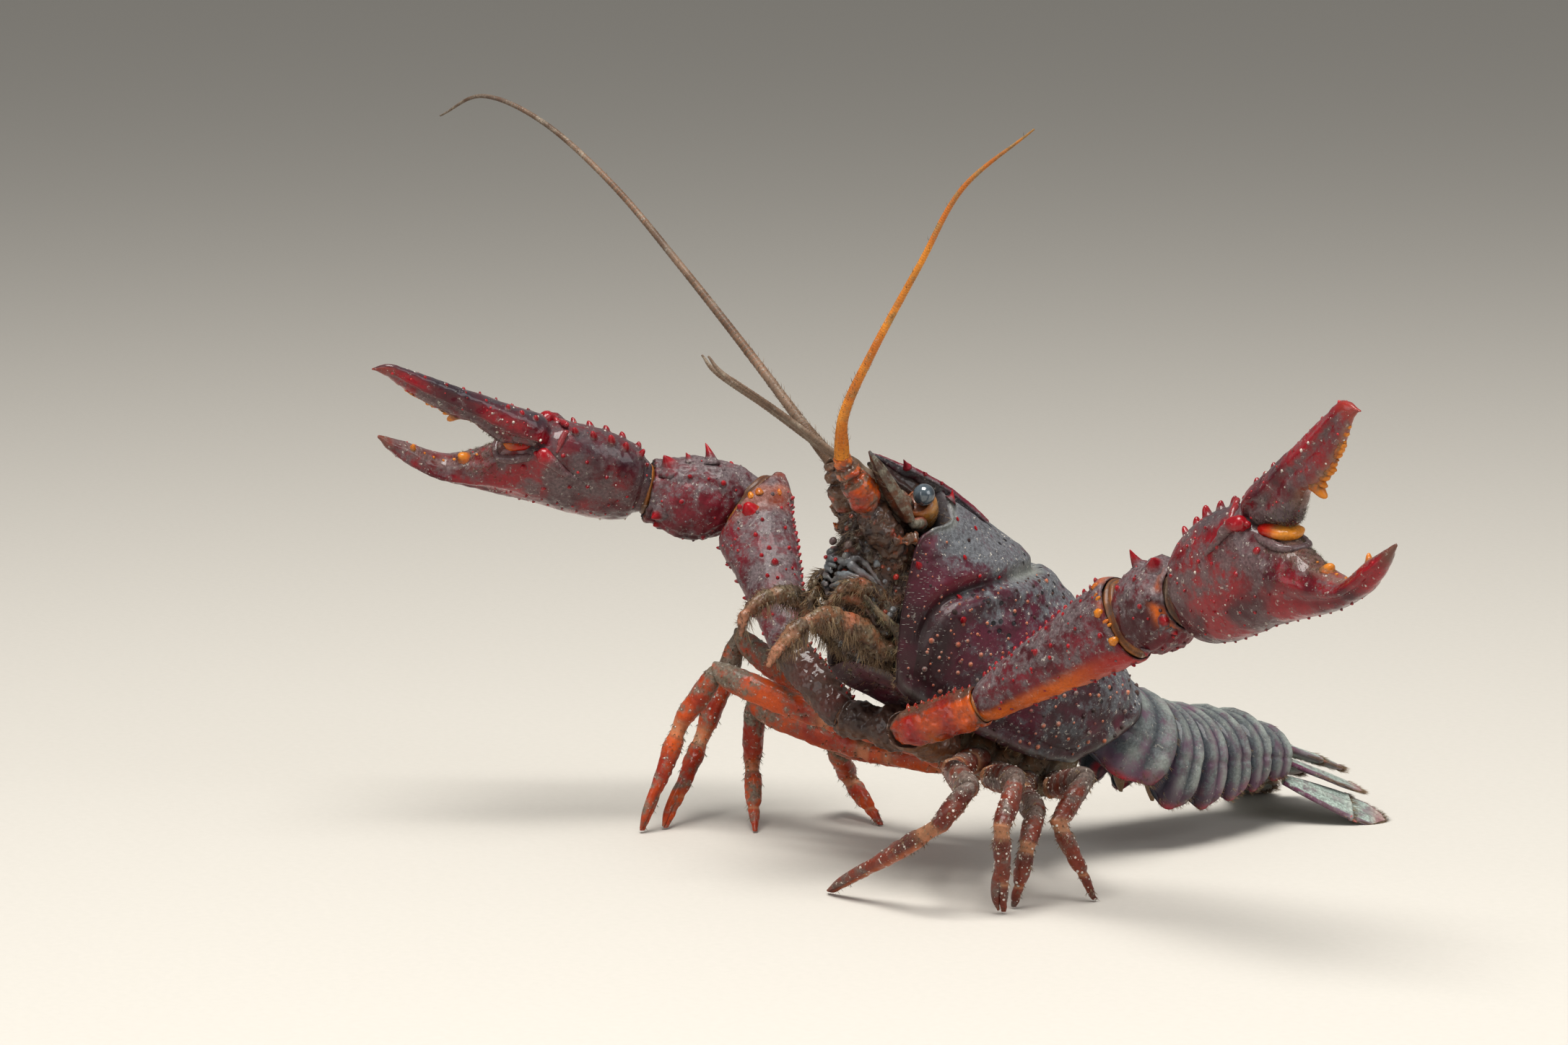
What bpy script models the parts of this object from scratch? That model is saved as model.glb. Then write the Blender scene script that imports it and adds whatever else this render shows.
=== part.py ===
"""A life-size red swamp crayfish, reared up in its threat stance with both claws raised.

Every size is in millimetres and every angle in degrees, in the animal's own directions: +X is its
left, -Y is ahead of it and +Z is up, with the floor at zero. A heading is a yaw and a rise: yaw 0
looks ahead and 90 looks to the left, and rise is the slope above level. The last step, settle,
lowers the sizes to metres and centres the animal over the origin.
"""
import math
import random

import bmesh
import bpy
from mathutils import Matrix, Vector
from mathutils.bvhtree import BVHTree

# Scale and joints
MM = 0.001
GAP = 0.3              # clear space between two touching parts
JOINT = GAP / 2        # each side of a joint stands back by this

# The thorax leans back: its own axes are left, ahead along the back, and up out of the back.
PITCH = 40.0
REAR_EDGE = Vector((0.3, 25.4, 23.3))   # top of the carapace's rear edge
SHELL = 52.0                            # rear edge to tip of rostrum
LEFT = Vector((1.0, 0.0, 0.0))
AHEAD = Vector((0.0, -math.cos(math.radians(PITCH)), math.sin(math.radians(PITCH))))
BACK_UP = Vector((0.0, math.sin(math.radians(PITCH)), math.cos(math.radians(PITCH))))
FLOOR = Vector((0.0, 0.0, -1.0))

# The sunken face, which slants back towards the mouth
FACE_LOW = (31.5, -22.0)                # a low point of it, ahead and up
FACE_SLANT = 9.0 / 19.0                 # how far ahead it leans for each step up
FACE_WAY = (AHEAD - BACK_UP * FACE_SLANT).normalized()

# Carapace, as curves along its length: distance ahead of the rear edge, then the size there
TOP_LINE = ((-5, -1.6), (0, -0.3), (6, 1.6), (12, 2.9), (19, 3.8), (23, 3.6), (28, 3.8), (34, 3.3),
            (40, 2.6), (46, 1.4))
MARGIN_LINE = ((-5, -12.0), (0, -13.4), (4.5, -15.6), (10, -18.6), (17.6, -20.9), (26, -22.8),
               (33.5, -23.8), (40, -19.5), (46, -11.0))
HALF_WIDTH = ((-5, 8.6), (0, 9.8), (6, 11.6), (13, 12.3), (20, 12.2), (28, 11.6), (35, 10.4),
              (40, 8.9), (46, 7.6))
# The girth runs from 0 at the mid line of the back to 1 at the lower margin. These are where the
# rear edge, the cervical groove and the front edge lie as it goes round.
REAR_RIM = ((0, 0.6), (0.3, -0.4), (0.6, 0.2), (0.85, 2.6), (1, 4.8))
NECK_GROOVE = ((0, 22.6), (0.2, 24.6), (0.4, 29.0), (0.6, 34.6), (0.8, 36.6), (1, 31.5))
FRONT_RIM = ((0, 42.5), (0.2, 42.0), (0.38, 40.8), (0.55, 43.0), (0.72, 43.6), (0.88, 39.6), (1, 34.4))
GIRTH_STEPS = 11
GROOVE_DEPTH = 0.75
REAR_FLOOR = 6.0        # the rear is hollow this far, where the abdomen slips in
BELLY = 1.7             # the underside lies this far above the margin

# Rostrum: distance ahead, half width, upper and lower face
ROSTRUM = ((36.0, 4.4, 2.6, 0.4), (41.0, 3.9, 2.6, 0.8), (45.0, 3.1, 2.0, 0.6), (48.4, 2.4, 1.2, 0.1),
           (49.0, 1.5, 1.0, 0.0), (SHELL, 0.35, 0.15, -0.35))

# Walking legs: how many pairs end in a pincer, then each root's place ahead of the rear edge and up,
# then each stretch as a length, a yaw and a rise. The last one has no length, because it runs down to
# the floor.
PINCER_LEGS = 2
LEG_SPREAD = 5.3
LEG_ROOTS = ((15.5, -23.2), (11.2, -22.5), (6.9, -21.0), (2.6, -18.5))
LEFT_LEGS = (
    ((10.0, 37, 3), (18.0, 63, 3), (6.5, -18, -49), (-81, -30)),
    ((10.5, 49, 8), (14.5, 69, 9), (8.0, 39, -38), (-130, -73)),
    ((9.0, 52, 0), (14.0, 63, 2), (5.5, 42, -40), (-64, -76)),
    ((7.5, 52, 8), (14.0, 73, 15), (8.5, 27, -32), (174, -63)),
)
RIGHT_LEGS = (
    ((17.0, -70, 5), (18.5, -58, 17), (9.0, -54, -54), (-8, -68)),
    ((18.5, -71, 11), (22.5, -75, 22), (14.0, -32, -69), (24, -52)),
    ((17.0, -62, 2), (19.5, -64, 13), (9.5, -116, -65), (61, -41)),
    ((10.5, -63, 2), (19.5, -72, 0), (8.0, -145, -47), (88, -31)),
)

# Arms: root, then coxa with basis, ischium, merus and carpus, then the way the chela points and the
# side of it that its moving finger is on.
ARM_ROOT = (3.42, 20.22, -24.0)
LEFT_ARM = ((14.0, 36, 17), (12.0, 116, 21), (25.0, 117, 32), (11.2, 98, 21))
RIGHT_ARM = ((10.5, -58, 9), (12.5, -76, 37), (25.0, -104, 44), (14.5, -32, 10))
LEFT_CHELA = (94, 16)
RIGHT_CHELA = (-23, 12)
LEFT_DACTYL_SIDE = Vector((-0.27, -0.10, 0.96))
RIGHT_DACTYL_SIDE = Vector((0.70, -0.14, 0.70))
LEFT_ARM_SIDE = LEFT_DACTYL_SIDE        # the broad side of coxa to carpus
RIGHT_ARM_SIDE = Vector((0.52, 0.70, 0.36))
LEFT_CLAW_SIZE = 1.0
RIGHT_CLAW_SIZE = 0.94

# Palm with its fixed finger: distance from the wrist, lower edge, upper edge, half thickness
PALM = ((0.0, -3.6, 4.0, 3.0), (2.2, -5.6, 7.2, 4.2), (6.5, -6.5, 9.6, 4.9), (12.0, -6.3, 10.7, 4.9),
        (16.4, -5.7, 10.0, 4.3), (19.6, -5.3, 3.4, 3.6), (24.0, -5.1, 1.2, 3.0), (29.5, -4.5, -0.2, 2.5),
        (34.5, -3.3, -0.5, 1.9), (38.2, -1.9, 0.0, 1.2), (40.5, -0.6, 0.3, 0.45))
# Moving finger, along its own line from the hinge: distance, inner edge, outer edge, half thickness
HINGE = (18.8, 6.95)
FINGER_LINE = (22.4, 8.2)
FINGER = ((0.0, -3.2, 3.1, 2.7), (3.0, -2.9, 4.5, 3.0), (7.0, -1.6, 5.0, 2.7), (12.0, -0.8, 5.1, 2.4),
          (16.5, -0.1, 4.6, 2.0), (20.5, 0.5, 3.6, 1.5), (23.0, 0.7, 2.2, 0.9), (24.4, 0.4, 1.0, 0.4))

# Spines and tubercles: radius at the root and height above the surface
SPINES = {
    "bead": (0.5, 0.5),
    "knob": (0.8, 0.8),
    "tooth": (0.75, 1.0),
    "thorn": (0.8, 1.6),
    "spike": (1.0, 2.7),
}
SPINE_SIDES = 5
SPINE_TIP = 0.3         # width of its blunt tip against its root
SPINE_SINK = 0.35       # depth that its root is set in the surface
SPINE_CAST = 30.0       # distance from which its place on the surface is found
SEED = 7

# Rows on the arms: part, kind, turn from the broad side towards the underside, first and last place
# along the part, and how many
ARM_ROWS = (
    ("ischium", "bead", 15, 0.2, 0.85, 4),
    ("merus", "knob", 5, 0.22, 0.88, 6),
    ("merus", "bead", 50, 0.3, 0.8, 3),
    ("merus", "knob", 172, 0.35, 0.8, 4),
    ("merus", "bead", 110, 0.9, 0.9, 1),
    ("merus", "bead", -45, 0.45, 0.85, 3),
    ("carpus", "spike", 5, 0.5, 0.5, 1),
    ("carpus", "thorn", 20, 0.85, 0.85, 1),
    ("carpus", "knob", 60, 0.35, 0.8, 2),
    ("carpus", "knob", 150, 0.4, 0.8, 2),
    ("carpus", "bead", -40, 0.35, 0.8, 3),
    ("carpus", "bead", 100, 0.7, 0.7, 1),
)
# Rows on a palm and on a moving finger: kind, face, first and last place as a distance and a height,
# and how many
PALM_ROWS = (
    ("knob", "edge", (2.2, 0.0), (16.2, 0.0), 7),
    ("thorn", "under", (16.7, 4.0), (16.7, 4.0), 1),
    ("knob", "under", (3.4, 5.8), (12.6, 5.2), 4),
    ("bead", "under", (5.2, 3.2), (13.6, 1.6), 4),
    ("bead", "under", (10.5, -1.4), (22.0, -2.6), 4),
    ("bead", "back", (3.0, 6.0), (15.0, 7.4), 5),
    ("bead", "back", (5.0, 3.0), (16.0, 3.8), 4),
    ("bead", "back", (9.0, -1.4), (21.0, -2.2), 3),
    ("bead", "edge", (26.0, 0.0), (26.0, 0.0), 1),
    ("tooth", "edge", (28.4, 0.0), (28.4, 0.0), 1),
    ("bead", "edge", (31.0, 0.0), (36.5, 0.0), 4),
)
FINGER_ROWS = (
    ("knob", "edge", (2.5, 0.0), (7.5, 0.0), 2),
    ("bead", "edge", (10.5, 0.0), (16.5, 0.0), 3),
    ("bead", "under", (4.0, 2.0), (13.0, 2.8), 3),
    ("bead", "back", (4.0, 2.0), (13.0, 2.8), 3),
    ("tooth", "inner", (7.6, 0.0), (7.6, 0.0), 1),
    ("bead", "inner", (10.2, 0.0), (19.5, 0.0), 5),
)
# Single spines of the head, as places ahead and round the girth, and the fields of small tubercles:
# first and last place ahead and round the girth, and how many
HEAD_SPINES = (("thorn", 41.0, 0.24), ("thorn", 41.8, 0.73), ("bead", 36.5, 0.3), ("thorn", 33.0, 0.7))
SHELL_FIELDS = ((2.5, 30.0, 0.28, 0.97, 22), (29.0, 39.0, 0.2, 0.6, 6))

# Abdomen: joints from inside the carapace to the tail fan, as a length, a yaw and a rise
TAIL_ROOT = (0.0, 5.6, -8.3)
TAIL_STEPS = ((12.6, 180, -32), (5.5, -171, -21), (5.4, -170, -8), (5.4, -170, -4), (5.2, -170, -3),
              (5.6, -172, -10))
TAIL_WIDTHS = (8.4, 9.8, 9.7, 9.2, 8.5, 7.6, 6.4)     # half width at each joint
TAIL_TOPS = (6.6, 7.8, 7.4, 6.9, 6.3, 5.4, 3.8)       # back above the middle line
TAIL_FLAPS = (5.6, 6.6, 6.2, 5.4, 4.6, 3.2)           # side flap of each segment below it
BELLY_HOLLOW = 0.42                                   # the belly lies this share of the flap below
FAN_SLOPE = -21


def along(place, table):
    """Height of a smooth curve through a table of (place, height) points."""
    if place <= table[0][0]:
        return table[0][1]
    if place >= table[-1][0]:
        return table[-1][1]
    last = len(table) - 1
    step = next(i for i in range(last) if place <= table[i + 1][0])

    def slope(i):
        before = table[max(i - 1, 0)]
        after = table[min(i + 1, last)]
        return (after[1] - before[1]) / (after[0] - before[0])

    (x0, y0), (x1, y1) = table[step], table[step + 1]
    span = x1 - x0
    t = (place - x0) / span
    rise = (2 * t ** 3 - 3 * t ** 2 + 1) * y0 + (3 * t ** 2 - 2 * t ** 3) * y1
    lean = (t ** 3 - 2 * t ** 2 + t) * slope(step) + (t ** 3 - t ** 2) * slope(step + 1)
    return rise + lean * span


def heading(yaw, rise):
    """Unit vector of a yaw and a rise in degrees."""
    yaw, rise = math.radians(yaw), math.radians(rise)
    level = math.cos(rise)
    return Vector((level * math.sin(yaw), -level * math.cos(yaw), math.sin(rise)))


def thorax(left, ahead, up):
    """Point given in the leaning thorax's own directions."""
    return REAR_EDGE + LEFT * left + AHEAD * ahead + BACK_UP * up


def walk(start, steps):
    """Joints of a limb: each step is a length, a yaw and a rise, or only the last two, to the floor."""
    joints = [start]
    for step in steps:
        direction = heading(*step[-2:])
        length = step[0] if len(step) == 3 else joints[-1].z / -direction.z
        joints.append(joints[-1] + direction * length)
    return joints


def mitres(joints, first, last):
    """Normal of the plane that each joint is cut along."""
    ways = [(b - a).normalized() for a, b in zip(joints, joints[1:])]
    inner = [(a + b).normalized() for a, b in zip(ways, ways[1:])]
    return [first or ways[0]] + inner + [last or ways[-1]]


def loft(rings):
    """One closed body over rings of points that all run the same way round."""
    bm = bmesh.new()
    verts = bmesh.ops.create_circle(bm, cap_ends=True, segments=len(rings[0]), radius=1.0)["verts"]
    for vert, point in zip(verts, rings[0]):
        vert.co = point
    edges = [verts[i - 1].link_edges for i in range(len(verts))]
    edges = list({edge for group in edges for edge in group})
    for ring in rings[1:]:
        old = {tuple(vert.co): i for i, vert in enumerate(verts)}
        grown = bmesh.ops.extrude_edge_only(bm, edges=edges)["geom"]
        new = [item for item in grown if isinstance(item, bmesh.types.BMVert)]
        edges = [item for item in grown if isinstance(item, bmesh.types.BMEdge)]
        verts = sorted(new, key=lambda vert: old[tuple(vert.co)])
        for vert, point in zip(verts, ring):
            vert.co = point
    bmesh.ops.contextual_create(bm, geom=edges)
    bmesh.ops.recalc_face_normals(bm, faces=bm.faces)
    return bm


def oval(centre, wide, deep, sides):
    """Ring round a centre, with its half sizes given as vectors."""
    turns = [2 * math.pi * k / sides for k in range(sides)]
    return [centre + wide * math.cos(turn) + deep * math.sin(turn) for turn in turns]


def limb(joints, cuts, shapes, side, sides=8, open_start=True, open_end=True):
    """One body over the stretches between joints, cut along the planes with normals cuts.

    shapes has, for each stretch, a list of (fraction, half width along side, half depth). A ring
    slants over to the plane of the joint that it is near.
    """
    joints = [joint.copy() for joint in joints]
    if open_start:
        way = (joints[1] - joints[0]).normalized()
        joints[0] += way * (JOINT / way.dot(cuts[0]))
    if open_end:
        way = (joints[-1] - joints[-2]).normalized()
        joints[-1] -= way * (JOINT / way.dot(cuts[-1]))
    rings = []
    for i, shape in enumerate(shapes):
        start, end = joints[i], joints[i + 1]
        way = (end - start).normalized()
        wide_axis = (side - way * side.dot(way)).normalized()
        deep_axis = way.cross(wide_axis)
        for fraction, wide, deep in shape:
            centre = start.lerp(end, fraction)
            ring = []
            for point in oval(centre, wide_axis * wide, deep_axis * deep, sides):
                out = point - centre
                slant = (1 - fraction) ** 2 * out.dot(cuts[i]) / way.dot(cuts[i])
                slant += fraction ** 2 * out.dot(cuts[i + 1]) / way.dot(cuts[i + 1])
                ring.append(point - way * slant)
            rings.append(ring)
    return loft(rings)


def plate(origin, way, side, stations, sides=10):
    """Flat body along way: each station is (distance, low edge, high edge, half thickness)."""
    way = way.normalized()
    side = (side - way * side.dot(way)).normalized()
    face = way.cross(side)
    rings = []
    for distance, low, high, thick in stations:
        centre = origin + way * distance + side * ((low + high) / 2)
        rings.append(oval(centre, side * ((high - low) / 2), face * thick, sides))
    return loft(rings)


def finish(name, bm, colour, roughness=0.4):
    """Make a body one named object with its own material."""
    mesh = bpy.data.meshes.new(name)
    bm.to_mesh(mesh)
    bm.free()
    mesh.shade_smooth()
    mesh.set_sharp_from_angle(angle=math.radians(40))
    material = bpy.data.materials.new(name)
    material.use_nodes = True
    shader = material.node_tree.nodes["Principled BSDF"]
    shader.inputs["Base Color"].default_value = (*colour, 1.0)
    shader.inputs["Roughness"].default_value = roughness
    mesh.materials.append(material)
    thing = bpy.data.objects.new(name, mesh)
    bpy.context.scene.collection.objects.link(thing)
    return thing


# Colours, one for each kind of part
SHELL_RED = (0.16, 0.035, 0.03)
CLAW_RED = (0.32, 0.02, 0.015)
JOINT_ORANGE = (0.55, 0.16, 0.05)
LEG_BROWN = (0.22, 0.07, 0.04)
TAIL_GREY = (0.17, 0.14, 0.17)
FEELER_BROWN = (0.35, 0.16, 0.07)
MOUTH_TAN = (0.28, 0.18, 0.12)
EYE_BLACK = (0.03, 0.035, 0.05)


def shell_point(ahead, girth):
    """Point of the carapace's side, in the thorax's directions, for a girth from 0 to 1."""
    half, top, margin = (along(ahead, line) for line in (HALF_WIDTH, TOP_LINE, MARGIN_LINE))
    middle = top - 0.52 * (top - margin)
    last_turn = 132.0
    turn = math.radians(girth * last_turn)
    left = half * math.sin(turn) ** 0.92 if turn else 0.0
    if math.cos(turn) >= 0:
        return left, middle + (top - middle) * math.cos(turn)
    drop = (middle - margin) / -math.cos(math.radians(last_turn))
    return left, middle + drop * math.cos(turn)


def shell_ring(stage, sink=0.0):
    """Whole ring of the carapace: stage 0 is the rear edge, 1 the neck groove, 2 the front edge."""
    left_side = []
    for step in range(GIRTH_STEPS):
        girth = step / (GIRTH_STEPS - 1)
        rear, groove, front = (along(girth, rim) for rim in (REAR_RIM, NECK_GROOVE, FRONT_RIM))
        ahead = rear + (groove - rear) * stage if stage < 1 else groove + (front - groove) * (stage - 1)
        left, up = shell_point(ahead, girth)
        middle = along(ahead, TOP_LINE) - 10
        fade = min(1.0, max(0.0, (0.85 - girth) / 0.2))
        shrink = 1 - sink * fade / 11
        left_side.append((left * shrink, ahead, middle + (up - middle) * shrink))
    left, ahead, up = left_side[-1]
    belly = [(left * 0.72, ahead, up + BELLY), (0.0, ahead, up + BELLY)]
    right_side = [(-left, ahead, up) for left, ahead, up in left_side[1:] + belly[:1]]
    return [thorax(*point) for point in left_side + belly + right_side[::-1]]


def inset_ring(ring, scale, floor):
    """Copy of a ring drawn in towards its middle; floor gives how far ahead a height lies."""
    middle = sum(ring, Vector()) / len(ring)
    points = []
    for point in ring:
        point = middle + (point - middle) * scale
        out = point - REAR_EDGE
        points.append(point + AHEAD * (floor(out.dot(BACK_UP)) - out.dot(AHEAD)))
    return points


def face_floor(up):
    """How far ahead the sunken face lies at a height."""
    return FACE_LOW[0] + (up - FACE_LOW[1]) * FACE_SLANT


def make_carapace():
    rear = shell_ring(0.0)
    front = shell_ring(2.0)
    rings = [inset_ring(rear, 0.86, lambda up: REAR_FLOOR), rear]
    rings += [shell_ring(stage) for stage in (0.16, 0.4, 0.66, 0.88)]
    rings += [shell_ring(0.97, GROOVE_DEPTH * 0.5), shell_ring(1.0, GROOVE_DEPTH)]
    rings += [shell_ring(stage) for stage in (1.08, 1.3, 1.6, 1.85)]
    rings += [front, inset_ring(front, 0.86, face_floor)]
    return loft(rings)


def make_rostrum():
    rings = []
    for ahead, half, top, low in ROSTRUM:
        edge = top - 0.1
        rim = ((half, edge), (half * 0.72, top + 0.25), (0.0, top - 0.5), (-half * 0.72, top + 0.25),
               (-half, edge), (-half * 0.6, low), (half * 0.6, low))
        rings.append([thorax(left, ahead, up) for left, up in rim])
    return loft(rings)


def spine(place, way, kind, size):
    """Small blunt cone that stands along way, with its root set in the surface at place."""
    radius, height = (size * measure for measure in SPINES[kind])
    bm = bmesh.new()
    bmesh.ops.create_cone(bm, cap_ends=True, segments=SPINE_SIDES, radius1=radius, radius2=radius * SPINE_TIP,
                          depth=height + SPINE_SINK)
    turn = Vector((0, 0, 1)).rotation_difference(way).to_matrix().to_4x4()
    middle = place + way * ((height - SPINE_SINK) / 2)
    bmesh.ops.transform(bm, matrix=Matrix.Translation(middle) @ turn, verts=bm.verts)
    return bm


def spines_on(body, spots, lean=Vector()):
    """Spines where rays meet a body: each spot is a kind, a point inside and the way out from it."""
    tree = BVHTree.FromBMesh(body)
    chance = random.Random(SEED)
    made = []
    for kind, inside, way_out in spots:
        way_out = way_out.normalized()
        place, normal, _, _ = tree.ray_cast(inside + way_out * SPINE_CAST, -way_out)
        way = (normal + way_out + lean).normalized()
        made.append(spine(place, way, kind, chance.uniform(0.85, 1.15)))
    return made


def even(first, last, count):
    """Fractions from first to last in even steps, or their middle if there is only one."""
    if count == 1:
        return [(first + last) / 2]
    return [first + (last - first) * k / (count - 1) for k in range(count)]


def row_spots(rows, stations, origin, way, upward, under, size):
    """Places of the spines of a plate, for rows given by face, distance and height."""
    spots = []
    for kind, face, start, end, count in rows:
        for distance, height in zip(even(start[0], end[0], count), even(start[1], end[1], count)):
            if face in ("edge", "inner"):
                height = (along(distance, [s[:2] for s in stations])
                          + along(distance, [(s[0], s[2]) for s in stations])) / 2
            way_out = {"edge": upward, "inner": -upward, "under": under, "back": -under}[face]
            spots.append((kind, origin + way * (distance * size) + upward * (height * size), way_out))
    return spots


def fuse(body, extras):
    """Join extra bodies to a body with one union and keep the largest closed surface."""
    main = bpy.data.objects.new("body", bpy.data.meshes.new("body"))
    body.to_mesh(main.data)
    body.free()
    bpy.context.scene.collection.objects.link(main)
    group = bpy.data.collections.new("extras")
    bpy.context.scene.collection.children.link(group)
    for extra in extras:
        mesh = bpy.data.meshes.new("extra")
        extra.to_mesh(mesh)
        extra.free()
        group.objects.link(bpy.data.objects.new("extra", mesh))
    union = main.modifiers.new("union", "BOOLEAN")
    union.operation = "UNION"
    union.operand_type = "COLLECTION"
    union.collection = group
    union.solver = "MANIFOLD"
    bpy.context.view_layer.update()
    joined = bmesh.new()
    joined.from_mesh(main.evaluated_get(bpy.context.evaluated_depsgraph_get()).data)
    for thing in list(group.objects) + [main]:
        bpy.data.objects.remove(thing)
    bpy.data.collections.remove(group)
    keep_largest(joined)
    return joined


def keep_largest(bm):
    """Delete every connected surface but the one with the most faces."""
    unseen = set(bm.faces)
    islands = []
    while unseen:
        island, edge_of_search = set(), [unseen.pop()]
        while edge_of_search:
            face = edge_of_search.pop()
            island.add(face)
            near = {other for edge in face.edges for other in edge.link_faces} & unseen
            unseen -= near
            edge_of_search.extend(near)
        islands.append(island)
    islands.sort(key=len)
    spare = [face for island in islands[:-1] for face in island]
    bmesh.ops.delete(bm, geom=spare, context="FACES")


def shell_spines(shell):
    """Spines of the head and the scattered tubercles of the carapace, on both sides."""
    places = list(HEAD_SPINES)
    golden = (math.sqrt(5) - 1) / 2
    for first, last, low, high, count in SHELL_FIELDS:
        for k in range(count):
            girth = low + (high - low) * ((k + 1) * golden % 1)
            places.append(("bead", first + (last - first) * (k + 0.5) / count, girth))
    spots = []
    for sign in (1, -1):
        for kind, ahead, girth in places:
            left, up = shell_point(ahead, girth)
            middle = (along(ahead, TOP_LINE) + along(ahead, MARGIN_LINE)) / 2
            inside = thorax(0, ahead, middle)
            spots.append((kind, inside, thorax(sign * left, ahead, up) - inside))
    return spines_on(shell, spots, AHEAD)


def make_sternum():
    """Keel between the legs, cut off square at the sides and slantwise where the arms root."""
    rings = []
    for ahead, half in ((1.0, 5.0), (9.0, 5.0), (18.4, 5.0), (21.8, 1.6)):
        top = along(ahead, MARGIN_LINE) + BELLY - GAP - 0.1
        low = along(ahead, ((0, -20.0), (8, -22.6), (16, -25.0), (24, -26.4)))
        corners = ((half, top), (-half, top), (-half, low + 1.2), (-half * 0.6, low), (half * 0.6, low),
                   (half, low + 1.2))
        rings.append([thorax(left, ahead, up) for left, up in corners])
    return loft(rings)


def make_mouth():
    """Block of jaws and inner mouth limbs, standing out square from the sunken face."""
    start = thorax(0, face_floor(-14.6), -14.6)
    stations = ((GAP, 3.1, 4.8), (2.0, 3.3, 5.2), (5.0, 3.2, 5.0), (7.5, 2.7, 4.0), (9.5, 1.5, 2.2))
    rings = []
    for distance, wide, deep in stations:
        centre = start + FACE_WAY * distance
        rings.append(oval(centre, LEFT * wide, FACE_WAY.cross(LEFT) * deep, 12))
    return loft(rings)


def tail_ring(centre, way, cut, half, top, flap):
    """Arch of a tail segment with a side flap on each side and a hollow belly."""
    side = (LEFT - way * LEFT.dot(way)).normalized()
    up = side.cross(way)
    arch = [(half * math.sin(math.radians(turn)), top * math.cos(math.radians(turn)))
            for turn in (0, 22, 44, 64, 82, 96)]
    flap_points = [(half * 0.97, -flap * 0.62), (half * 0.86, -flap), (half * 0.76, -flap * 0.9),
                   (half * 0.68, -flap * 0.5), (0.0, -flap * BELLY_HOLLOW)]
    left_half = arch + flap_points
    right_half = [(-x, y) for x, y in left_half[1:-1]][::-1]
    points = []
    for x, y in left_half + right_half:
        out = side * x + up * y
        points.append(centre + out - way * (out.dot(cut) / way.dot(cut)))
    return points


def make_tail_segments():
    """Six overlapping rings, each a little narrower where it slips under the one before."""
    joints = walk(thorax(*TAIL_ROOT), TAIL_STEPS)
    cuts = mitres(joints, -AHEAD, None)
    for number in range(len(TAIL_STEPS)):
        start, end = joints[number], joints[number + 1]
        way = (end - start).normalized()
        rings = []
        for fraction, size, lobe in ((0.0, 0.9, 0.7), (0.22, 0.96, 0.88), (0.6, 1.0, 1.0), (1.0, 0.99, 0.8)):
            half = TAIL_WIDTHS[number] + (TAIL_WIDTHS[number + 1] - TAIL_WIDTHS[number]) * fraction
            top = TAIL_TOPS[number] + (TAIL_TOPS[number + 1] - TAIL_TOPS[number]) * fraction
            cut = cuts[number].lerp(cuts[number + 1], fraction).normalized()
            centre = start.lerp(end, fraction)
            centre += way * (JOINT if fraction == 0 else -JOINT if fraction == 1 else 0)
            rings.append(tail_ring(centre, way, cut, half * size, top * size, TAIL_FLAPS[number] * lobe))
        body = loft(rings)
        if 0 < number < 5:
            body = fuse(body, swimmerets(start.lerp(end, 0.5), way, TAIL_FLAPS[number], TAIL_WIDTHS[number]))
        finish(f"tail_{number + 1}", body, TAIL_GREY)
    return joints[-1]


def swimmerets(centre, way, flap, half):
    """Pair of small blades that hang back from the hollow belly of a tail segment."""
    side = (LEFT - way * LEFT.dot(way)).normalized()
    up = side.cross(way)
    blade = ((0.0, -0.7, 0.7, 0.35), (2.0, -1.0, 1.0, 0.35), (4.2, -0.5, 0.5, 0.3))
    root_sink = 0.5
    drop = flap * BELLY_HOLLOW - root_sink
    roots = [centre + side * (sign * half * 0.32) - up * drop for sign in (1, -1)]
    return [plate(root, way * 0.7 - up, side, blade, 6) for root in roots]


def make_fan(root):
    """Telson on top, inner uropods under its edges and outer ones under those."""
    way = heading(-172, FAN_SLOPE)
    side = (LEFT - way * LEFT.dot(way)).normalized()
    up = side.cross(way)
    telson = ((0.05, -2.6, 2.6, 0.6), (3.0, -3.9, 3.9, 0.6), (9.5, -3.6, 3.6, 0.5), (13.5, -3.2, 3.2, 0.4),
              (15.4, -2.0, 2.0, 0.3))
    finish("telson", plate(root + up * 1.6, way, side, telson, 12), TAIL_GREY)
    inner = ((0.5, -0.9, 0.9, 0.45), (3.5, -1.8, 1.8, 0.45), (9.0, -2.8, 2.8, 0.4), (13.4, -2.4, 2.4, 0.35),
             (15.0, -1.2, 1.2, 0.3))
    outer = ((0.9, -0.9, 0.9, 0.5), (3.5, -1.9, 1.9, 0.5), (9.5, -3.2, 3.2, 0.45), (14.6, -3.1, 3.1, 0.4),
             (17.2, -1.8, 1.8, 0.3))
    kinds = (("inner", inner, 3.4, -0.1, 13, 12, -2), ("outer", outer, 5.0, -2.8, 28, 20, -3))
    for name, sign in (("left", 1), ("right", -1)):
        for kind, stations, out, drop, yaw, roll, dip in kinds:
            roll = math.radians(roll)
            own_way = heading(-172 - sign * yaw, FAN_SLOPE + dip)
            own_side = side * (sign * math.cos(roll)) - up * math.sin(roll)
            start = root + side * (sign * out) + up * drop
            blade = plate(start, own_way, own_side, stations, 10)
            rest_on_floor(blade)
            finish(f"uropod_{kind}_{name}", blade, TAIL_GREY)


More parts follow.
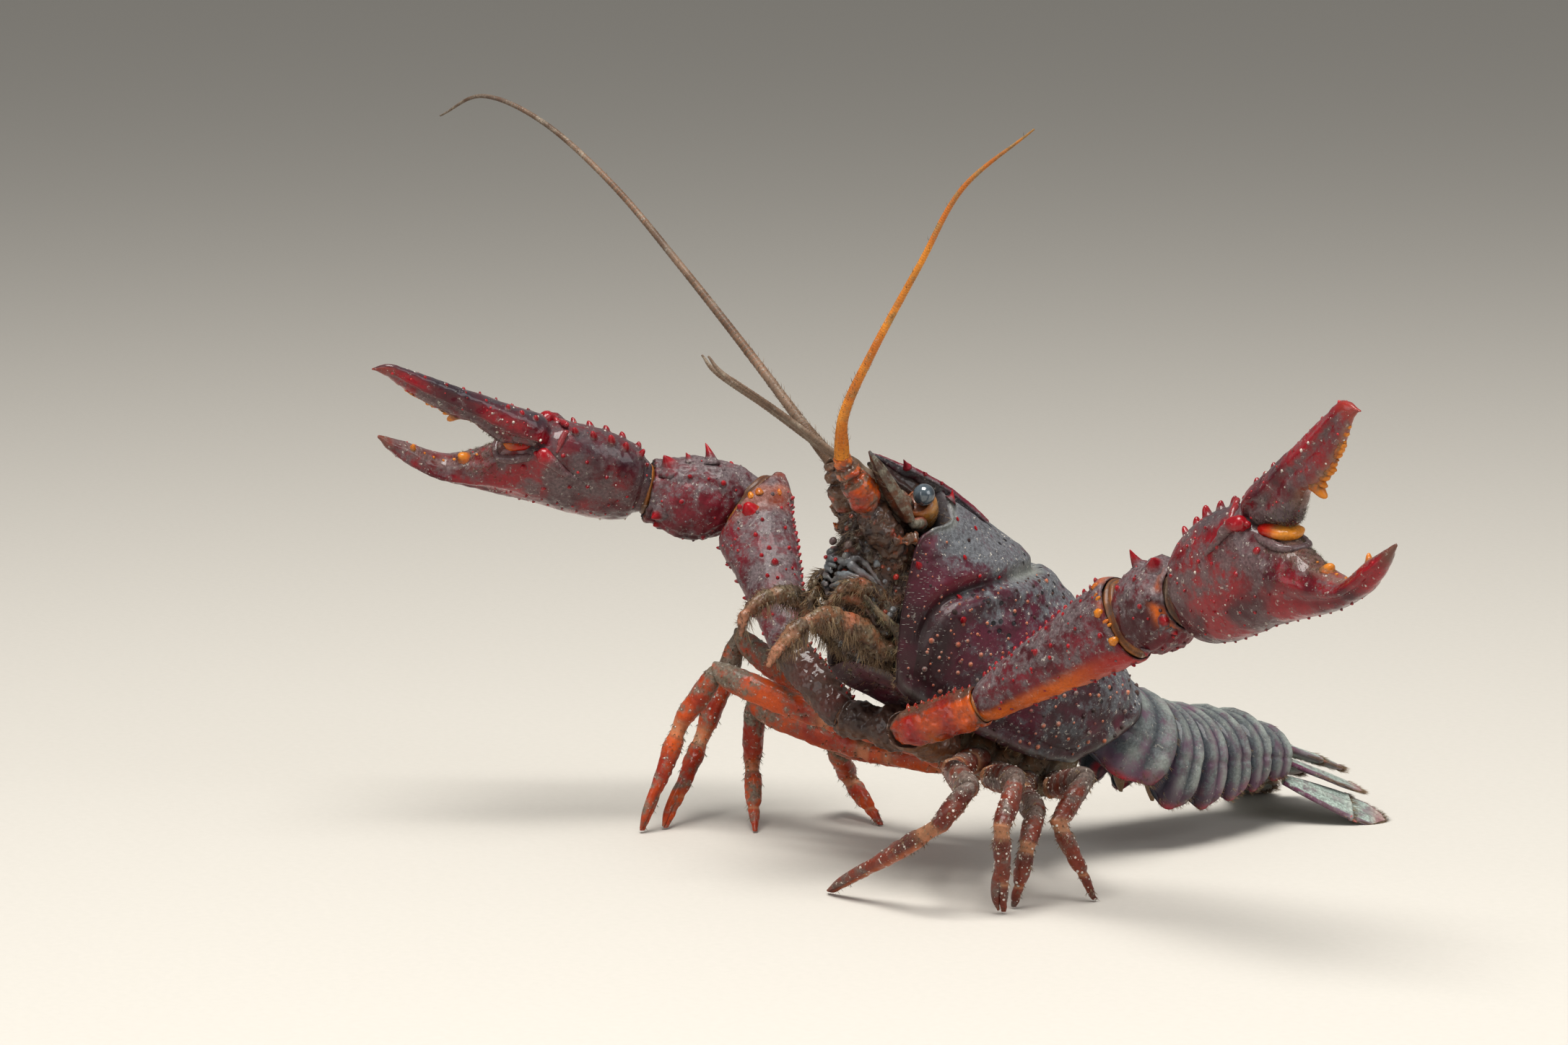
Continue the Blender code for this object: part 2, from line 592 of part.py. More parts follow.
def rest_on_floor(bm):
    """Cut off what would reach below the floor, which leaves a small flat."""
    everything = bm.verts[:] + bm.edges[:] + bm.faces[:]
    cut = bmesh.ops.bisect_plane(bm, geom=everything, plane_co=(0, 0, 0), plane_no=FLOOR, clear_outer=True)
    rim = [item for item in cut["geom_cut"] if isinstance(item, bmesh.types.BMEdge)]
    if rim:
        bmesh.ops.contextual_create(bm, geom=rim)
    bmesh.ops.recalc_face_normals(bm, faces=bm.faces)


def make_leg(name, root, steps, sign, pincer):
    """Two nodes: coxa to merus, then carpus, propodus and dactyl down to a flat foot.

    A leg with a pincer has a fixed finger beside its dactyl.
    """
    joints = walk(root, steps)
    cuts = mitres(joints, LEFT * sign, FLOOR)
    side = heading(steps[1][1] - 90 * sign, 0)
    upper = (((0.0, 1.5, 1.7), (0.3, 1.6, 1.7), (0.62, 1.35, 1.45), (1.0, 1.4, 1.5)),
             ((0.1, 1.3, 1.4), (0.45, 1.4, 1.9), (0.8, 1.45, 1.8), (1.0, 1.2, 1.4)))
    lower = (((0.0, 1.2, 1.3), (0.4, 1.3, 1.5), (1.0, 1.1, 1.15)),
             ((0.16, 1.1, 1.2), (0.42, 1.05, 1.15), (0.68, 0.75, 0.8), (0.9, 0.5, 0.5), (1.0, 0.4, 0.4)))
    finish(f"{name}_upper", limb(joints[:3], cuts[:3], upper, side), LEG_BROWN)
    low = limb(joints[2:], cuts[2:], lower, side, open_end=False)
    if pincer:
        start, end = joints[-2:]
        finger = [start.lerp(end, place) + side * out for place, out in ((0.56, 0.5), (0.74, 1.0), (0.94, 0.95))]
        low = fuse(low, [feeler(finger, 4, ((0, 0.6), (0.4, 0.55), (1, 0.25)), 5)])
    finish(f"{name}_lower", low, LEG_BROWN)


def make_arm(name, steps, chela, arm_side, dactyl_side, sign, size):
    """Coxa with basis, ischium, merus and carpus, then the chela's palm and moving finger."""
    root = thorax(sign * ARM_ROOT[0], *ARM_ROOT[1:])
    joints = walk(root, steps)
    chela_way = heading(*chela)
    wrist = joints[-1]
    joints.append(wrist + chela_way * 5)
    cuts = mitres(joints, (LEFT * sign + AHEAD).normalized(), None)
    cuts[-2] = chela_way
    shapes = {
        "coxa": ((0.0, 2.3, 2.3), (0.35, 2.9, 2.8), (0.7, 2.6, 2.5), (1.0, 2.4, 2.3)),
        "ischium": ((0.0, 2.3, 2.2), (0.3, 2.6, 2.4), (0.75, 2.7, 2.5), (1.0, 2.4, 2.2)),
        "merus": ((0.0, 2.4, 2.1), (0.12, 3.0, 2.6), (0.4, 3.9, 3.3), (0.72, 4.9, 3.9), (0.92, 5.6, 4.3),
                  (1.0, 4.8, 3.8)),
        "carpus": ((0.0, 4.4, 3.6), (0.2, 5.4, 4.6), (0.6, 5.6, 4.9), (0.88, 4.4, 3.9), (1.0, 3.4, 3.0)),
    }
    colours = {"coxa": JOINT_ORANGE, "ischium": SHELL_RED, "merus": SHELL_RED, "carpus": CLAW_RED}
    for i, (part, shape) in enumerate(shapes.items()):
        start, end = joints[i:i + 2]
        way = (end - start).normalized()
        broad = (arm_side - way * arm_side.dot(way)).normalized()
        under = way.cross(broad) * sign
        body = limb((start, end), cuts[i:i + 2], (shape,), arm_side, sides=12)
        spots = []
        for row_part, kind, turn, first, last, count in ARM_ROWS:
            if row_part == part:
                turn = math.radians(turn)
                way_out = broad * math.cos(turn) + under * math.sin(turn)
                spots += [(kind, start.lerp(end, place), way_out) for place in even(first, last, count)]
        if spots:
            body = fuse(body, spines_on(body, spots))
        finish(f"arm_{name}_{part}", body, colours[part])
    face = chela_way.cross(dactyl_side).normalized()
    upward = face.cross(chela_way)
    under = face * sign
    palm_root = wrist + chela_way * JOINT
    palm = plate(palm_root, chela_way, upward, resized(PALM, size), 14)
    palm_spots = row_spots(PALM_ROWS, PALM, palm_root, chela_way, upward, under, size)
    finish(f"claw_{name}_palm", fuse(palm, spines_on(palm, palm_spots)), CLAW_RED)
    hinge = wrist + (chela_way * HINGE[0] + upward * HINGE[1]) * size
    finger_way = (chela_way * FINGER_LINE[0] + upward * FINGER_LINE[1]).normalized()
    finger_up = face.cross(finger_way)
    finger = plate(hinge, finger_way, upward, resized(FINGER, size), 12)
    finger_spots = row_spots(FINGER_ROWS, FINGER, hinge, finger_way, finger_up, under, size)
    finish(f"claw_{name}_finger", fuse(finger, spines_on(finger, finger_spots)), CLAW_RED)


def resized(stations, size):
    return [[measure * size for measure in station] for station in stations]


def spline(points, count):
    """Even run of count points on a smooth curve through a few points."""
    last = len(points) - 1
    lines = [[(i, point[axis]) for i, point in enumerate(points)] for axis in range(3)]
    places = [last * k / (count - 1) for k in range(count)]
    return [Vector([along(place, line) for line in lines]) for place in places]


def feeler(points, count, radii, sides=6, root_cut=None):
    """Tapered round body along a smooth curve: radii is a table over its length from 0 to 1.

    root_cut is the normal of the plane that its root ends on, where that isn't square.
    """
    path = spline(points, count)
    ways = mitres(path, None, None)
    rings = []
    side = LEFT
    for i, (centre, way) in enumerate(zip(path, ways)):
        side = (side - way * side.dot(way)).normalized()
        radius = along(i / (count - 1), radii)
        ring = oval(centre, side * radius, way.cross(side) * radius, sides)
        if i == 0 and root_cut:
            ring = [point - way * ((point - centre).dot(root_cut) / way.dot(root_cut)) for point in ring]
        rings.append(ring)
    return loft(rings)


# Feelers: points along each after its root, the long pair swept up and apart
ANTENNAE = {
    "left": (Vector((7.6, -23.6, 63.7)), Vector((12.2, -22.0, 72.5)), Vector((18.6, -19.2, 83.8)),
             Vector((24.0, -16.3, 93.8)), Vector((32.0, -11.0, 101.5))),
    "right": (Vector((-7.2, -20.5, 60.2)), Vector((-17.4, -22.2, 68.4)), Vector((-30.0, -25.4, 79.3)),
              Vector((-41.8, -29.2, 89.7)), Vector((-52.9, -33.7, 97.7)), Vector((-61.6, -38.3, 101.0)),
              Vector((-68.3, -41.4, 98.0))),
}
ANTENNULE = (Vector((0.9, -22.0, 58.2)), Vector((-2.8, -28.2, 63.6)), Vector((-6.1, -33.5, 67.9)),
             Vector((-7.4, -35.1, 70.3)))
# The rest are in the thorax's own directions, with the first measure out from the middle
ANTENNA_STALKS = {
    "left": ((4.4, 37.8, -9.6), (4.6, 44.0, -9.0), (4.7, 49.0, -7.6), (4.8, 53.5, -6.2), (4.8, 56.5, -5.4),
             (5.2, 58.8, -4.7)),
    "right": ((4.4, 37.8, -9.6), (4.2, 42.5, -8.4), (3.7, 46.5, -7.0), (3.4, 50.0, -5.6), (3.4, 52.6, -4.4),
              (3.6, 54.6, -3.4)),
}
SCALE_ROOTS = {"left": (6.6, 46.0, -5.25), "right": (6.6, 44.8, -4.8)}
ANTENNULE_STALK = ((1.3, 39.95, -5.0), (1.3, 46.0, -3.6), (1.2, 53.0, -2.9))
ANTENNA_RADII = ((0, 0.95), (0.15, 0.75), (0.5, 0.5), (0.85, 0.32), (1, 0.25))


def make_head_limbs():
    """Eyes, feelers with their stalks and scales, and the outer mouth limbs."""
    for name, sign in (("left", 1), ("right", -1)):
        stalk = (thorax(sign * 2.9, 41.3, -2.8), thorax(sign * 4.4, 43.6, -2.2), thorax(sign * 5.9, 45.4, -1.5))
        radii = ((0, 1.1), (0.3, 1.6), (0.75, 1.85), (1, 1.5))
        finish(f"eyestalk_{name}", feeler(stalk, 5, radii, 10, FACE_WAY), FEELER_BROWN)
        way = (stalk[2] - stalk[1]).normalized()
        across = AHEAD.cross(way).normalized()
        ball = ((0.0, 1.35), (0.5, 1.65), (1.2, 1.6), (1.9, 1.1), (2.3, 0.45))
        rings = [oval(stalk[2] + way * (GAP + step), across * radius, way.cross(across) * radius, 12)
                 for step, radius in ball]
        finish(f"eye_{name}", loft(rings), EYE_BLACK, 0.15)
        base = [thorax(sign * out, ahead, up) for out, ahead, up in ANTENNA_STALKS[name]]
        radii = ((0, 1.9), (0.3, 2.1), (0.55, 2.3), (0.7, 1.8), (0.88, 1.5), (1, 1.1))
        finish(f"antenna_base_{name}", feeler(base, 11, radii, 10, FACE_WAY), JOINT_ORANGE)
        base_way = (base[-1] - base[-2]).normalized()
        whip = [base[-1] + base_way * (GAP + 0.05)] + list(ANTENNAE[name])
        finish(f"antenna_{name}", feeler(whip, 24, ANTENNA_RADII, 6, base_way), FEELER_BROWN)
        scale = ((0.0, -1.3, 1.3, 0.6), (2.0, -2.0, 1.7, 0.7), (6.0, -1.9, 1.6, 0.6), (9.0, -0.6, 1.3, 0.45),
                 (11.0, 0.3, 0.8, 0.3))
        out, ahead, up = SCALE_ROOTS[name]
        start = thorax(sign * out, ahead, up)
        finish(f"antenna_scale_{name}", plate(start, AHEAD + BACK_UP * 0.28, LEFT * sign, scale, 8), SHELL_RED)
        path = [thorax(sign * out, ahead, up) for out, ahead, up in ANTENNULE_STALK]
        path += [point + LEFT * (0.8 * (sign - 1)) for point in ANTENNULE]
        radii = ((0, 0.8), (0.2, 0.9), (0.42, 0.8), (0.5, 0.5), (0.8, 0.45), (1, 0.3))
        finish(f"antennule_{name}", feeler(path, 16, radii, 6, FACE_WAY), FEELER_BROWN)


def make_maxillipeds():
    """Outer mouth limbs, reaching out from under the jaws and curling down."""
    reaches = {"left": ((33.6, -18.3), (37.2, -20.2), (42.0, -20.3), (46.7, -21.6), (49.3, -25.0), (50.2, -29.5),
                        (50.0, -32.0)),
               "right": ((33.6, -18.3), (37.2, -20.2), (43.0, -20.4), (47.2, -20.3), (50.6, -22.8), (51.9, -26.5),
                         (50.8, -29.2))}
    for name, sign in (("left", 1), ("right", -1)):
        points = [thorax(sign * (5.0 - 0.1 * i), ahead, up) for i, (ahead, up) in enumerate(reaches[name])]
        radii = ((0, 1.4), (0.3, 1.5), (0.6, 1.1), (0.85, 0.8), (1, 0.4))
        finish(f"maxilliped_{name}", feeler(points, 14, radii, 8, FACE_WAY), MOUTH_TAN)


def settle():
    """Hang every part on one empty that scales to metres and centres the animal over the origin."""
    parts = [thing for thing in bpy.context.scene.objects if thing.type == "MESH"]
    points = [vert.co for part in parts for vert in part.data.vertices]
    middle = [(max(p[axis] for p in points) + min(p[axis] for p in points)) / 2 for axis in (0, 1)]
    for part in parts:
        for vert in part.data.vertices:
            vert.co = (vert.co - Vector((*middle, 0.0))) * MM
    frame = bpy.data.objects.new("crayfish", None)
    bpy.context.scene.collection.objects.link(frame)
    for part in parts:
        part.parent = frame


def build():
    for thing in list(bpy.data.objects):
        bpy.data.objects.remove(thing)
    shell = make_carapace()
    finish("carapace", fuse(shell, [make_rostrum()] + shell_spines(shell)), SHELL_RED)
    finish("sternum", make_sternum(), MOUTH_TAN)
    finish("mouth", make_mouth(), MOUTH_TAN)
    make_fan(make_tail_segments())
    for number, (ahead, up) in enumerate(LEG_ROOTS):
        pincer = number < PINCER_LEGS
        make_leg(f"leg_left_{number + 1}", thorax(LEG_SPREAD, ahead, up), LEFT_LEGS[number], 1, pincer)
        make_leg(f"leg_right_{number + 1}", thorax(-LEG_SPREAD, ahead, up), RIGHT_LEGS[number], -1, pincer)
    make_arm("left", LEFT_ARM, LEFT_CHELA, LEFT_ARM_SIDE, LEFT_DACTYL_SIDE, 1, LEFT_CLAW_SIZE)
    make_arm("right", RIGHT_ARM, RIGHT_CHELA, RIGHT_ARM_SIDE, RIGHT_DACTYL_SIDE, -1, RIGHT_CLAW_SIZE)
    make_head_limbs()
    make_maxillipeds()
    settle()


build()
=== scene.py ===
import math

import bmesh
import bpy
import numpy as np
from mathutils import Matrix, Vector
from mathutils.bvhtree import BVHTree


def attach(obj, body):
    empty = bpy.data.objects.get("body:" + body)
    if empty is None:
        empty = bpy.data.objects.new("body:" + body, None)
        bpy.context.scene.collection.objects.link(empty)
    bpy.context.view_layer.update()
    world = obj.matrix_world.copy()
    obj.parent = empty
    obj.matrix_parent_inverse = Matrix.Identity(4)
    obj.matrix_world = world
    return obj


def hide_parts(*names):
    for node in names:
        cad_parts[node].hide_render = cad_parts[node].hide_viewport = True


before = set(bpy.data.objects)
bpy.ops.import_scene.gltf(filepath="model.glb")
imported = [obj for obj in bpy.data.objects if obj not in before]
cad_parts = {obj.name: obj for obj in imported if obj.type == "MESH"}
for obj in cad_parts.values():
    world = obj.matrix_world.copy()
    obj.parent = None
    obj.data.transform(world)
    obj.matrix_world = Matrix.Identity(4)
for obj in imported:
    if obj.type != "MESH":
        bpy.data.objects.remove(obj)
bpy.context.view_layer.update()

# %% [markdown]
# # A red swamp crayfish, life size
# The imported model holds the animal's solids: shell, arms, legs, tail and feelers, each a plain body
# at its true place. This lesson dresses them. Every shell plate is made again from a flat grid that
# is rolled into a closed form, and then gets its grooves, knobs, dust and hair. The shapes are worked
# out in millimetres and in the animal's own directions, and each piece is set down in metres at the
# end.

scene = bpy.context.scene
scene.view_settings.view_transform = "Standard"

# %% [markdown]
# ## Directions
# A crayfish that rears up leans its thorax back by 40 degrees, so left, ahead and up are not the
# floor's directions. It could be modelled level and turned at the end, but the arms and legs keep to
# the floor, so here one function gives the place of a point in the leaning thorax, and another gives
# a heading as a yaw and a rise, the way a builder would sight along a limb.

# %% Directions
MM = 0.001
MIDDLE = np.array((10.808, 4.648, 0.0))     # the animal's middle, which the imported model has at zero
PITCH = math.radians(40)
REAR_EDGE = np.array((0.3, 25.4, 23.3))     # top of the shell's rear edge
LEFT = np.array((1.0, 0.0, 0.0))
AHEAD = np.array((0.0, -math.cos(PITCH), math.sin(PITCH)))
BACK_UP = np.array((0.0, math.sin(PITCH), math.cos(PITCH)))
SKY = np.array((0.0, 0.0, 1.0))
SIDES = (("left", 1), ("right", -1))


def unit(vectors):
    """The same directions with a length of one."""
    vectors = np.asarray(vectors, float)
    return vectors / np.linalg.norm(vectors, axis=-1, keepdims=True)


def heading(yaw, rise):
    """Direction of a yaw and a rise in degrees: yaw 0 looks ahead and 90 looks left."""
    yaw, rise = math.radians(yaw), math.radians(rise)
    return np.array((math.cos(rise) * math.sin(yaw), -math.cos(rise) * math.cos(yaw), math.sin(rise)))


def thorax(left, ahead, up):
    """Points given in the leaning thorax's own directions."""
    out = np.multiply.outer(np.asarray(left, float), LEFT)
    onward = np.multiply.outer(np.asarray(ahead, float), AHEAD)
    return REAR_EDGE + out + onward + np.multiply.outer(np.asarray(up, float), BACK_UP)


def side_line(sign, table):
    """Places of the leaning thorax, given as out, ahead and up, on the left for 1 or the right for -1."""
    return [thorax(sign * out, ahead, up) for out, ahead, up in table]


def walk(start, steps):
    """Joints of a limb: each step is a length, a yaw and a rise, or only the last two, to the floor."""
    joints = [np.asarray(start, float)]
    for step in steps:
        way = heading(*step[-2:])
        length = step[0] if len(step) == 3 else joints[-1][2] / -way[2]
        joints.append(joints[-1] + way * length)
    return joints


FACE_LOW = (31.5, -22.0)
FACE_SLANT = 9.0 / 19.0
FACE_WAY = unit(AHEAD - BACK_UP * FACE_SLANT)
print("the rostrum points along", AHEAD.round(3), "and the face along", FACE_WAY.round(3))

# %% [markdown]
# ## Camera, floor and light
# The picture was taken with a long lens, low down and from the animal's front left. The floor is a
# plain pale sheet, and the light comes from one broad soft window above, one weaker on each side, and
# a pale sky, so that the gloss of the wet shell shows as soft patches and not as hard spots.

# %% Camera, floor and light
LENS = 128.15
LENS_PLACE = np.array((610.7, -409.5, 156.5))
GAZE = Vector((-0.839, 0.524, -0.148))
camera = bpy.data.objects.new("camera", bpy.data.cameras.new("camera"))
camera.data.lens = LENS
camera.data.sensor_width = 36.0
camera.location = (LENS_PLACE - MIDDLE) * MM
camera.rotation_euler = GAZE.to_track_quat("-Z", "Y").to_euler()
scene.collection.objects.link(camera)
scene.camera = camera

floor_form = bmesh.new()
bmesh.ops.create_grid(floor_form, x_segments=4, y_segments=4, size=6.0)
floor_mesh = bpy.data.meshes.new("floor")
floor_form.to_mesh(floor_mesh)
floor_form.free()
floor = bpy.data.objects.new("floor", floor_mesh)
scene.collection.objects.link(floor)


def window(name, place, size, power, tint=(1.0, 1.0, 1.0)):
    """A square soft light that looks at the animal."""
    light = bpy.data.lights.new(name, "AREA")
    light.size, light.energy, light.color = size, power, tint
    lamp = bpy.data.objects.new(name, light)
    lamp.location = place
    lamp.rotation_euler = (Vector((0.0, 0.0, 0.05)) - Vector(place)).to_track_quat("-Z", "Y").to_euler()
    scene.collection.objects.link(lamp)


window("window_above", (0.15, -0.15, 0.75), 0.42, 9.5, (1.0, 0.98, 0.94))
window("window_left", (0.75, 0.25, 0.4), 0.5, 2.6, (0.95, 0.98, 1.0))
window("window_front", (0.1, -0.8, 0.3), 0.5, 1.6)
scene.world = bpy.data.worlds.new("sky")
scene.world.use_nodes = True
scene.world.node_tree.nodes["Background"].inputs["Color"].default_value = (0.86, 0.85, 0.82, 1.0)
scene.world.node_tree.nodes["Background"].inputs["Strength"].default_value = 0.36
print("camera at", [round(c, 3) for c in camera.location])

# %% [markdown]
# ## Smooth curves through a few sizes
# A shell is not made of straight stretches. Its width, height and edge swell and narrow in soft
# curves, so a table with a few sizes is read through a curve that passes through every one of them.
# A spline object would do the same; a function gives the size at thousands of places at once.

# %% Smooth curves through a few sizes
def along(place, table):
    """Height of a smooth curve through a table of (place, height) points, at many places."""
    x, y = np.array(table, float)[:, :2].T
    place = np.clip(place, x[0], x[-1])
    before = np.maximum(np.arange(len(x)) - 1, 0)
    after = np.minimum(np.arange(len(x)) + 1, len(x) - 1)
    slope = (y[after] - y[before]) / (x[after] - x[before])
    i = np.clip(np.searchsorted(x, place, side="right") - 1, 0, len(x) - 2)
    span = x[i + 1] - x[i]
    t = (place - x[i]) / span
    rise = (2 * t ** 3 - 3 * t ** 2 + 1) * y[i] + (3 * t ** 2 - 2 * t ** 3) * y[i + 1]
    return rise + ((t ** 3 - 2 * t ** 2 + t) * slope[i] + (t ** 3 - t ** 2) * slope[i + 1]) * span


def column(table, k):
    """The first and the k-th number of each row of a table, as a curve for along."""
    return [(row[0], row[k]) for row in table]


def step_up(values, low, high):
    """Soft step from 0 at low to 1 at high."""
    t = np.clip((np.asarray(values, float) - low) / (high - low), 0, 1)
    return t * t * (3 - 2 * t)


def bell(values, middle, width):
    """Soft hump of height one."""
    return np.exp(-((np.asarray(values, float) - middle) / width) ** 2)


HASH_STEPS = np.array((7385, 1934, 8349))   # turn a cell's three numbers into one that looks random
HASH_SIZE = 65521


def mottle(points, size, seed=0):
    """Soft random patches from 0 to 1, each about size millimetres across."""
    grid = points / size + seed * 17.31
    cell = np.floor(grid).astype(np.int64)
    f = grid - cell
    f = f * f * (3 - 2 * f)
    total = np.zeros(len(points))
    for corner in range(8):
        offset = np.array([corner >> axis & 1 for axis in range(3)])
        key = (cell + offset) @ HASH_STEPS % HASH_SIZE
        chance = np.modf(np.abs(np.sin(key * 12.9898) * 43758.5453))[0]
        total += chance * np.prod(np.where(offset, f, 1 - f), axis=1)
    return total


def cloudy(points, size, seed=0):
    """Patches with smaller patches in them."""
    return sum(mottle(points, size / 2 ** k, seed + k) * share for k, share in enumerate((0.5, 0.3, 0.2)))


def clouds(points, size, seed=0):
    """Patches that rise and sink by up to a half, to lift a skin or thin its dust."""
    return cloudy(points, size, seed) - 0.5


def specks(points, size, seed=0):
    """Single small bumps and dents of up to a half."""
    return mottle(points, size, seed) - 0.5


def blots(points, size, seed, low, high):
    """Patches with clear edges, from 0 to 1."""
    return step_up(mottle(points, size, seed), low, high)


print("halfway through a curve:", along(np.array([0.5]), ((0, 0), (1, 1), (2, 1))))

# %% [markdown]
# ## Rolling a grid into a skin
# Each plate starts as a flat grid. Its columns are rolled round into rings, its two edges are welded
# into one seam, and its first and last rows are drawn together into a closed pole. This is how a
# potter makes a closed tube out of a slab. The grid keeps its rows and columns as two attributes,
# round and along, which later tell where on the plate a point lies.

# %% Rolling a grid into a skin
WELD = 0.0005


def read(mesh):
    """Places of a mesh's points."""
    places = np.empty(len(mesh.vertices) * 3, np.float32)
    mesh.vertices.foreach_get("co", places)
    return places.reshape(-1, 3).astype(float)


def write(mesh, places):
    """Set down a mesh's points."""
    mesh.vertices.foreach_set("co", np.asarray(places, np.float32).ravel())
    mesh.update()


def facing(mesh):
    """Outward direction at each point."""
    ways = np.empty(len(mesh.vertices) * 3, np.float32)
    mesh.vertex_normals.foreach_get("vector", ways)
    return ways.reshape(-1, 3).astype(float)


def mask(mesh, name):
    """Values of an attribute, or zeros."""
    values = np.zeros(len(mesh.vertices), np.float32)
    if name in mesh.attributes:
        mesh.attributes[name].data.foreach_get("value", values)
    return values.astype(float)


def paint(mesh, **masks):
    """Keep values from 0 to 1 on the points, for the finish to read."""
    for name, values in masks.items():
        layer = mesh.attributes.get(name) or mesh.attributes.new(name, "FLOAT", "POINT")
        values = np.broadcast_to(np.clip(values, 0, 1), len(mesh.vertices))
        layer.data.foreach_set("value", values.astype(np.float32))


def skin(name, rings):
    """Closed mesh over rings of points, an array of rows, columns and x, y, z."""
    rings = np.asarray(rings, float)
    rows, columns = rings.shape[0] - 1, rings.shape[1]
    form = bmesh.new()
    bmesh.ops.create_grid(form, x_segments=columns, y_segments=rows, size=0.5)
    mesh = bpy.data.meshes.new(name)
    form.to_mesh(mesh)
    flat = read(mesh) + 0.5
    column = np.rint(flat[:, 0] * columns).astype(int)
    row = np.rint(flat[:, 1] * rows).astype(int)
    write(mesh, rings[row, column % columns])
    paint(mesh, round=column % columns / columns, along=row / rows)
    form.clear()
    form.from_mesh(mesh)
    bmesh.ops.remove_doubles(form, verts=form.verts, dist=WELD)
    bmesh.ops.recalc_face_normals(form, faces=form.faces)
    form.to_mesh(mesh)
    form.free()
    return mesh


def swell(mesh, heights):
    """Push each point out along its own facing."""
    write(mesh, read(mesh) + facing(mesh) * np.asarray(heights)[:, None])


def caps(rings, first=0.25, last=0.25, steps=(0.97, 0.88, 0.6, 0.3, 0.0)):
    """Close both ends with rings drawn in to the middle; first and last say how far each bulges."""
    rings = list(rings)
    start, end = rings[0], rings[-1]
    start_middle, end_middle = start.mean(0), end.mean(0)
    start_out = unit(start_middle - rings[1].mean(0))
    end_out = unit(end_middle - rings[-2].mean(0))
    head = [start_middle + (start - start_middle) * s + start_out * first * (1 - s * s) ** 0.5
            for s in steps]
    tail = [end_middle + (end - end_middle) * s + end_out * last * (1 - s * s) ** 0.5 for s in steps]
    return np.array(head[::-1] + rings + tail)


PIECES = []


def piece(mesh, finish, slot, *nodes):
    """Set a mesh down in metres, and not through the floor, as one piece that stands for the CAD nodes."""
    places = read(mesh) - MIDDLE
    places[:, 2] = np.maximum(places[:, 2], 0.0)
    write(mesh, places * MM)
    mesh.shade_smooth()
    mesh.materials.append(finish)
    made = bpy.data.objects.new(mesh.name, mesh)
    scene.collection.objects.link(made)
    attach(made, "root")
    if nodes:
        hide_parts(*nodes)
    PIECES.append(made)
    print(f"{made.name}: {len(mesh.polygons)} faces")
    return made


# %% [markdown]
# ## Finishes of shell
# A living shell is dark pigment under a thin horny layer, and this one has dried mud on it. A single
# colour would look like plastic. So each finish mixes two pigment colours in large soft patches, lays
# a film of grey dust over them that breaks up into clouds, strews pale grit on top, and opens small
# dark pits. The points' own masks say where dust lies, where knobs are bright, where the shell is
# pale and where it is pitted. Dust is rough, clean shell is smooth, and the same patterns lift the
# surface a little as bump. A few helpers add and join the shader nodes.

# %% Finishes of shell
def add(tree, kind, wires=(), **traits):
    """One shader node: wires gives its inputs, as values or as other nodes' outputs."""
    made = tree.nodes.new("ShaderNode" + kind)
    for key, value in traits.items():
        setattr(made, key, value)
    for key, value in dict(wires).items():
        if isinstance(value, bpy.types.NodeSocket):
            tree.links.new(value, made.inputs[key])
        else:
            made.inputs[key].default_value = value
    return made.outputs[0]


def rgb(colour):
    """A colour with its fourth number, as shader nodes want it."""
    return (*colour, 1.0)


def mixed(tree, share, first, second):
    """Colour between two colours."""
    made = tree.nodes.new("ShaderNodeMix")
    made.data_type = "RGBA"
    for socket, value in zip((made.inputs[0], made.inputs[6], made.inputs[7]), (share, first, second)):
        if isinstance(value, bpy.types.NodeSocket):
            tree.links.new(value, socket)
        else:
            socket.default_value = value
    return made.outputs[2]


def sums(tree, work, *values):
    """A plain sum: MULTIPLY, ADD, MULTIPLY_ADD and so on."""
    return add(tree, "Math", dict(enumerate(values)), operation=work, use_clamp=False)


def ramp(tree, value, low, high, out_low=0.0, out_high=1.0):
    """Stretch of a value from low..high to out_low..out_high, held at both ends."""
    wires = {0: value, 1: low, 2: high, 3: out_low, 4: out_high}
    return add(tree, "MapRange", wires, clamp=True, interpolation_type="SMOOTHSTEP")


def noise(tree, place, scale, detail=4.0, rough=0.6):
    """Soft random values over the object."""
    wires = {"Vector": place, "Scale": scale, "Detail": detail, "Roughness": rough}
    return add(tree, "TexNoise", wires)


def attribute(tree, name):
    """Values of a mask of the points."""
    made = tree.nodes.new("ShaderNodeAttribute")
    made.attribute_name = name
    return made.outputs["Fac"]


def new_finish(name):
    """An empty node finish: its tree, its shader and the place on the object."""
    finish = bpy.data.materials.new(name)
    finish.use_nodes = True
    tree = finish.node_tree
    place = tree.nodes.new("ShaderNodeTexCoord").outputs["Object"]
    return finish, tree, tree.nodes["Principled BSDF"], place


# %% [markdown]
# ## One recipe for shell
# The recipe is written once, as a function of a few colours and strengths. Noise of three sizes makes
# the patches, the clouds and the grain. A photograph of a shell could be laid over each plate instead,
# but noise fits any plate and has no seam.

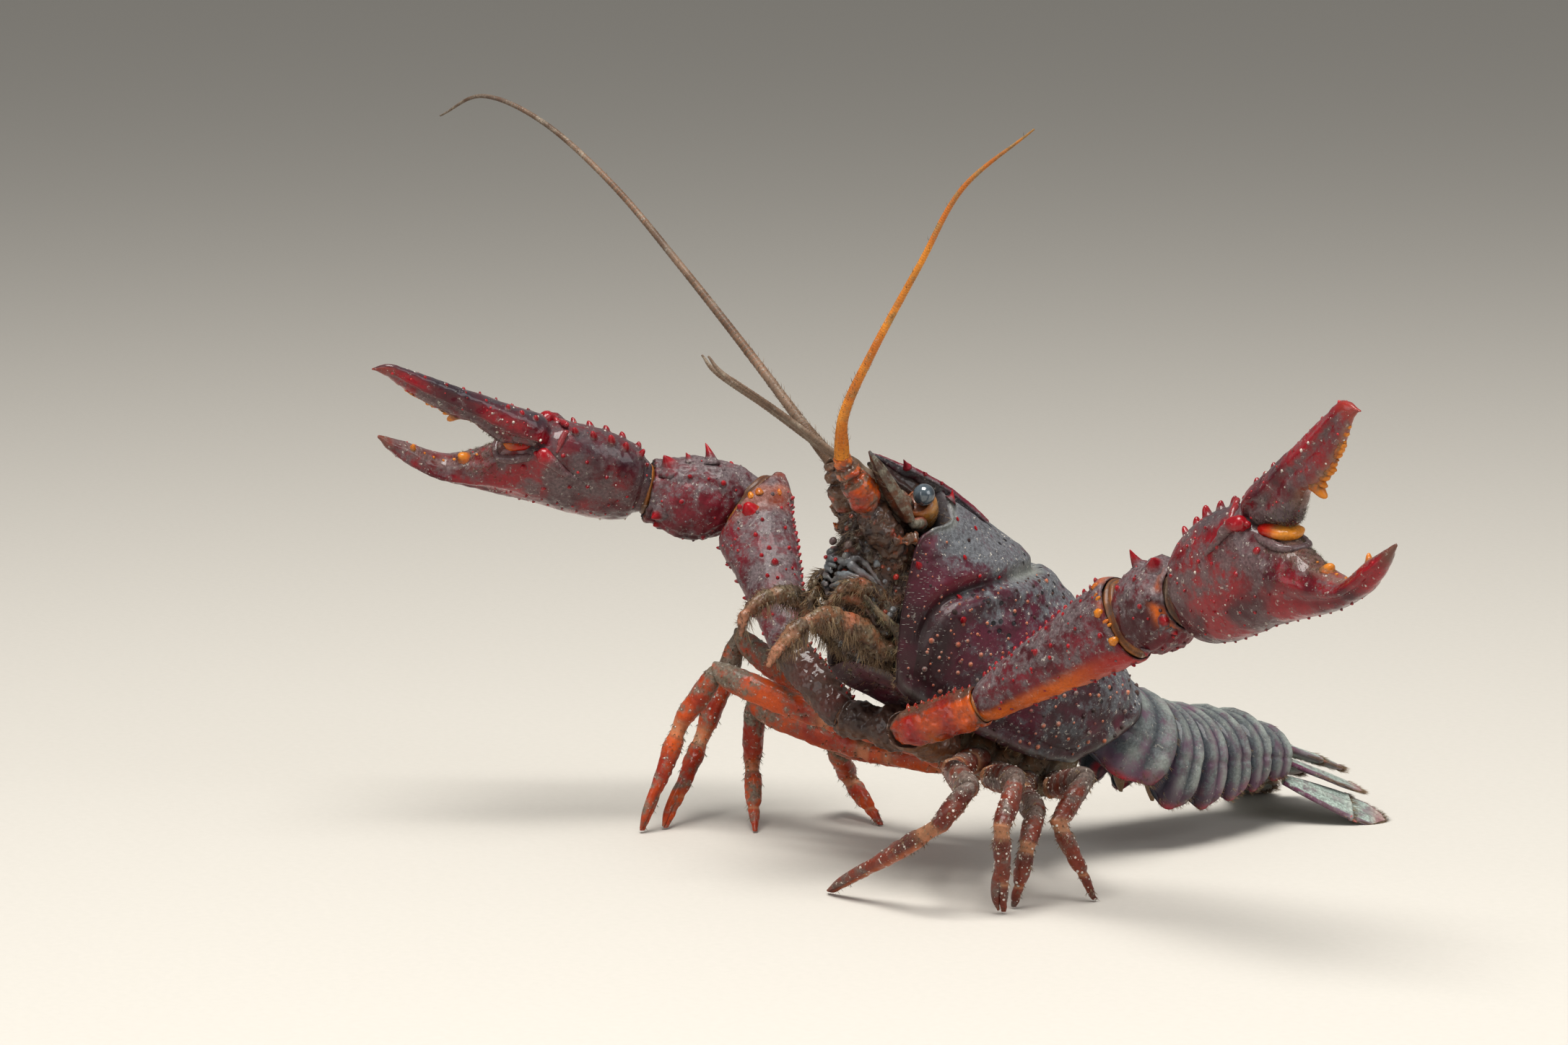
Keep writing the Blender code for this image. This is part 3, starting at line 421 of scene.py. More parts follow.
# %% One recipe for shell
def shell_finish(name, deep, bright, film, knob, pale, rough=0.3, coat=0.25, grit=0.5,
                 grit_colour=(0.6, 0.55, 0.48), clouds=480.0, dark=(0.02, 0.012, 0.012), pits=0.0,
                 relief=0.00013):
    """Finish of a dusty shell plate, from its pigment, film, knob and pale colours."""
    finish, tree, shader, place = new_finish(name)
    patches = noise(tree, place, 110.0, 3.0)
    cloud = noise(tree, place, clouds, 6.0, 0.68)
    grain = noise(tree, place, 2600.0, 3.0, 0.65)
    pigment = mixed(tree, ramp(tree, patches, 0.38, 0.62), rgb(deep), rgb(bright))
    pigment = mixed(tree, ramp(tree, grain, 0.35, 0.75, 0.0, 0.35), pigment, rgb([c * 0.35 for c in deep]))
    mud = attribute(tree, "mud")
    lie = sums(tree, "ADD", mud, sums(tree, "MULTIPLY_ADD", cloud, 3.0, -1.5))
    film_share = ramp(tree, lie, 0.15, 0.8, 0.0, 0.92)
    film_tone = mixed(tree, ramp(tree, grain, 0.3, 0.7), rgb([c * 0.55 for c in film]),
                      rgb([min(1, c * 1.35) for c in film]))
    colour = mixed(tree, film_share, pigment, film_tone)
    flecks = sums(tree, "MULTIPLY", ramp(tree, noise(tree, place, 1500.0, 3.0, 0.7), 0.6, 0.67),
                  ramp(tree, cloud, 0.4, 0.55))
    colour = mixed(tree, sums(tree, "MULTIPLY", flecks, grit), colour, rgb(grit_colour))
    colour = mixed(tree, attribute(tree, "pale"), colour,
                   mixed(tree, ramp(tree, grain, 0.3, 0.7), rgb([c * 0.7 for c in pale]), rgb(pale)))
    red = attribute(tree, "red")
    colour = mixed(tree, red, colour, mixed(tree, ramp(tree, cloud, 0.35, 0.65),
                                            rgb([c * 0.75 for c in knob]), rgb(knob)))
    if pits:
        hole = tree.nodes.new("ShaderNodeTexVoronoi")
        tree.links.new(place, hole.inputs["Vector"])
        hole.inputs["Scale"].default_value = 720.0
        some = ramp(tree, add(tree, "SeparateColor", {0: hole.outputs["Color"]}), 0.45, 0.5)
        holes = sums(tree, "MULTIPLY", ramp(tree, hole.outputs["Distance"], 0.18, 0.3, 1.0, 0.0), some)
        holes = sums(tree, "MULTIPLY", holes, ramp(tree, attribute(tree, "pit"), 0.3, 0.6))
        colour = mixed(tree, sums(tree, "MULTIPLY", holes, pits), colour, rgb((0.012, 0.01, 0.012)))
    colour = mixed(tree, attribute(tree, "dark"), colour, rgb(dark))
    tree.links.new(colour, shader.inputs["Base Color"])
    dull = ramp(tree, sums(tree, "SUBTRACT", film_share, red), 0.0, 0.8, rough, 0.62)
    tree.links.new(sums(tree, "MULTIPLY_ADD", grain, 0.12, dull), shader.inputs["Roughness"])
    shader.inputs["Specular IOR Level"].default_value = 0.14
    shader.inputs["Coat Weight"].default_value = coat * 0.5
    shader.inputs["Coat Roughness"].default_value = 0.1
    height = sums(tree, "MULTIPLY_ADD", grain, 0.2, sums(tree, "MULTIPLY_ADD", flecks, 0.5, cloud))
    if pits:
        height = sums(tree, "SUBTRACT", height, sums(tree, "MULTIPLY", holes, 2.0))
    bump = tree.nodes.new("ShaderNodeBump")
    bump.inputs["Strength"].default_value = 0.8
    bump.inputs["Distance"].default_value = relief
    tree.links.new(height, bump.inputs["Height"])
    tree.links.new(bump.outputs["Normal"], shader.inputs["Normal"])
    return finish


# %% [markdown]
# ## A finish for each kind of shell
# The claws are glossy and wine red, the back is nearly black under its dust, the legs are browner on the
# left and redder on the right, and the tail fan is pale. Each of them only needs its own colours.

# %% A finish for each kind of shell
carapace_finish = shell_finish("carapace_shell", (0.028, 0.008, 0.012), (0.09, 0.011, 0.026),
                               (0.1, 0.106, 0.115), (0.22, 0.008, 0.016), (0.26, 0.27, 0.23), rough=0.34,
                               coat=0.3, grit=0.65, pits=1.0)
claw_finish = shell_finish("claw_shell", (0.045, 0.002, 0.006), (0.22, 0.0015, 0.007),
                           (0.1, 0.062, 0.064), (0.28, 0.003, 0.008), (0.36, 0.17, 0.09), rough=0.16,
                           coat=0.9, clouds=420.0, dark=(0.018, 0.02, 0.026), relief=0.0002)
arm_finish = shell_finish("arm_shell", (0.045, 0.007, 0.01), (0.14, 0.01, 0.018), (0.115, 0.088, 0.092),
                          (0.34, 0.005, 0.01), (0.62, 0.12, 0.008), rough=0.28, coat=0.3, clouds=600.0,
                          relief=0.0002)
joint_finish = shell_finish("joint_shell", (0.2, 0.01, 0.002), (0.5, 0.075, 0.003), (0.07, 0.038, 0.022),
                            (0.24, 0.002, 0.003), (0.6, 0.19, 0.008), rough=0.12, coat=1.0, grit=0.15,
                            clouds=700.0, relief=0.00025)
speck_finish = shell_finish("lime_specks", (0.42, 0.37, 0.31), (0.58, 0.52, 0.45), (0.34, 0.3, 0.26),
                            (0.4, 0.004, 0.012), (0.62, 0.56, 0.5), rough=0.4, coat=0.3)
left_leg_finish = shell_finish("left_leg_shell", (0.07, 0.014, 0.01), (0.17, 0.03, 0.015),
                               (0.12, 0.092, 0.078), (0.55, 0.13, 0.03), (0.55, 0.25, 0.12), rough=0.28,
                               coat=0.35, grit=0.9)
right_leg_finish = shell_finish("right_leg_shell", (0.25, 0.02, 0.007), (0.5, 0.068, 0.009),
                                (0.12, 0.112, 0.085), (0.7, 0.12, 0.02), (0.55, 0.25, 0.12), rough=0.3,
                                coat=0.3)
tail_finish = shell_finish("tail_shell", (0.05, 0.016, 0.034), (0.11, 0.04, 0.08), (0.085, 0.098, 0.1),
                           (0.38, 0.006, 0.018), (0.24, 0.265, 0.24), rough=0.3, coat=0.4, grit=0.35,
                           dark=(0.011, 0.015, 0.023))
fan_finish = shell_finish("fan_shell", (0.1, 0.03, 0.06), (0.17, 0.15, 0.16), (0.27, 0.33, 0.29),
                          (0.5, 0.08, 0.07), (0.5, 0.5, 0.44), rough=0.36, coat=0.2, grit=0.3)
mouth_finish = shell_finish("mouth_shell", (0.03, 0.014, 0.009), (0.1, 0.038, 0.018),
                            (0.13, 0.115, 0.085), (0.36, 0.04, 0.012), (0.2, 0.25, 0.28), rough=0.3,
                            coat=0.7, grit=0.3, clouds=900.0, relief=0.00025)
palp_finish = shell_finish("palp_shell", (0.06, 0.024, 0.011), (0.17, 0.07, 0.032), (0.13, 0.098, 0.06),
                           (0.4, 0.08, 0.03), (0.45, 0.19, 0.11), rough=0.36, coat=0.4, clouds=800.0,
                           relief=0.00025)
belly_finish = shell_finish("belly_shell", (0.08, 0.035, 0.018), (0.2, 0.09, 0.04), (0.1, 0.08, 0.055),
                            (0.6, 0.12, 0.03), (0.5, 0.36, 0.22), rough=0.42, coat=0.2)
floor_finish, tree, shader, place = new_finish("floor_sheet")
grain = noise(tree, place, 900.0, 2.0, 0.5)
tree.links.new(mixed(tree, grain, rgb((0.5, 0.475, 0.43)), rgb((0.54, 0.51, 0.465))),
               shader.inputs["Base Color"])
shader.inputs["Roughness"].default_value = 0.7
floor_mesh.materials.append(floor_finish)
print(len(bpy.data.materials), "finishes so far")

# %% [markdown]
# ## Knobs and spines
# Tubercles are small cones of shell, blunt on the back and sharp on the arms, with a wide foot that
# runs into the plate. Pushing the plate's own points up would draw its faces long, so one small cone
# is spun up from rings and planted many times, leaning the way the real ones lean. The copies are
# joined into one mesh, because a spine repeated hundreds of times should stay small.

# %% Knobs and spines
SPINE_SIDES = 8
RAY_START = 30.0            # how far outside a skin the rays start
TUFT_SPOT = 0.0015          # size of one copy's place on the skin's own map


def face_rank(face):
    """One number for a face, from its three lowest points."""
    low, middle, high = sorted(vert.index for vert in face.verts)[:3]
    return (low * 1000 + middle) * 1000 + high


def form_mesh(form, name):
    """The mesh of a finished form. An extrude leaves its faces in any order, so they are sorted."""
    bmesh.ops.recalc_face_normals(form, faces=form.faces)
    form.verts.index_update()
    form.faces.sort(key=face_rank)
    mesh = bpy.data.meshes.new(name)
    form.to_mesh(mesh)
    form.free()
    return mesh


def spine_form(name, profile, sides=SPINE_SIDES):
    """A small cone, one unit high: profile gives the radius at each height from foot to tip."""
    form = bmesh.new()
    ring = bmesh.ops.create_circle(form, cap_ends=True, segments=sides, radius=profile[0][0])["verts"]
    bmesh.ops.translate(form, vec=(0, 0, profile[0][1]), verts=ring)
    edges = list(dict.fromkeys(edge for vert in ring for edge in vert.link_edges))
    radius, height = profile[0]
    for wide, high in profile[1:]:
        grown = bmesh.ops.extrude_edge_only(form, edges=edges)["geom"]
        ring = [item for item in grown if isinstance(item, bmesh.types.BMVert)]
        edges = [item for item in grown if isinstance(item, bmesh.types.BMEdge)]
        bmesh.ops.scale(form, vec=(wide / radius, wide / radius, 1), verts=ring)
        bmesh.ops.translate(form, vec=(0, 0, high - height), verts=ring)
        radius, height = wide, high
    bmesh.ops.contextual_create(form, geom=edges)
    return form_mesh(form, name)


KNOB = spine_form("knob", ((1.5, -0.3), (1.3, 0.0), (0.98, 0.22), (0.82, 0.5), (0.62, 0.78),
                           (0.34, 0.95), (0.08, 1.0)))
SPIKE = spine_form("spike", ((1.6, -0.2), (1.3, 0.0), (0.92, 0.14), (0.7, 0.35), (0.42, 0.65),
                             (0.2, 0.88), (0.05, 1.0)))
BEAD = spine_form("bead", ((1.3, -0.4), (1.15, 0.05), (0.9, 0.45), (0.55, 0.85), (0.12, 1.0)), 7)
print("knob, spike and bead have", [len(form.polygons) for form in (KNOB, SPIKE, BEAD)], "faces")

# %% [markdown]
# ## Planting many copies
# Geometry nodes could scatter the cones, but they would not leave this file as plain meshes. So the
# copies' points are worked out as one array. strewn picks random places on a skin, no two too close,
# and landed finds where rays from the inside meet it, for cones that have to stand in rows.

# %% Planting many copies
def basis(ways, lean):
    """Two directions square to each way, the first one turned towards lean."""
    side = lean - ways * (lean * ways).sum(-1, keepdims=True)
    side = unit(side + 1e-6 * np.roll(ways, 1, axis=-1))
    return side, np.cross(ways, side)


def grow(name, seedling, places, ways, radii, heights, lean=AHEAD, tilt=0.0, unwrap=None, seed=1):
    """Plant a copy of a small mesh at every place and join them, as arrays.

    tilt bends each copy towards lean. unwrap gives each copy its place on the skin's own map.
    """
    shape = read(seedling)
    ways = unit(ways)
    lean = np.broadcast_to(np.asarray(lean, float), ways.shape)
    side, other = basis(ways, lean)
    radii, heights = (np.broadcast_to(np.asarray(values, float), len(places))
                      for values in (radii, heights))
    x, y, z = shape.T
    bend = tilt * np.clip(z, 0, None) ** 1.5
    points = (places[:, None] + x[None, :, None] * (side * radii[:, None])[:, None]
              + y[None, :, None] * (other * radii[:, None])[:, None]
              + z[None, :, None] * (ways * heights[:, None])[:, None]
              + bend[None, :, None] * (side * heights[:, None])[:, None])
    faces = [list(polygon.vertices) for polygon in seedling.polygons]
    count = len(shape)
    mesh = bpy.data.meshes.new(name)
    mesh.from_pydata(points.reshape(-1, 3), [], [[i + count * k for i in face]
                                                 for k in range(len(places)) for face in faces])
    mesh.update()
    tone = np.random.default_rng(seed).random(len(places))
    paint(mesh, tip=np.tile(np.clip(z, 0, 1), len(places)), tone=np.repeat(tone, count))
    if unwrap is not None:
        layer = mesh.uv_layers.new(name="OFBake")
        spread = np.stack((x, y), -1) / max(abs(x).max(), abs(y).max()) * TUFT_SPOT
        corners = np.empty(len(mesh.loops), np.int32)
        mesh.loops.foreach_get("vertex_index", corners)
        flat = (unwrap[:, None] + spread[None]).reshape(-1, 2)
        layer.data.foreach_set("uv", flat[corners].astype(np.float32).ravel())
    return mesh


def strewn(mesh, count, spacing, where, seed, tries=12):
    """Random places on a skin, at least spacing apart: places, facings and their round and along.

    where takes the faces' centres and facings and says how likely each is, from 0 to 1.
    """
    chance = np.random.default_rng(seed)
    total = len(mesh.polygons)
    areas, centres, ways = (np.empty(total, np.float32), np.empty(total * 3, np.float32),
                            np.empty(total * 3, np.float32))
    mesh.polygons.foreach_get("area", areas)
    mesh.polygons.foreach_get("center", centres)
    mesh.polygons.foreach_get("normal", ways)
    centres, ways = centres.reshape(-1, 3).astype(float), ways.reshape(-1, 3).astype(float)
    first = np.array([polygon.vertices[0] for polygon in mesh.polygons])
    maps = np.stack((mask(mesh, "round"), mask(mesh, "along")), -1)[first]
    weight = areas * np.clip(where(centres, ways, maps), 0, None)
    if weight.sum() <= 0:
        return np.zeros((0, 3)), np.zeros((0, 3)), np.zeros((0, 2))
    order = chance.choice(total, size=min(count * tries, int((weight > 0).sum())), replace=False,
                          p=weight / weight.sum())
    kept = []
    for i in order:
        if len(kept) == count:
            break
        if spacing and kept and np.min(((centres[kept] - centres[i]) ** 2).sum(1)) < spacing ** 2:
            continue
        kept.append(i)
    return centres[kept], ways[kept], maps[kept]


def landed(mesh, insides, outs):
    """Where rays from inside points meet a skin: places and facings."""
    form = bmesh.new()
    form.from_mesh(mesh)
    tree = BVHTree.FromBMesh(form)
    places, ways = [], []
    for inside, out in zip(insides, unit(outs)):
        place, way, _, _ = tree.ray_cast(Vector(inside + out * RAY_START), Vector(-out))
        if place is None:
            place, way, _, _ = tree.find_nearest(Vector(inside))
        places.append(place)
        ways.append(way)
    form.free()
    return np.array(places), np.array(ways)


print("a knob has", len(KNOB.polygons), "faces and a spike", len(SPIKE.polygons))

# %% [markdown]
# ## The carapace
# One shield covers head and thorax. Its back is an arch, its sides come down to a free margin over
# the gills, and the cervical groove runs over the back and curls forward under the cheek. The shield
# is rolled from rings that lean with the groove, so that the groove, the front rim and the rear rim
# each follow a row of the grid. The groove is then pressed in, the plate behind it is swollen into a
# lip, and a ridge is raised behind each eye.

# %% The carapace
TOP_LINE = ((-5, -1.6), (0, -0.3), (6, 1.6), (12, 2.9), (19, 3.8), (23, 3.6), (28, 3.8), (34, 3.3),
            (40, 2.6), (46, 1.4))
MARGIN_LINE = ((-5, -12.0), (0, -13.4), (4.5, -15.6), (10, -18.6), (17.6, -20.9), (26, -22.8),
               (33.5, -23.8), (40, -19.5), (46, -11.0))
HALF_WIDTH = ((-5, 8.6), (0, 9.8), (6, 11.6), (13, 12.3), (20, 12.2), (28, 11.6), (35, 10.4), (40, 8.9),
              (46, 7.6))
REAR_RIM = ((0, 0.6), (0.3, -0.4), (0.6, 0.2), (0.85, 2.6), (1, 4.8))
NECK_GROOVE = ((0, 22.6), (0.2, 24.6), (0.4, 29.0), (0.6, 34.6), (0.8, 36.6), (1, 31.5))
FRONT_RIM = ((0, 42.5), (0.2, 42.0), (0.38, 40.8), (0.55, 43.0), (0.72, 43.6), (0.88, 39.6), (1, 34.4))
SIDE_SHARE = 0.88           # share of half a ring that is side, and not belly
LAST_TURN = 132.0           # degrees from the top of the arch round to the margin
REAR_FLOOR = 6.0
SHIELD_GRID = (280, 220)
STAGE_ENDS = (0.05, 0.96)   # share of the grid at which the rear and the front rim lie


def shell_stage(share):
    """Stage along the shield for a share of the grid: 0 rear rim, 1 groove, 2 front rim."""
    return np.interp(share, STAGE_ENDS, (0, 2))


def shell_sides(maps):
    """Girth and stage of places given by their round and along."""
    return np.minimum(np.abs(2 * maps[:, 0] - 1) / SIDE_SHARE, 1), shell_stage(maps[:, 1])


def shell_point(ahead, girth):
    """Half width and height of the shield for a girth from 0 on the back to 1 at the margin."""
    half, top, margin = (along(ahead, line) for line in (HALF_WIDTH, TOP_LINE, MARGIN_LINE))
    middle = top - 0.52 * (top - margin)
    turn = np.radians(girth * LAST_TURN)
    drop = (middle - margin) / -math.cos(math.radians(LAST_TURN))
    high = np.where(np.cos(turn) >= 0, top - middle, drop)
    return half * np.clip(np.sin(turn), 0, 1) ** 0.92, middle + high * np.cos(turn)


def shell_rings(columns, rows):
    """Rings of the shield from rear to front, with the floor of each end drawn in."""
    signed = 2 * np.arange(columns) / columns - 1
    reach = np.abs(signed) / SIDE_SHARE
    girth = np.minimum(reach, 1)
    under = np.clip((reach - 1) / (1 / SIDE_SHARE - 1), 0, 1)
    rear, groove, front = (along(girth, rim) for rim in (REAR_RIM, NECK_GROOVE, FRONT_RIM))
    rings = []
    for v in np.linspace(0, 1, rows + 1):
        stage = shell_stage(v)
        scale = np.interp(v, (0, 0.03, 0.045, 0.05, 0.96, 0.967, 0.98, 1),
                          (0, 0.8, 0.95, 1, 1, 0.965, 0.8, 0))
        ahead = rear + (groove - rear) * stage if stage < 1 else groove + (front - groove) * (stage - 1)
        half, up = shell_point(ahead, girth)
        half = half * (1 - under ** 1.5)
        up = up + 1.7 * step_up(under, 0, 0.6)
        if scale < 1:
            middle = -8.0 if stage < 1 else -10.8
            half, up = half * scale, middle + (up - middle) * scale
            floor_place = REAR_FLOOR if stage < 1 else FACE_LOW[0] + (up - FACE_LOW[1]) * FACE_SLANT
            sunk = step_up(1 - scale, 0, 0.1)
            ahead = ahead + (floor_place - ahead) * sunk
        rings.append(thorax(np.sign(signed) * half, ahead, up))
    return np.array(rings)


def shell_places(mesh):
    """How far ahead each point of the shield lies, its girth, its stage and where the groove lies."""
    girth, stage = shell_sides(np.stack((mask(mesh, "round"), mask(mesh, "along")), -1))
    rear, groove, front = (along(girth, rim) for rim in (REAR_RIM, NECK_GROOVE, FRONT_RIM))
    ahead = np.where(stage < 1, rear + (groove - rear) * stage, groove + (front - groove) * (stage - 1))
    return ahead, girth, stage, groove


print("the shield is", 2 * max(half for _, half in HALF_WIDTH), "mm wide at its widest")

# %% [markdown]
# ## Grooves and colours of the shield
# The swelling is a sum of soft humps, each written in the shield's own terms: how far ahead a point
# lies, its girth, and how far it is past the groove. Sculpting would give the same forms by hand, but
# these stay where they are when the sizes change. The same terms place dust, pale lime and pits.

# %% Grooves and colours of the shield
shield = skin("carapace_shield", shell_rings(*SHIELD_GRID))
ahead, girth, stage, groove = shell_places(shield)
outer = step_up(mask(shield, "along"), 0.045, 0.06) * step_up(1 - mask(shield, "along"), 0.035, 0.045)
past_groove = (ahead - groove) * (0.9 - 0.35 * bell(girth, 0.4, 0.25))
neck = bell(past_groove, 0.0, 0.75) * (1 - step_up(girth, 0.78, 0.9))
places = read(shield)
height = -1.05 * neck + 0.42 * bell(past_groove, -1.9, 1.2) * (1 - step_up(girth, 0.8, 0.95))
height += 0.55 * bell(past_groove, 1.5, 0.9) * bell(girth, 0.58, 0.14)
height += 0.25 * bell(past_groove, 2.6, 1.6) * bell(girth, 0.45, 0.3)
height += 0.5 * bell(girth, 0.235, 0.028) * step_up(ahead, 33.5, 36.5) * (1 - step_up(ahead, 41.0, 42.0))
height -= 0.25 * bell(girth, 0.17, 0.03) * step_up(ahead, 34, 37) * (1 - step_up(ahead, 41, 42.5))
height -= 0.22 * bell(girth, 0.0, 0.02) * (1 - step_up(ahead, 20, 22.5))
height += 0.35 * bell(stage, 0.035, 0.02) - 0.2 * bell(stage, 0.09, 0.022)
height += 0.3 * bell(girth, 0.975, 0.012) * (1 - step_up(stage, 1.7, 2.0)) - 0.22 * bell(girth, 0.93, 0.015)
height += 0.25 * bell(stage, 1.975, 0.02)
height += clouds(places, 3.5, 3) * 0.4 + specks(places, 0.9, 5) * 0.16
swell(shield, height * outer * np.where(girth > 0.995, 0.3, 1))
dust = (0.5 * (1 - step_up(girth, 0.3, 0.75)) + 0.3 + 0.25 * (1 - step_up(ahead, 8, 20))
        * (1 - step_up(girth, 0.2, 0.5)))
dust += (0.3 * bell(girth, 0.42, 0.16) * bell(ahead, 37.5, 5) - 0.3 * step_up(girth, 0.6, 0.8)
         * step_up(ahead, 24, 32))
dust -= (0.5 * bell(past_groove, 1.1, 1.1) * step_up(girth, 0.4, 0.55)
         + 0.3 * bell(girth, 0.5, 0.14) * bell(ahead, 24, 6))
dust -= 0.4 * bell(girth, 0.66, 0.1) * step_up(stage, 1.3, 1.7)
pale = (0.7 * neck * (1 - step_up(girth, 0.3, 0.48)) + 0.5 * bell(stage, 0.03, 0.02)
        * step_up(girth, 0.5, 0.8) + 0.4 * bell(girth, 0.975, 0.012))
pale += 0.55 * bell(stage, 1.96, 0.05) * bell(girth, 0.36, 0.2)
# dark paints shade on the shield's drawn-in ends and a painted shadow in the groove low on the side; it also
# makes the lower front and the lower rear of the side darker
paint(shield, mud=dust, pale=pale * (0.45 + 0.75 * mottle(places, 1.3, 8)) * outer,
      dark=0.75 * (1 - outer) + 0.8 * step_up(girth, 0.55, 0.82) * step_up(ahead, 28, 35)
      * (0.6 + 0.4 * mottle(places, 2.0, 15)) + 0.8 * bell(past_groove, 0.15, 0.4)
      * bell(girth, 0.6, 0.16) + 0.25 * step_up(girth, 0.6, 0.9) * (stage < 1),
      pit=(1 - 0.8 * step_up(girth, 0.6, 0.75)) * (1 - neck) * outer * (stage < 1.75)
      * (1 - 0.75 * (stage > 1) * (girth > 0.3)), red=0.5 * bell(past_groove, 1.1, 0.6)
      * step_up(girth, 0.46, 0.58) * (1 - step_up(girth, 0.72, 0.8))
      * (0.3 + 0.7 * mottle(places, 1.6, 12)))


# %% [markdown]
# ## Tubercles and spines of the shield
# Small tubercles cover the gill covers and fade out towards the back, and finer ones stand on the
# cheek. The few larger spines of the head have places of their own, the same on both sides.

# %% Tubercles and spines of the shield
def granules(centres, ways, maps):
    """Where the shield bears small tubercles: the gill covers and the cheeks."""
    side, way = shell_sides(maps)
    open_side = (way > 0.02) & (way < 1.97) & (side < 0.955)
    gill = step_up(side, 0.16, 0.4) * (way < 0.95)
    cheek = 0.05 * step_up(side, 0.25, 0.45) * (way > 1.06) * (side < 0.62)
    return open_side * (gill + cheek)


def chin_granules(centres, ways, maps):
    """The finer ones, low down at the front and along the rear edge of the groove."""
    side, way = shell_sides(maps)
    chin = step_up(side, 0.6, 0.72) * (side < 0.95) * (way > 0.78) * (way < 1.95)
    return chin + 2.5 * bell(way, 0.94, 0.02) * step_up(side, 0.2, 0.35) * (side < 0.75)


spots, ways, maps = strewn(shield, 300, 1.35, granules, 21)
fine, fine_ways, fine_maps = strewn(shield, 120, 0.9, chin_granules, 22)
chance = np.random.default_rng(5)
sizes = np.concatenate((0.17 + 0.2 * chance.random(len(spots)) ** 1.6, chance.uniform(0.1, 0.2, len(fine))))
spots, ways, maps = (np.concatenate(pair) for pair in ((spots, fine), (ways, fine_ways), (maps, fine_maps)))
beads = grow("carapace_granules", BEAD, spots, ways, sizes, sizes * 1.25, tilt=0.35)
tip, tone = mask(beads, "tip"), mask(beads, "tone")
high_up = 1 - step_up(np.abs(2 * np.repeat(maps[:, 0], len(BEAD.vertices)) - 1) / SIDE_SHARE, 0.36, 0.62)
paint(beads, red=step_up(tip, 0.0, 0.6) * (0.35 + 0.4 * tone) * (tone > 0.3), mud=0.75 - 0.3 * tip,
      pale=(tone > 0.75) * 0.45 * step_up(tip, 0.2, 0.7), dark=0.9 * (tone < 0.15 + 0.75 * high_up))
granule_finish = shell_finish("granules", (0.1, 0.016, 0.016), (0.17, 0.03, 0.024), (0.18, 0.15, 0.135),
                              (0.5, 0.13, 0.06), (0.6, 0.32, 0.2), rough=0.35, coat=0.2)
HEAD_SPINES = ((SPIKE, 41.2, 0.24, 0.6, 0.9), (SPIKE, 41.8, 0.73, 0.5, 0.9), (KNOB, 36.5, 0.3, 0.3, 0.36),
               (SPIKE, 33.0, 0.7, 0.55, 0.9), (KNOB, 34.2, 0.52, 0.32, 0.4), (KNOB, 30.8, 0.44, 0.28, 0.34),
               (KNOB, 37.0, 0.5, 0.34, 0.4), (KNOB, 39.6, 0.34, 0.28, 0.34), (KNOB, 34.6, 0.64, 0.34, 0.42))


def shield_spines():
    """The few larger spines of the head, on both sides."""
    made = []
    for number, (form, place, turn, radius, high) in enumerate(HEAD_SPINES):
        half, up = shell_point(place, turn)
        inside = np.array([thorax(0, place, -9.0)] * 2)
        spots, ways = landed(shield, inside,
                             np.array([thorax(sign * half, place, up) for sign in (1, -1)]) - inside)
        made.append(grow(f"carapace_spine_{number}", form, spots - ways * 0.1, ways, radius, high + 0.1,
                         tilt=0.9))
    return made


for spine in shield_spines():
    paint(spine, red=step_up(mask(spine, "tip"), 0.05, 0.6), mud=0.3)
    piece(spine, arm_finish, "carapace")
piece(shield, carapace_finish, "carapace", "carapace")
piece(beads, granule_finish, "carapace")

# %% [markdown]
# ## Rings for limbs
# A limb's segment is a tube that swells and narrows between two joints. It could be sculpted, but a
# few half widths along its length give it exactly, and each ring is slanted over near a joint so that
# two segments meet along one plane. At its far end a real segment is a cup that the next one turns
# in, so the last rings are drawn back into the tube.

# %% Rings for limbs
JOINT_GAP = 0.15            # how far each segment stops short of a joint


def oval(centre, wide, deep, columns, square=1.0):
    """Ring round a centre; square under one fills out its corners."""
    turns = 2 * np.pi * np.arange(columns) / columns
    c, s = np.cos(turns), np.sin(turns)
    c, s = np.sign(c) * np.abs(c) ** square, np.sign(s) * np.abs(s) ** square
    return centre + np.multiply.outer(c, wide) + np.multiply.outer(s, deep)


def mitres(joints, first=None, last=None):
    """Normal of the plane that each joint is cut along."""
    ways = [unit(b - a) for a, b in zip(joints, joints[1:])]
    inner = [unit(a + b) for a, b in zip(ways, ways[1:])]
    return [ways[0] if first is None else first] + inner + [ways[-1] if last is None else last]


def limb_rings(joints, cuts, shapes, side, columns, rows, square=1.0):
    """Rings over the stretches between joints: each shape has (fraction, half width, half depth)."""
    rings = []
    for i, shape in enumerate(shapes):
        start, end = joints[i], joints[i + 1]
        way = unit(end - start)
        start = start + way * (JOINT_GAP / way.dot(cuts[i]) if i == 0 else 0)
        end = end - way * (JOINT_GAP / way.dot(cuts[i + 1]) if i == len(shapes) - 1 else 0)
        broad = unit(side - way * side.dot(way))
        deep_way = np.cross(way, broad)
        wide_table, deep_table = column(shape, 1), column(shape, 2)
        first, last = shape[0][0], shape[-1][0]
        for fraction in np.linspace(first, last, rows[i] + 1):
            centre = start + (end - start) * fraction
            ring = oval(centre, broad * along(fraction, wide_table),
                        deep_way * along(fraction, deep_table), columns, square)
            out = ring - centre
            slant = (1 - fraction) ** 2 * (out @ cuts[i]) / way.dot(cuts[i])
            slant += fraction ** 2 * (out @ cuts[i + 1]) / way.dot(cuts[i + 1])
            rings.append(ring - np.multiply.outer(slant, way))
    return np.array(rings)


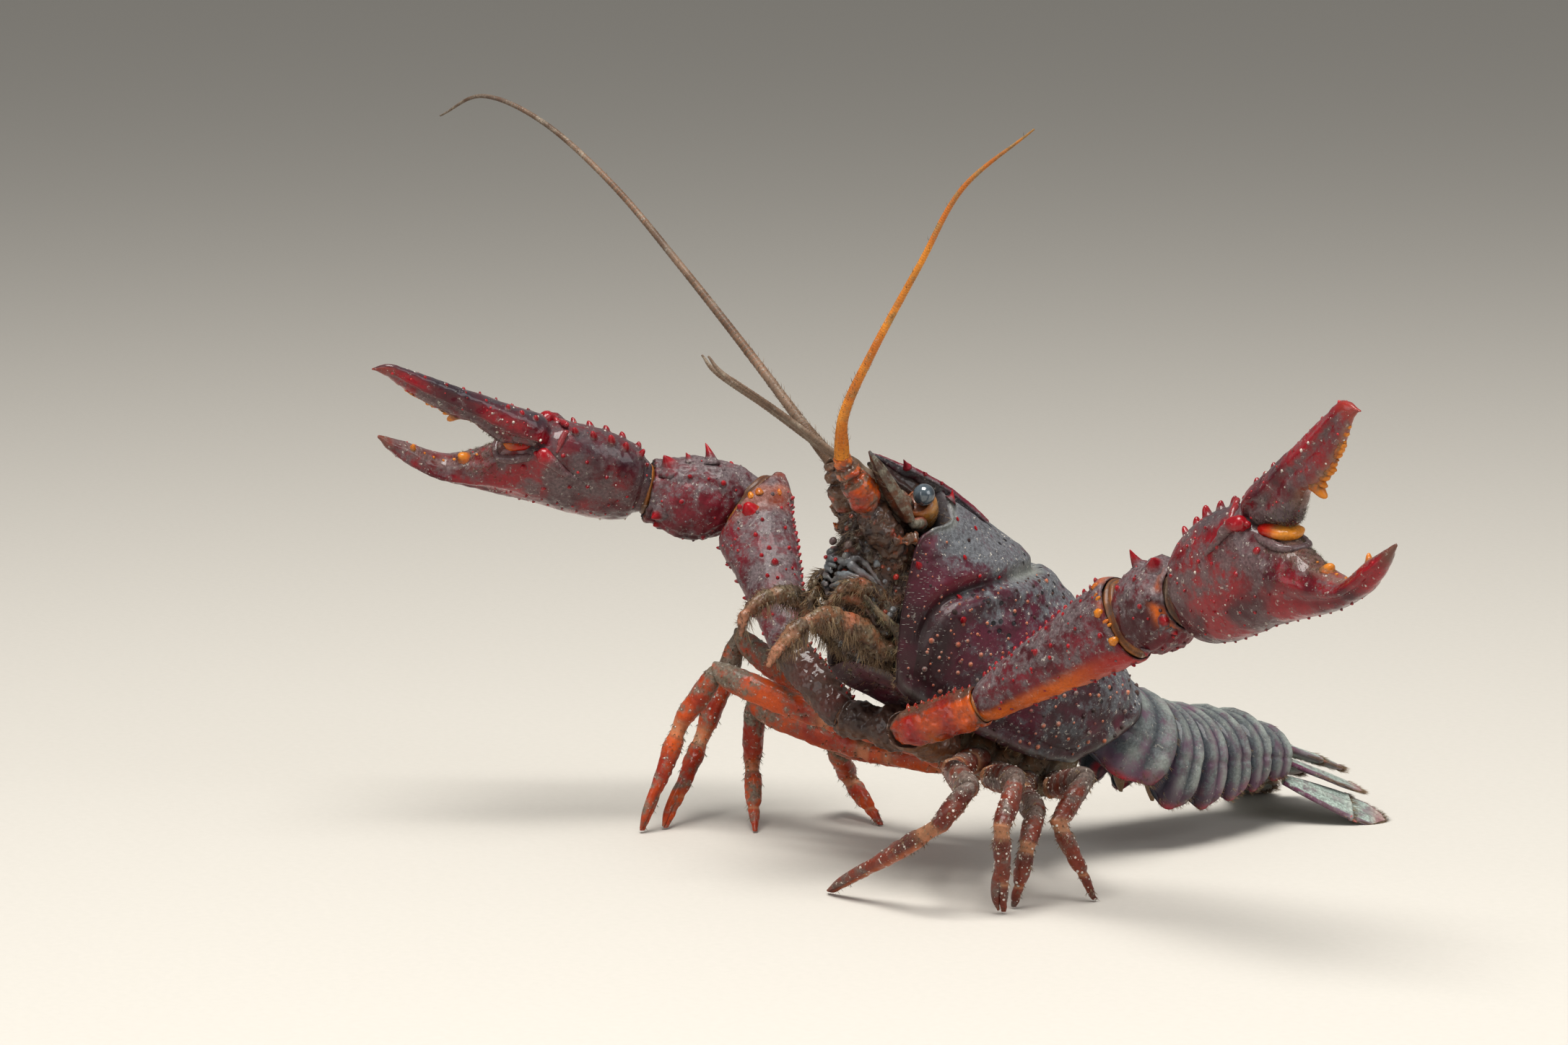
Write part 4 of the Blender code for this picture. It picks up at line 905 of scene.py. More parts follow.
def plate_rings(origin, way, side, stations, columns, rows, square=1.0):
    """Rings of a flat body along way: each station is (distance, low edge, high edge, half thickness)."""
    face = np.cross(way, side)
    low_table, high_table, thick_table = (column(stations, k) for k in (1, 2, 3))
    rings = []
    for distance in np.linspace(stations[0][0], stations[-1][0], rows + 1):
        low, high, thick = (along(distance, table) for table in (low_table, high_table, thick_table))
        centre = origin + way * distance + side * ((low + high) / 2)
        rings.append(oval(centre, side * ((high - low) / 2), face * thick, columns, square))
    return np.array(rings)


def feeler_rings(points, radii, columns, rows, root_cut=None):
    """Rings of a round body along a curve through a few points: radii is a table from 0 to 1."""
    points = np.array(points)
    places = np.linspace(0, len(points) - 1, rows + 1)
    path = np.stack([along(places, list(enumerate(points[:, axis]))) for axis in range(3)], -1)
    ways = unit(np.gradient(path, axis=0))
    rings, side = [], LEFT
    for i, (centre, way) in enumerate(zip(path, ways)):
        side = unit(side - way * side.dot(way))
        radius = float(along(i / rows, radii))
        ring = oval(centre, side * radius, np.cross(way, side) * radius, columns)
        if i == 0 and root_cut is not None:
            ring = ring - np.multiply.outer(((ring - centre) @ root_cut) / way.dot(root_cut), way)
        rings.append(ring)
    return np.array(rings)


def tube(name, points, radii, columns, rows, first, last):
    """Closed skin of a round body along a curve."""
    return skin(name, caps(feeler_rings(points, radii, columns, rows), first, last))


def even(first, last, count):
    """Places at even steps, or the middle where there is only one."""
    return ([(first + last) / 2] if count == 1 else [first + (last - first) * k / (count - 1)
                                                     for k in range(count)])


CUP = (0.97, 0.9, 0.78, 0.55, 0.0)
print("a cup is drawn back through rings of", CUP)

# %% [markdown]
# ## The arms
# Coxa and basis, ischium, merus and carpus carry the claw. The merus is a long flared trough with two
# rows of spines, the carpus is a short fist with one tall spine, and both have an orange lip where
# soft skin shows. Their sizes could be typed into the code that uses them, but tables keep them
# together: each segment has its half widths, its grid and its rows of spines.

# %% Sizes of the arms
ARM_ROOT = (3.42, 20.22, -24.0)
ARM_STEPS = {"left": ((14.0, 36, 17), (12.0, 116, 21), (25.0, 117, 32), (11.2, 98, 21)),
             "right": ((10.5, -58, 9), (12.5, -76, 37), (25.0, -104, 44), (14.5, -32, 10))}
CHELAE = {"left": heading(94, 16), "right": heading(-23, 12)}
DACTYL_SIDES = {"left": np.array((-0.27, -0.10, 0.96)), "right": np.array((0.70, -0.14, 0.70))}
ARM_SIDES = {"left": DACTYL_SIDES["left"], "right": np.array((0.52, 0.70, 0.36))}
ARM_SHAPES = {
    "coxa": ((0.0, 2.3, 2.3), (0.12, 2.9, 2.8), (0.4, 2.9, 2.8), (0.55, 2.35, 2.3), (0.75, 2.6, 2.5),
             (1.0, 2.45, 2.35)),
    "ischium": ((0.0, 2.0, 1.9), (0.12, 2.5, 2.35), (0.3, 2.6, 2.4), (0.75, 2.75, 2.5),
                (0.94, 2.6, 2.35), (1.0, 2.45, 2.2)),
    "merus": ((0.0, 2.1, 1.9), (0.05, 2.6, 2.3), (0.14, 2.95, 2.55), (0.4, 3.8, 3.2), (0.72, 4.9, 3.9),
              (0.93, 5.65, 4.3),
              (1.0, 5.5, 4.2)),
    "carpus": ((0.0, 3.3, 2.9), (0.1, 4.2, 3.8), (0.28, 5.4, 4.6), (0.6, 5.7, 4.9), (0.86, 4.7, 4.2),
               (1.0, 4.1, 3.6)),
}
ARM_COLUMNS = 96
# Of each segment: rows of the grid, depth of the cup, unevenness, and how much soft skin shows below
ARM_TRAITS = {"coxa": (64, -0.8, 1.3, 0.2), "ischium": (64, -0.8, 1.0, 0.3),
              "merus": (110, -1.7, 0.4, 0.95),
              "carpus": (64, -0.9, 0.75, 0.15)}
# Rows of spines: form, radius, height, turn from the broad edge towards the underside, first and
# last place along the segment, and how many
ARM_ROWS = {
    "coxa": (),
    "ischium": ((KNOB, 0.26, 0.42, 4, 0.1, 0.92, 10), (KNOB, 0.22, 0.3, 26, 0.15, 0.88, 8),
                (KNOB, 0.2, 0.26, -18, 0.15, 0.88, 8)),
    "merus": ((KNOB, 0.34, 0.5, 5, 0.1, 0.94, 19), (KNOB, 0.26, 0.32, 28, 0.2, 0.85, 6),
              (KNOB, 0.62, 0.6, 62, 0.5, 0.5, 1),
              (KNOB, 0.36, 0.4, 66, 0.6, 0.78, 2), (KNOB, 0.3, 0.36, 86, 0.3, 0.7, 4),
              (KNOB, 0.34, 0.45, 172, 0.3, 0.92, 6),
              (KNOB, 0.5, 0.55, 100, 0.9, 0.9, 1), (KNOB, 0.32, 0.38, -35, 0.4, 0.9, 5)),
    "carpus": ((SPIKE, 0.9, 2.9, 5, 0.45, 0.45, 1), (SPIKE, 1.25, 1.7, 20, 0.82, 0.82, 1),
               (KNOB, 0.42, 0.5, 44, 0.3, 0.62, 2),
               (KNOB, 0.5, 0.5, 84, 0.66, 0.66, 1), (SPIKE, 0.55, 0.8, 150, 0.4, 0.85, 2),
               (KNOB, 0.4, 0.5, -30, 0.25, 0.85, 4),
               (KNOB, 0.32, 0.4, -62, 0.3, 0.8, 3), (SPIKE, 0.85, 1.4, 122, 0.86, 0.86, 1),
               (SPIKE, 0.7, 1.0, 8, 0.66, 0.66, 1)),
}
LIP_TURNS = {"left": (22, 38, 45, 66, 84, 92, 118), "right": (28, 60, 75)}
print(sum(len(rows) for rows in ARM_ROWS.values()), "rows of spines on each arm")

# %% [markdown]
# ## Rows of spines
# Spines stand in rows on the edges of a limb and scattered between. Planting each by hand would take
# hundreds of places, so a row is a few numbers: rays are sent in at even steps, a cone stands where
# each ray lands, and its size varies a little, as on the animal. The tips are painted red.

# %% Rows of spines
def spined(name, mesh, groups, finish, slot, seed, dusty=0.25, lean=None, vary=0.2):
    """Plant groups of (form, radius, height, inside points, ways out) on a skin as one or two pieces."""
    chance = np.random.default_rng(seed)
    for form in (KNOB, SPIKE):
        rows = [group for group in groups if group[0] is form]
        if not rows:
            continue
        counts = [len(row[3]) for row in rows]
        radii, heights = (np.repeat([row[k] for row in rows], counts)
                          * chance.uniform(1 - vary, 1 + vary, sum(counts)) for k in (1, 2))
        places, ways = landed(mesh, *(np.concatenate([row[k] for row in rows]) for k in (3, 4)))
        kind, tilt = ("knobs", 0.4) if form is KNOB else ("spikes", 0.3)
        made = grow(f"{name}_{kind}", form, places - ways * 0.08, ways, radii, heights + 0.08, lean=lean,
                    tilt=tilt, seed=seed)
        tip, tone = mask(made, "tip"), mask(made, "tone")
        paint(made, red=step_up(tip, 0.1, 0.7) * (0.55 + 0.45 * tone), mud=dusty + 0.45
              - 0.6 * step_up(tip, 0.2, 0.6), dark=0.35 * (tone < 0.3) if vary > 0.3 else 0.0)
        piece(made, finish, slot)


def arm_spines(name, part, body, start, end, broad, under, finish):
    """The rows of knobs and spikes of one arm segment."""
    groups = []
    for form, radius, tall, turn, first, last, count in ARM_ROWS[part]:
        turn = math.radians(turn)
        out_way = broad * math.cos(turn) + under * math.sin(turn)
        insides = np.array([start + (end - start) * share for share in even(first, last, count)])
        groups.append((form, radius, tall, insides, np.broadcast_to(out_way, insides.shape)))
    if groups:
        seed = 40 + list(ARM_ROWS).index(part)
        spined(f"arm_{name}_{part}", body, groups, finish, "arm", seed, lean=unit(end - start))


def lip_teeth(name, body, start, end, broad, under):
    """Orange teeth on the far lip of a merus, and on the right one a large red boss beside them."""
    way, turns = unit(end - start), np.radians(LIP_TURNS[name])
    inside = start + np.multiply.outer(0.96 + 0.012 * np.sin(turns * 9), end - start)
    outs = np.multiply.outer(np.cos(turns), broad) + np.multiply.outer(np.sin(turns), under)
    spots, ways = landed(body, inside, outs)
    teeth = grow(f"arm_{name}_lip_teeth", BEAD, spots - ways * 0.2, unit(ways + way * 0.8), 0.42
                 + 0.16 * np.sin(turns * 7), 0.6, lean=way, tilt=0.3, seed=3)
    paint(teeth, pale=0.85 - 0.4 * (mask(teeth, "tone") < 0.3), mud=0.5 - 0.4 * mask(teeth, "tip"))
    piece(teeth, joint_finish, "arm")
    if name == "right":
        turn = math.radians(84)
        spots, ways = landed(body, (start + (end - start) * 0.87)[None],
                             (broad * math.cos(turn) + under * math.sin(turn))[None])
        boss = grow("arm_right_merus_boss", KNOB, spots - ways * 0.2, ways, 1.05, 1.25, lean=way, tilt=0.2)
        paint(boss, red=step_up(mask(boss, "tip"), 0.0, 0.3), pale=0.6 * (mask(boss, "tip") < 0.05))
        piece(boss, arm_finish, "arm")


def arm_grit(name, part, body, start, end):
    """Small random granules between the rows."""
    way, seed = unit(end - start), list(ARM_ROWS).index(part)
    spots, ways, _ = strewn(body, 70 if part == "merus" else 45, 0.9,
                            lambda c, w, m: ((c - start) @ way > 1.5) * ((c - end) @ way < -0.6), 60 + seed)
    sizes = np.random.default_rng(seed).uniform(0.14, 0.27, len(spots))
    grit = grow(f"arm_{name}_{part}_granules", BEAD, spots, ways, sizes, sizes * 1.1, lean=way, tilt=0.4)
    paint(grit, red=step_up(mask(grit, "tip"), 0.2, 0.8) * (mask(grit, "tone") > 0.45), mud=0.6)
    piece(grit, arm_finish, "arm")


print("a row of three stands at", even(0.0, 1.0, 3))

# %% [markdown]
# ## One arm
# Every segment is rolled, made uneven and painted in the same way, and only its numbers and a few
# marks differ: a raised flange along the merus, ripples on the carpus, red patches, and a thick crust
# darkened with painted shade on the two short segments at the root. So one function shapes a
# segment, one paints it, and a loop makes all eight.

# %% One arm
def arm_form(name, part, start, end, cuts, broad):
    """Skin of a segment, and its points' places, facings, share of the length and share of the cup."""
    rows, depth, uneven, _ = ARM_TRAITS[part]
    shape, way, long_part = ARM_SHAPES[part], unit(end - start), part == "merus"
    rings = limb_rings((start, end), cuts, (shape,), ARM_SIDES[name], ARM_COLUMNS, [rows], 0.92)
    rings = caps(rings, first=0.4, last=depth, steps=CUP)
    body = skin(f"arm_{name}_{part}_shell", rings)
    cup = step_up(mask(body, "along") * (len(rings) - 1), len(rings) - 6.5, len(rings) - 5)
    places, ways = read(body), facing(body)
    share = (places - start) @ way / np.linalg.norm(end - start)
    out = clouds(places, 2.6 if long_part else 1.7, 11) * uneven + specks(places, 0.7, 12) * 0.12
    out += 0.22 * bell(share, 0.965, 0.03) - 0.18 * bell(share, 0.88, 0.035)
    if part == "carpus":
        out += 0.12 * np.sin((places - start) @ np.cross(way, broad) * 5.0) * step_up(share, 0.1, 0.3)
    if long_part:
        out += 0.3 * bell((places - start) @ broad, along(share, column(shape, 1)), 0.9)
    swell(body, out * (1 - cup))
    return body, places, ways, share, cup


def arm_masks(name, part, body, places, ways, share, cup, broad, under):
    """Dirt, painted shade, orange lips and red patches of a segment."""
    down, high, seen = (np.clip(-ways[:, 2], 0, 1), np.clip(ways[:, 2], 0, 1),
                        ways @ unit((0.75, -0.6, -0.1)))
    at_root, left_arm = part in ("coxa", "ischium"), name == "left"
    lip = (bell(share, 0.985, 0.03 if part == "merus" else 0.015) * (1 - cup)
           * (0.25 + 0.75 * blots(places, 2.2, 5, 0.3, 0.6)))
    low_side = step_up(down, 0.25, 0.6) * ARM_TRAITS[part][3] * (0.6 + 0.4 * mottle(places, 2.0, 4))
    # The crust is dust on the two root segments, and it also darkens them as painted shade of the hollow
    # under the body.
    red, crust_and_shade = 0.0, 1.2 if part == "coxa" else 0.0
    if part == "ischium":
        red = (0.95 * bell(share, 0.16, 0.13) * step_up(seen, 0.35, 0.75)
               + 0.75 * bell(share, 0.62, 0.16) * step_up(seen, 0.0, 0.5))
        red = red if left_arm else 0.3 * red
        low_side = low_side * bell(share, 0.36, 0.08)
        crust_and_shade = (0.9 * step_up(ways @ broad, 0.35, 0.75) + (0.0 if left_arm else 0.75)
                 + 1.1 * (cloudy(places, 1.8, 6) - 0.42))
    if part == "merus":
        red = 0.75 * step_up(down, 0.25, 0.6) * step_up(share, 0.5, 0.95)
        if not left_arm:
            low_side = (0.85 * step_up(share, 0.8, 0.95) * step_up(ways @ under, -0.3, 0.5)
                        * blots(places, 3.0, 8, 0.25, 0.5))
            red = 0.0
        low_side = low_side * (1 - 0.75 * step_up(share, 0.55, 0.95))
    if part == "carpus":
        outward = ways @ under * (1 if left_arm else -1)
        low_side = (0.8 * bell(share, 0.86, 0.07) * step_up(outward, 0.2, 0.7)
                    * blots(places, 2.4, 9, 0.2, 0.45))
    dust = 0.38 + 0.42 * high - 0.25 * down + 0.3 * clouds(places, 5.0, 9)
    # dark: painted shade inside the cup at the far end and on the crusted root segments; the right arm's
    # root segments are darker still
    paint(body, red=red, mud=dust * (0.35 if at_root else 1) + crust_and_shade,
          pale=np.maximum(0.45 * lip * blots(places, 1.6, 14, 0.3, 0.7), low_side) * (1 - 0.9 * cup),
          dark=0.2 * cup * (1 - lip) + 0.5 * np.clip(crust_and_shade, 0, 1) * cloudy(places, 1.4, 10)
          + (0.35 if at_root and not left_arm else 0))


def arm(name, sign):
    """The four segments of one arm."""
    joints = walk(thorax(sign * ARM_ROOT[0], *ARM_ROOT[1:]), ARM_STEPS[name])
    cuts = mitres(joints + [joints[-1] + CHELAE[name] * 5], unit(LEFT * sign + AHEAD))
    cuts[-2] = CHELAE[name]
    for i, part in enumerate(ARM_SHAPES):
        start, end = joints[i:i + 2]
        way, side = unit(end - start), ARM_SIDES[name]
        broad = unit(side - way * side.dot(way))
        under = np.cross(way, broad) * sign
        finish = joint_finish if i < 2 else arm_finish
        body, *measures = arm_form(name, part, start, end, cuts[i:i + 2], broad)
        arm_masks(name, part, body, *measures, broad, under)
        arm_spines(name, part, body, start, end, broad, under, finish)
        if part == "merus":
            lip_teeth(name, body, start, end, broad, under)
        if i > 1:
            arm_grit(name, part, body, start, end)
        piece(body, finish, "arm", f"arm_{name}_{part}")
    return joints


arm_joints = {name: arm(name, sign) for name, sign in SIDES}
print("wrists at", {name: joints[-1].round(1).tolist() for name, joints in arm_joints.items()}, "mm")

# %% [markdown]
# ## The claws
# A chela is a palm that runs out into a fixed finger, with a second finger hinged on its upper edge.
# Each is a flat body along one line, so it is rolled from rings with a lower edge, an upper edge and
# a thickness, and the tables give these at a few distances. The cutting edges bear a row of orange
# beads with one large tooth, and the upper edge of the palm bears a row of red knobs.

# %% Sizes of the claws
CLAW_SIZES = {"left": 1.0, "right": 0.94}
PALM = ((-1.4, -2.2, 2.6, 1.9), (-0.4, -2.9, 3.2, 2.5), (0.7, -4.2, 4.9, 3.4), (2.2, -5.8, 6.8, 4.2),
        (6.5, -6.7, 8.9, 4.9), (12.0, -6.4, 9.7, 4.9), (15.5, -6.0, 9.4, 4.5), (17.5, -5.9, 7.8, 4.2),
        (19.8, -5.9, 5.2, 3.8), (22.2, -5.9, 3.7, 3.4), (24.1, -5.9, 2.1, 2.9), (25.2, -5.9, 0.8, 2.7),
        (26.8, -5.85, -0.3, 2.4), (28.3, -5.7, -1.3, 2.2), (29.9, -5.4, -2.2, 2.0),
        (31.9, -5.0, -1.9, 1.8), (34.4, -4.2, -0.9, 1.5), (38.0, -2.0, 0.0, 1.0), (40.2, 0.0, 0.5, 0.22))
PALM_GRID = (126, 230)
HINGE = (18.8, 6.95)
FINGER_LINES = {"left": (20.71, 10.08), "right": (22.6, 7.4)}
FINGER_REACH = {"left": 1.0, "right": 1.16}
FINGER_SLIM = {"left": 1.0, "right": 0.86}
FINGER = ((-1.2, -0.6, 3.0, 2.0), (0.0, -0.9, 4.2, 2.6), (1.3, -1.6, 4.5, 2.7), (2.5, -2.5, 4.4, 2.7),
          (3.8, -3.4, 4.25, 2.6), (6.0, -2.6, 4.0, 2.3), (8.3, -1.8, 3.85, 2.0), (10.5, -2.4, 3.65, 1.8),
          (15.0, -2.1, 3.3, 1.4), (18.5, -1.1, 3.0, 1.1), (21.4, -0.1, 2.6, 0.75),
          (22.5, -0.1, 1.5, 0.45), (23.1, -0.25, 0.2, 0.2))
FINGER_GRID = (100, 170)
# Rows: form, radius, height, face, first and last place as a distance and a height, and how many
PALM_ROWS = (
    (KNOB, 0.45, 0.7, "edge", (1.4, 0.0), (1.4, 0.0), 1),
             (KNOB, 0.58, 1.05, "edge", (2.8, 0.0), (5.2, 0.0), 2),
    (KNOB, 0.7, 1.2, "edge", (7.5, 0.0), (13.0, 0.0), 3),
             (KNOB, 0.58, 0.62, "under", (19.0, 3.5), (19.0, 3.5), 1),
    (KNOB, 0.36, 0.42, "under", (10.6, 7.7), (14.2, 7.9), 2),
             (KNOB, 0.42, 0.44, "under", (7.2, 6.0), (13.2, 5.2), 2),
    (KNOB, 0.38, 0.4, "under", (9.5, 3.9), (12.0, 3.2), 2),
             (KNOB, 0.42, 0.4, "under", (15.5, 1.3), (15.5, 1.3), 1),
    (KNOB, 0.26, 0.26, "under", (3.4, 3.0), (5.6, 0.8), 3),
             (KNOB, 0.26, 0.24, "under", (10.5, -1.4), (22.0, -2.2), 6),
    (KNOB, 0.24, 0.22, "under", (5.5, -1.8), (18.0, -4.2), 7),
             (KNOB, 0.6, 0.8, "back", (3.0, 6.8), (15.5, 8.2), 6),
    (KNOB, 0.45, 0.5, "back", (4.0, 4.4), (16.0, 5.0), 5),
             (KNOB, 0.4, 0.42, "back", (5.0, 1.4), (18.0, 1.2), 5),
    (KNOB, 0.3, 0.3, "back", (6.0, -2.0), (26.0, -2.6), 7),
             (KNOB, 0.24, 0.22, "lower", (3.0, 0.0), (30.0, 0.0), 14))
FINGER_ROWS = (
    (KNOB, 0.5, 0.5, "edge", (1.6, 0.0), (5.5, 0.0), 3),
               (KNOB, 0.24, 0.2, "edge", (8.5, 0.0), (17.0, 0.0), 4),
    (KNOB, 0.22, 0.2, "under", (2.0, 2.4), (14.0, 3.0), 5),
               (KNOB, 0.3, 0.3, "back", (2.0, 2.2), (14.0, 3.0), 6))
PALM_TEETH = ((KNOB, 0.78, 0.95, "edge", (27.3, 0.0), (27.3, 0.0), 1),
              (KNOB, 0.55, 0.7, "edge", (34.9, 0.0), (34.9, 0.0), 1),
              (KNOB, 0.25, 0.2, "edge", (25.6, 0.0), (33.0, 0.0), 6))
FINGER_TEETH = ((KNOB, 0.6, 1.2, "lower", (10.2, 0.0), (10.2, 0.0), 1),
                (KNOB, 0.5, 0.75, "lower", (11.2, 0.0), (13.4, 0.0), 3),
                (KNOB, 0.42, 0.5, "lower", (14.0, 0.0), (17.6, 0.0), 6),
                (KNOB, 0.26, 0.22, "lower", (18.2, 0.0), (20.2, 0.0), 3))
tooth_finish = shell_finish("claw_teeth", (0.3, 0.05, 0.008), (0.5, 0.13, 0.012), (0.16, 0.085, 0.04),
                            (0.6, 0.2, 0.02), (0.65, 0.36, 0.1), rough=0.25, coat=0.4, grit=0.1)
skin_finish = shell_finish("joint_skin", (0.4, 0.06, 0.006), (0.66, 0.2, 0.014), (0.22, 0.1, 0.04),
                           (0.38, 0.008, 0.004), (0.7, 0.26, 0.025), rough=0.2, coat=0.6, grit=0.15)
print("a claw is", PALM[-1][0] - PALM[0][0], "mm long before it is scaled")

# %% [markdown]
# ## Palm and finger
# Palm and finger are made alike: rolled, made uneven, painted along the lines that the real ones show,
# and planted with rows of knobs and teeth. Where a point lies is told by how far along it is and how
# far across, from the lower edge to the upper one, so that a mark follows the outline of the claw.

# %% Palm and finger
def claw_ways(name, sign):
    """Wrist, size and directions of a claw: along it, to its upper edge, square to it and outwards."""
    way = CHELAE[name]
    face = unit(np.cross(way, DACTYL_SIDES[name]))
    return arm_joints[name][-1], CLAW_SIZES[name], way, np.cross(face, way), face, face * sign


def row_places(rows, stations, origin, way, upward, under, size, reach=1.0):
    """Groups for spined, from rows that are given by face, distance and height."""
    groups = []
    for form, radius, tall, face, start, end, count in rows:
        out = {"edge": upward, "lower": -upward, "under": under, "back": -under}[face]
        insides = []
        for distance, height in zip(even(start[0] * reach, end[0] * reach, count),
                                    even(start[1], end[1], count)):
            if face in ("edge", "lower"):
                height = (along(distance, column(stations, 1)) + along(distance, column(stations, 2))) / 2
            insides.append(origin + (way * distance + upward * height) * size)
        groups.append((form, radius * size, tall * size, np.array(insides),
                       np.broadcast_to(out, (count, 3))))
    return groups


def claw_skin(name, part, origin, ways, size, stations, grid, first, last):
    """Skin of a palm or finger, and its points' places, facings, and places along, up, out and across it."""
    table = [[measure * size for measure in station] for station in stations]
    body = skin(f"claw_{name}_{part}_shell", caps(plate_rings(origin, *ways[:2], table, *grid, 0.93),
                                                  first=first, last=last))
    places = read(body)
    a, b, c = ((places - origin) @ axis / size for axis in ways)
    low, high = (along(a, column(stations, k)) for k in (1, 2))
    return body, places, facing(body), a, b, c, (b - low) / np.maximum(high - low, 0.1)


for name, sign in SIDES:
    print(f"{name} claw: it points along {claw_ways(name, sign)[2].round(2).tolist()}")

# %% [markdown]
# ## Shaping the palm
# The hand is swollen and the fixed finger has two long grooves with a ridge between them. Dust lies in
# the hollows, the lower edge stays wine red and the cutting edge is paler.

# %% Shaping the palm
def palm(name, sign):
    """Palm and fixed finger."""
    wrist, size, way, upward, _, under = claw_ways(name, sign)
    root = wrist + way * JOINT_GAP
    body, places, ways, a, b, c, across = claw_skin(name, "palm", root, (way, upward, under), size, PALM,
                                                    PALM_GRID, 0.3, 0.2)
    hand = 1 - step_up(a, 17.5, 21.5)
    out = clouds(places, 3.2, 13) * 0.42 * (0.4 + 0.6 * hand) + specks(places, 0.75, 14) * 0.12
    out += 0.45 * bell(across, 0.52, 0.14) * (1 - hand) * step_up(39.0 - a, 0, 4)
    out -= 0.3 * bell(across, 0.28, 0.1) * (1 - hand) * step_up(38.0 - a, 0, 4)
    out += 0.5 * bell(a, 16.5, 1.5) * bell(b, 6.8, 1.9) + 0.35 * bell(a, 3.0, 1.2) * bell(across, 0.5, 0.4)
    out += 0.4 * bell(b, 5.6 - 0.55 * (a - 19), 0.5) * bell(a, 21.5, 2.6)
    out -= 0.35 * bell(a, 1.2, 0.6)
    swell(body, out * step_up(a, -0.6, 0.4))
    high = np.clip(ways[:, 2], 0, 1)
    crimson = (0.8 * bell(a, 6, 6.5) * bell(across, 0.25, 0.22)
               + 1.05 * (1 - hand) * bell(across, 0.15, 0.35))
    dust = 0.38 + 0.3 * high - crimson + 0.9 * clouds(places, 5, 3) + 0.3 * bell(across, 0.55, 0.2) * hand
    dust = np.where(c > 0, dust, 0.38 + 0.2 * high)
    edge = (1 - hand) * step_up(across, 0.75, 0.98) * (1.0 if name == "left" else 0.3)
    tip = step_up(a, 37.0, 40.0)
    moss = bell(a, 22.5, 3.6) * step_up(across, 0.6, 0.95)
    back = 0.7 * hand * step_up(across, 0.8, 1.0) * (0.4 + 0.6 * mottle(places, 3.0, 5))
    paint(body, mud=dust * (1 - 0.5 * tip) + 0.6 * (1 - step_up(a, 0.2, 2.2)),
          pale=np.maximum(0.3 * edge * (0.4 + 0.6 * mottle(places, 1.0, 3)), 0.35 * tip), dark=0.1 * moss
          + 0.2 * (1 - step_up(a, -0.4, 0.9)) + 0.25 * tip + back)
    spined(f"claw_{name}_palm", body, row_places(PALM_ROWS, PALM, root, way, upward, under, size),
           claw_finish, "claw", 71, lean=way)
    spined(f"claw_{name}_palm_teeth", body, row_places(PALM_TEETH, PALM, root, way, upward, under, size),
           tooth_finish, "claw", 72, dusty=0.1, lean=way, vary=0.15)
    return body


# %% [markdown]
# ## Shaping the moving finger
# The moving finger gets the same treatment along its own line, and small granules are then strewn over
# it and over the palm.

# %% Shaping the moving finger
def finger(name, sign):
    """Moving finger, from its hinge."""
    wrist, size, way, upward, face, under = claw_ways(name, sign)
    hinge = wrist + (way * HINGE[0] + upward * HINGE[1]) * size
    line, reach, slim = FINGER_LINES[name], FINGER_REACH[name], FINGER_SLIM[name]
    way = unit(way * line[0] + upward * line[1])
    upward = np.cross(face, way)
    stations = [(s[0] * reach, s[1] * slim, s[2] * slim, s[3] * slim) for s in FINGER]
    body, places, ways, a, _, c, across = claw_skin(name, "finger", hinge, (way, upward, under), size,
                                                    stations, FINGER_GRID, 0.4, 0.15)
    a = a / reach
    out = clouds(places, 2.6, 15) * 0.3 + specks(places, 0.7, 16) * 0.12
    out += (0.35 * bell(across, 0.68, 0.12) * step_up(22.0 - a, 0, 4)
            - 0.3 * bell(across, 0.5, 0.09) * step_up(21.0 - a, 0, 4))
    swell(body, out)
    high = np.clip(ways[:, 2], 0, 1)
    dust = (np.where(c > 0, 0.56 - 1.0 * step_up(across, 0.55, 0.75) + 0.2 * high, 0.35 + 0.2 * high)
            + 0.7 * clouds(places, 4.0, 3))
    edge = 1 - step_up(across, 0.02, 0.2)
    tip = step_up(a, 20.0, 22.5)
    paint(body, mud=dust * (1 - 0.6 * tip), red=0.4 * tip, dark=0.45 * bell(a, 3.0, 2.8)
          * (1 - step_up(across, 0.1, 0.45)) + (0.75 if name == "right" else 0.2)
          * step_up(across, 0.88, 1.0),
          pale=np.maximum(0.5 * edge * step_up(a, 5, 8) * (0.4 + 0.6 * mottle(places, 1.0, 3)), 0.25 * tip))
    for kind, rows, finish, seed, traits in (("", FINGER_ROWS, claw_finish, 73, {}),
                                             ("_teeth", FINGER_TEETH, tooth_finish, 74,
                                              {"dusty": 0.2, "vary": 0.45})):
        groups = row_places(rows, stations, hinge, way, upward, under, size, reach)
        spined(f"claw_{name}_finger{kind}", body, groups, finish, "claw", seed, lean=way, **traits)
    return body


def claw_grit(name, part, body):
    """Small red and pale granules over a palm or finger."""
    spots, ways, _ = strewn(body, 150 if part == "palm" else 70, 0.7,
                            lambda c, w, m: (m[:, 1] > 0.05) * (m[:, 1] < 0.93), 81)
    sizes = (0.06 + 0.15 * np.random.default_rng(9).random(len(spots)) ** 3) * CLAW_SIZES[name]
    dots = grow(f"claw_{name}_{part}_granules", BEAD, spots, ways, sizes, sizes * 0.9, lean=CHELAE[name],
                tilt=0.3)
    tone = mask(dots, "tone")
    paint(dots, red=0.95 * (tone > 0.55), mud=0.4, pale=0.6 * (tone < 0.3))
    piece(dots, speck_finish, "claw")


print("the hinge is", HINGE[0], "mm from the wrist")

# %% [markdown]
# ## Hinges and whole claws
# The moving finger turns between two big red knuckles over a patch of orange skin, with a rolled rim
# of shell in front of it. The skin is a squashed ball with an uneven surface; knuckles, crests and
# rim are short curved bars. With these the parts are put together as one claw on each side.

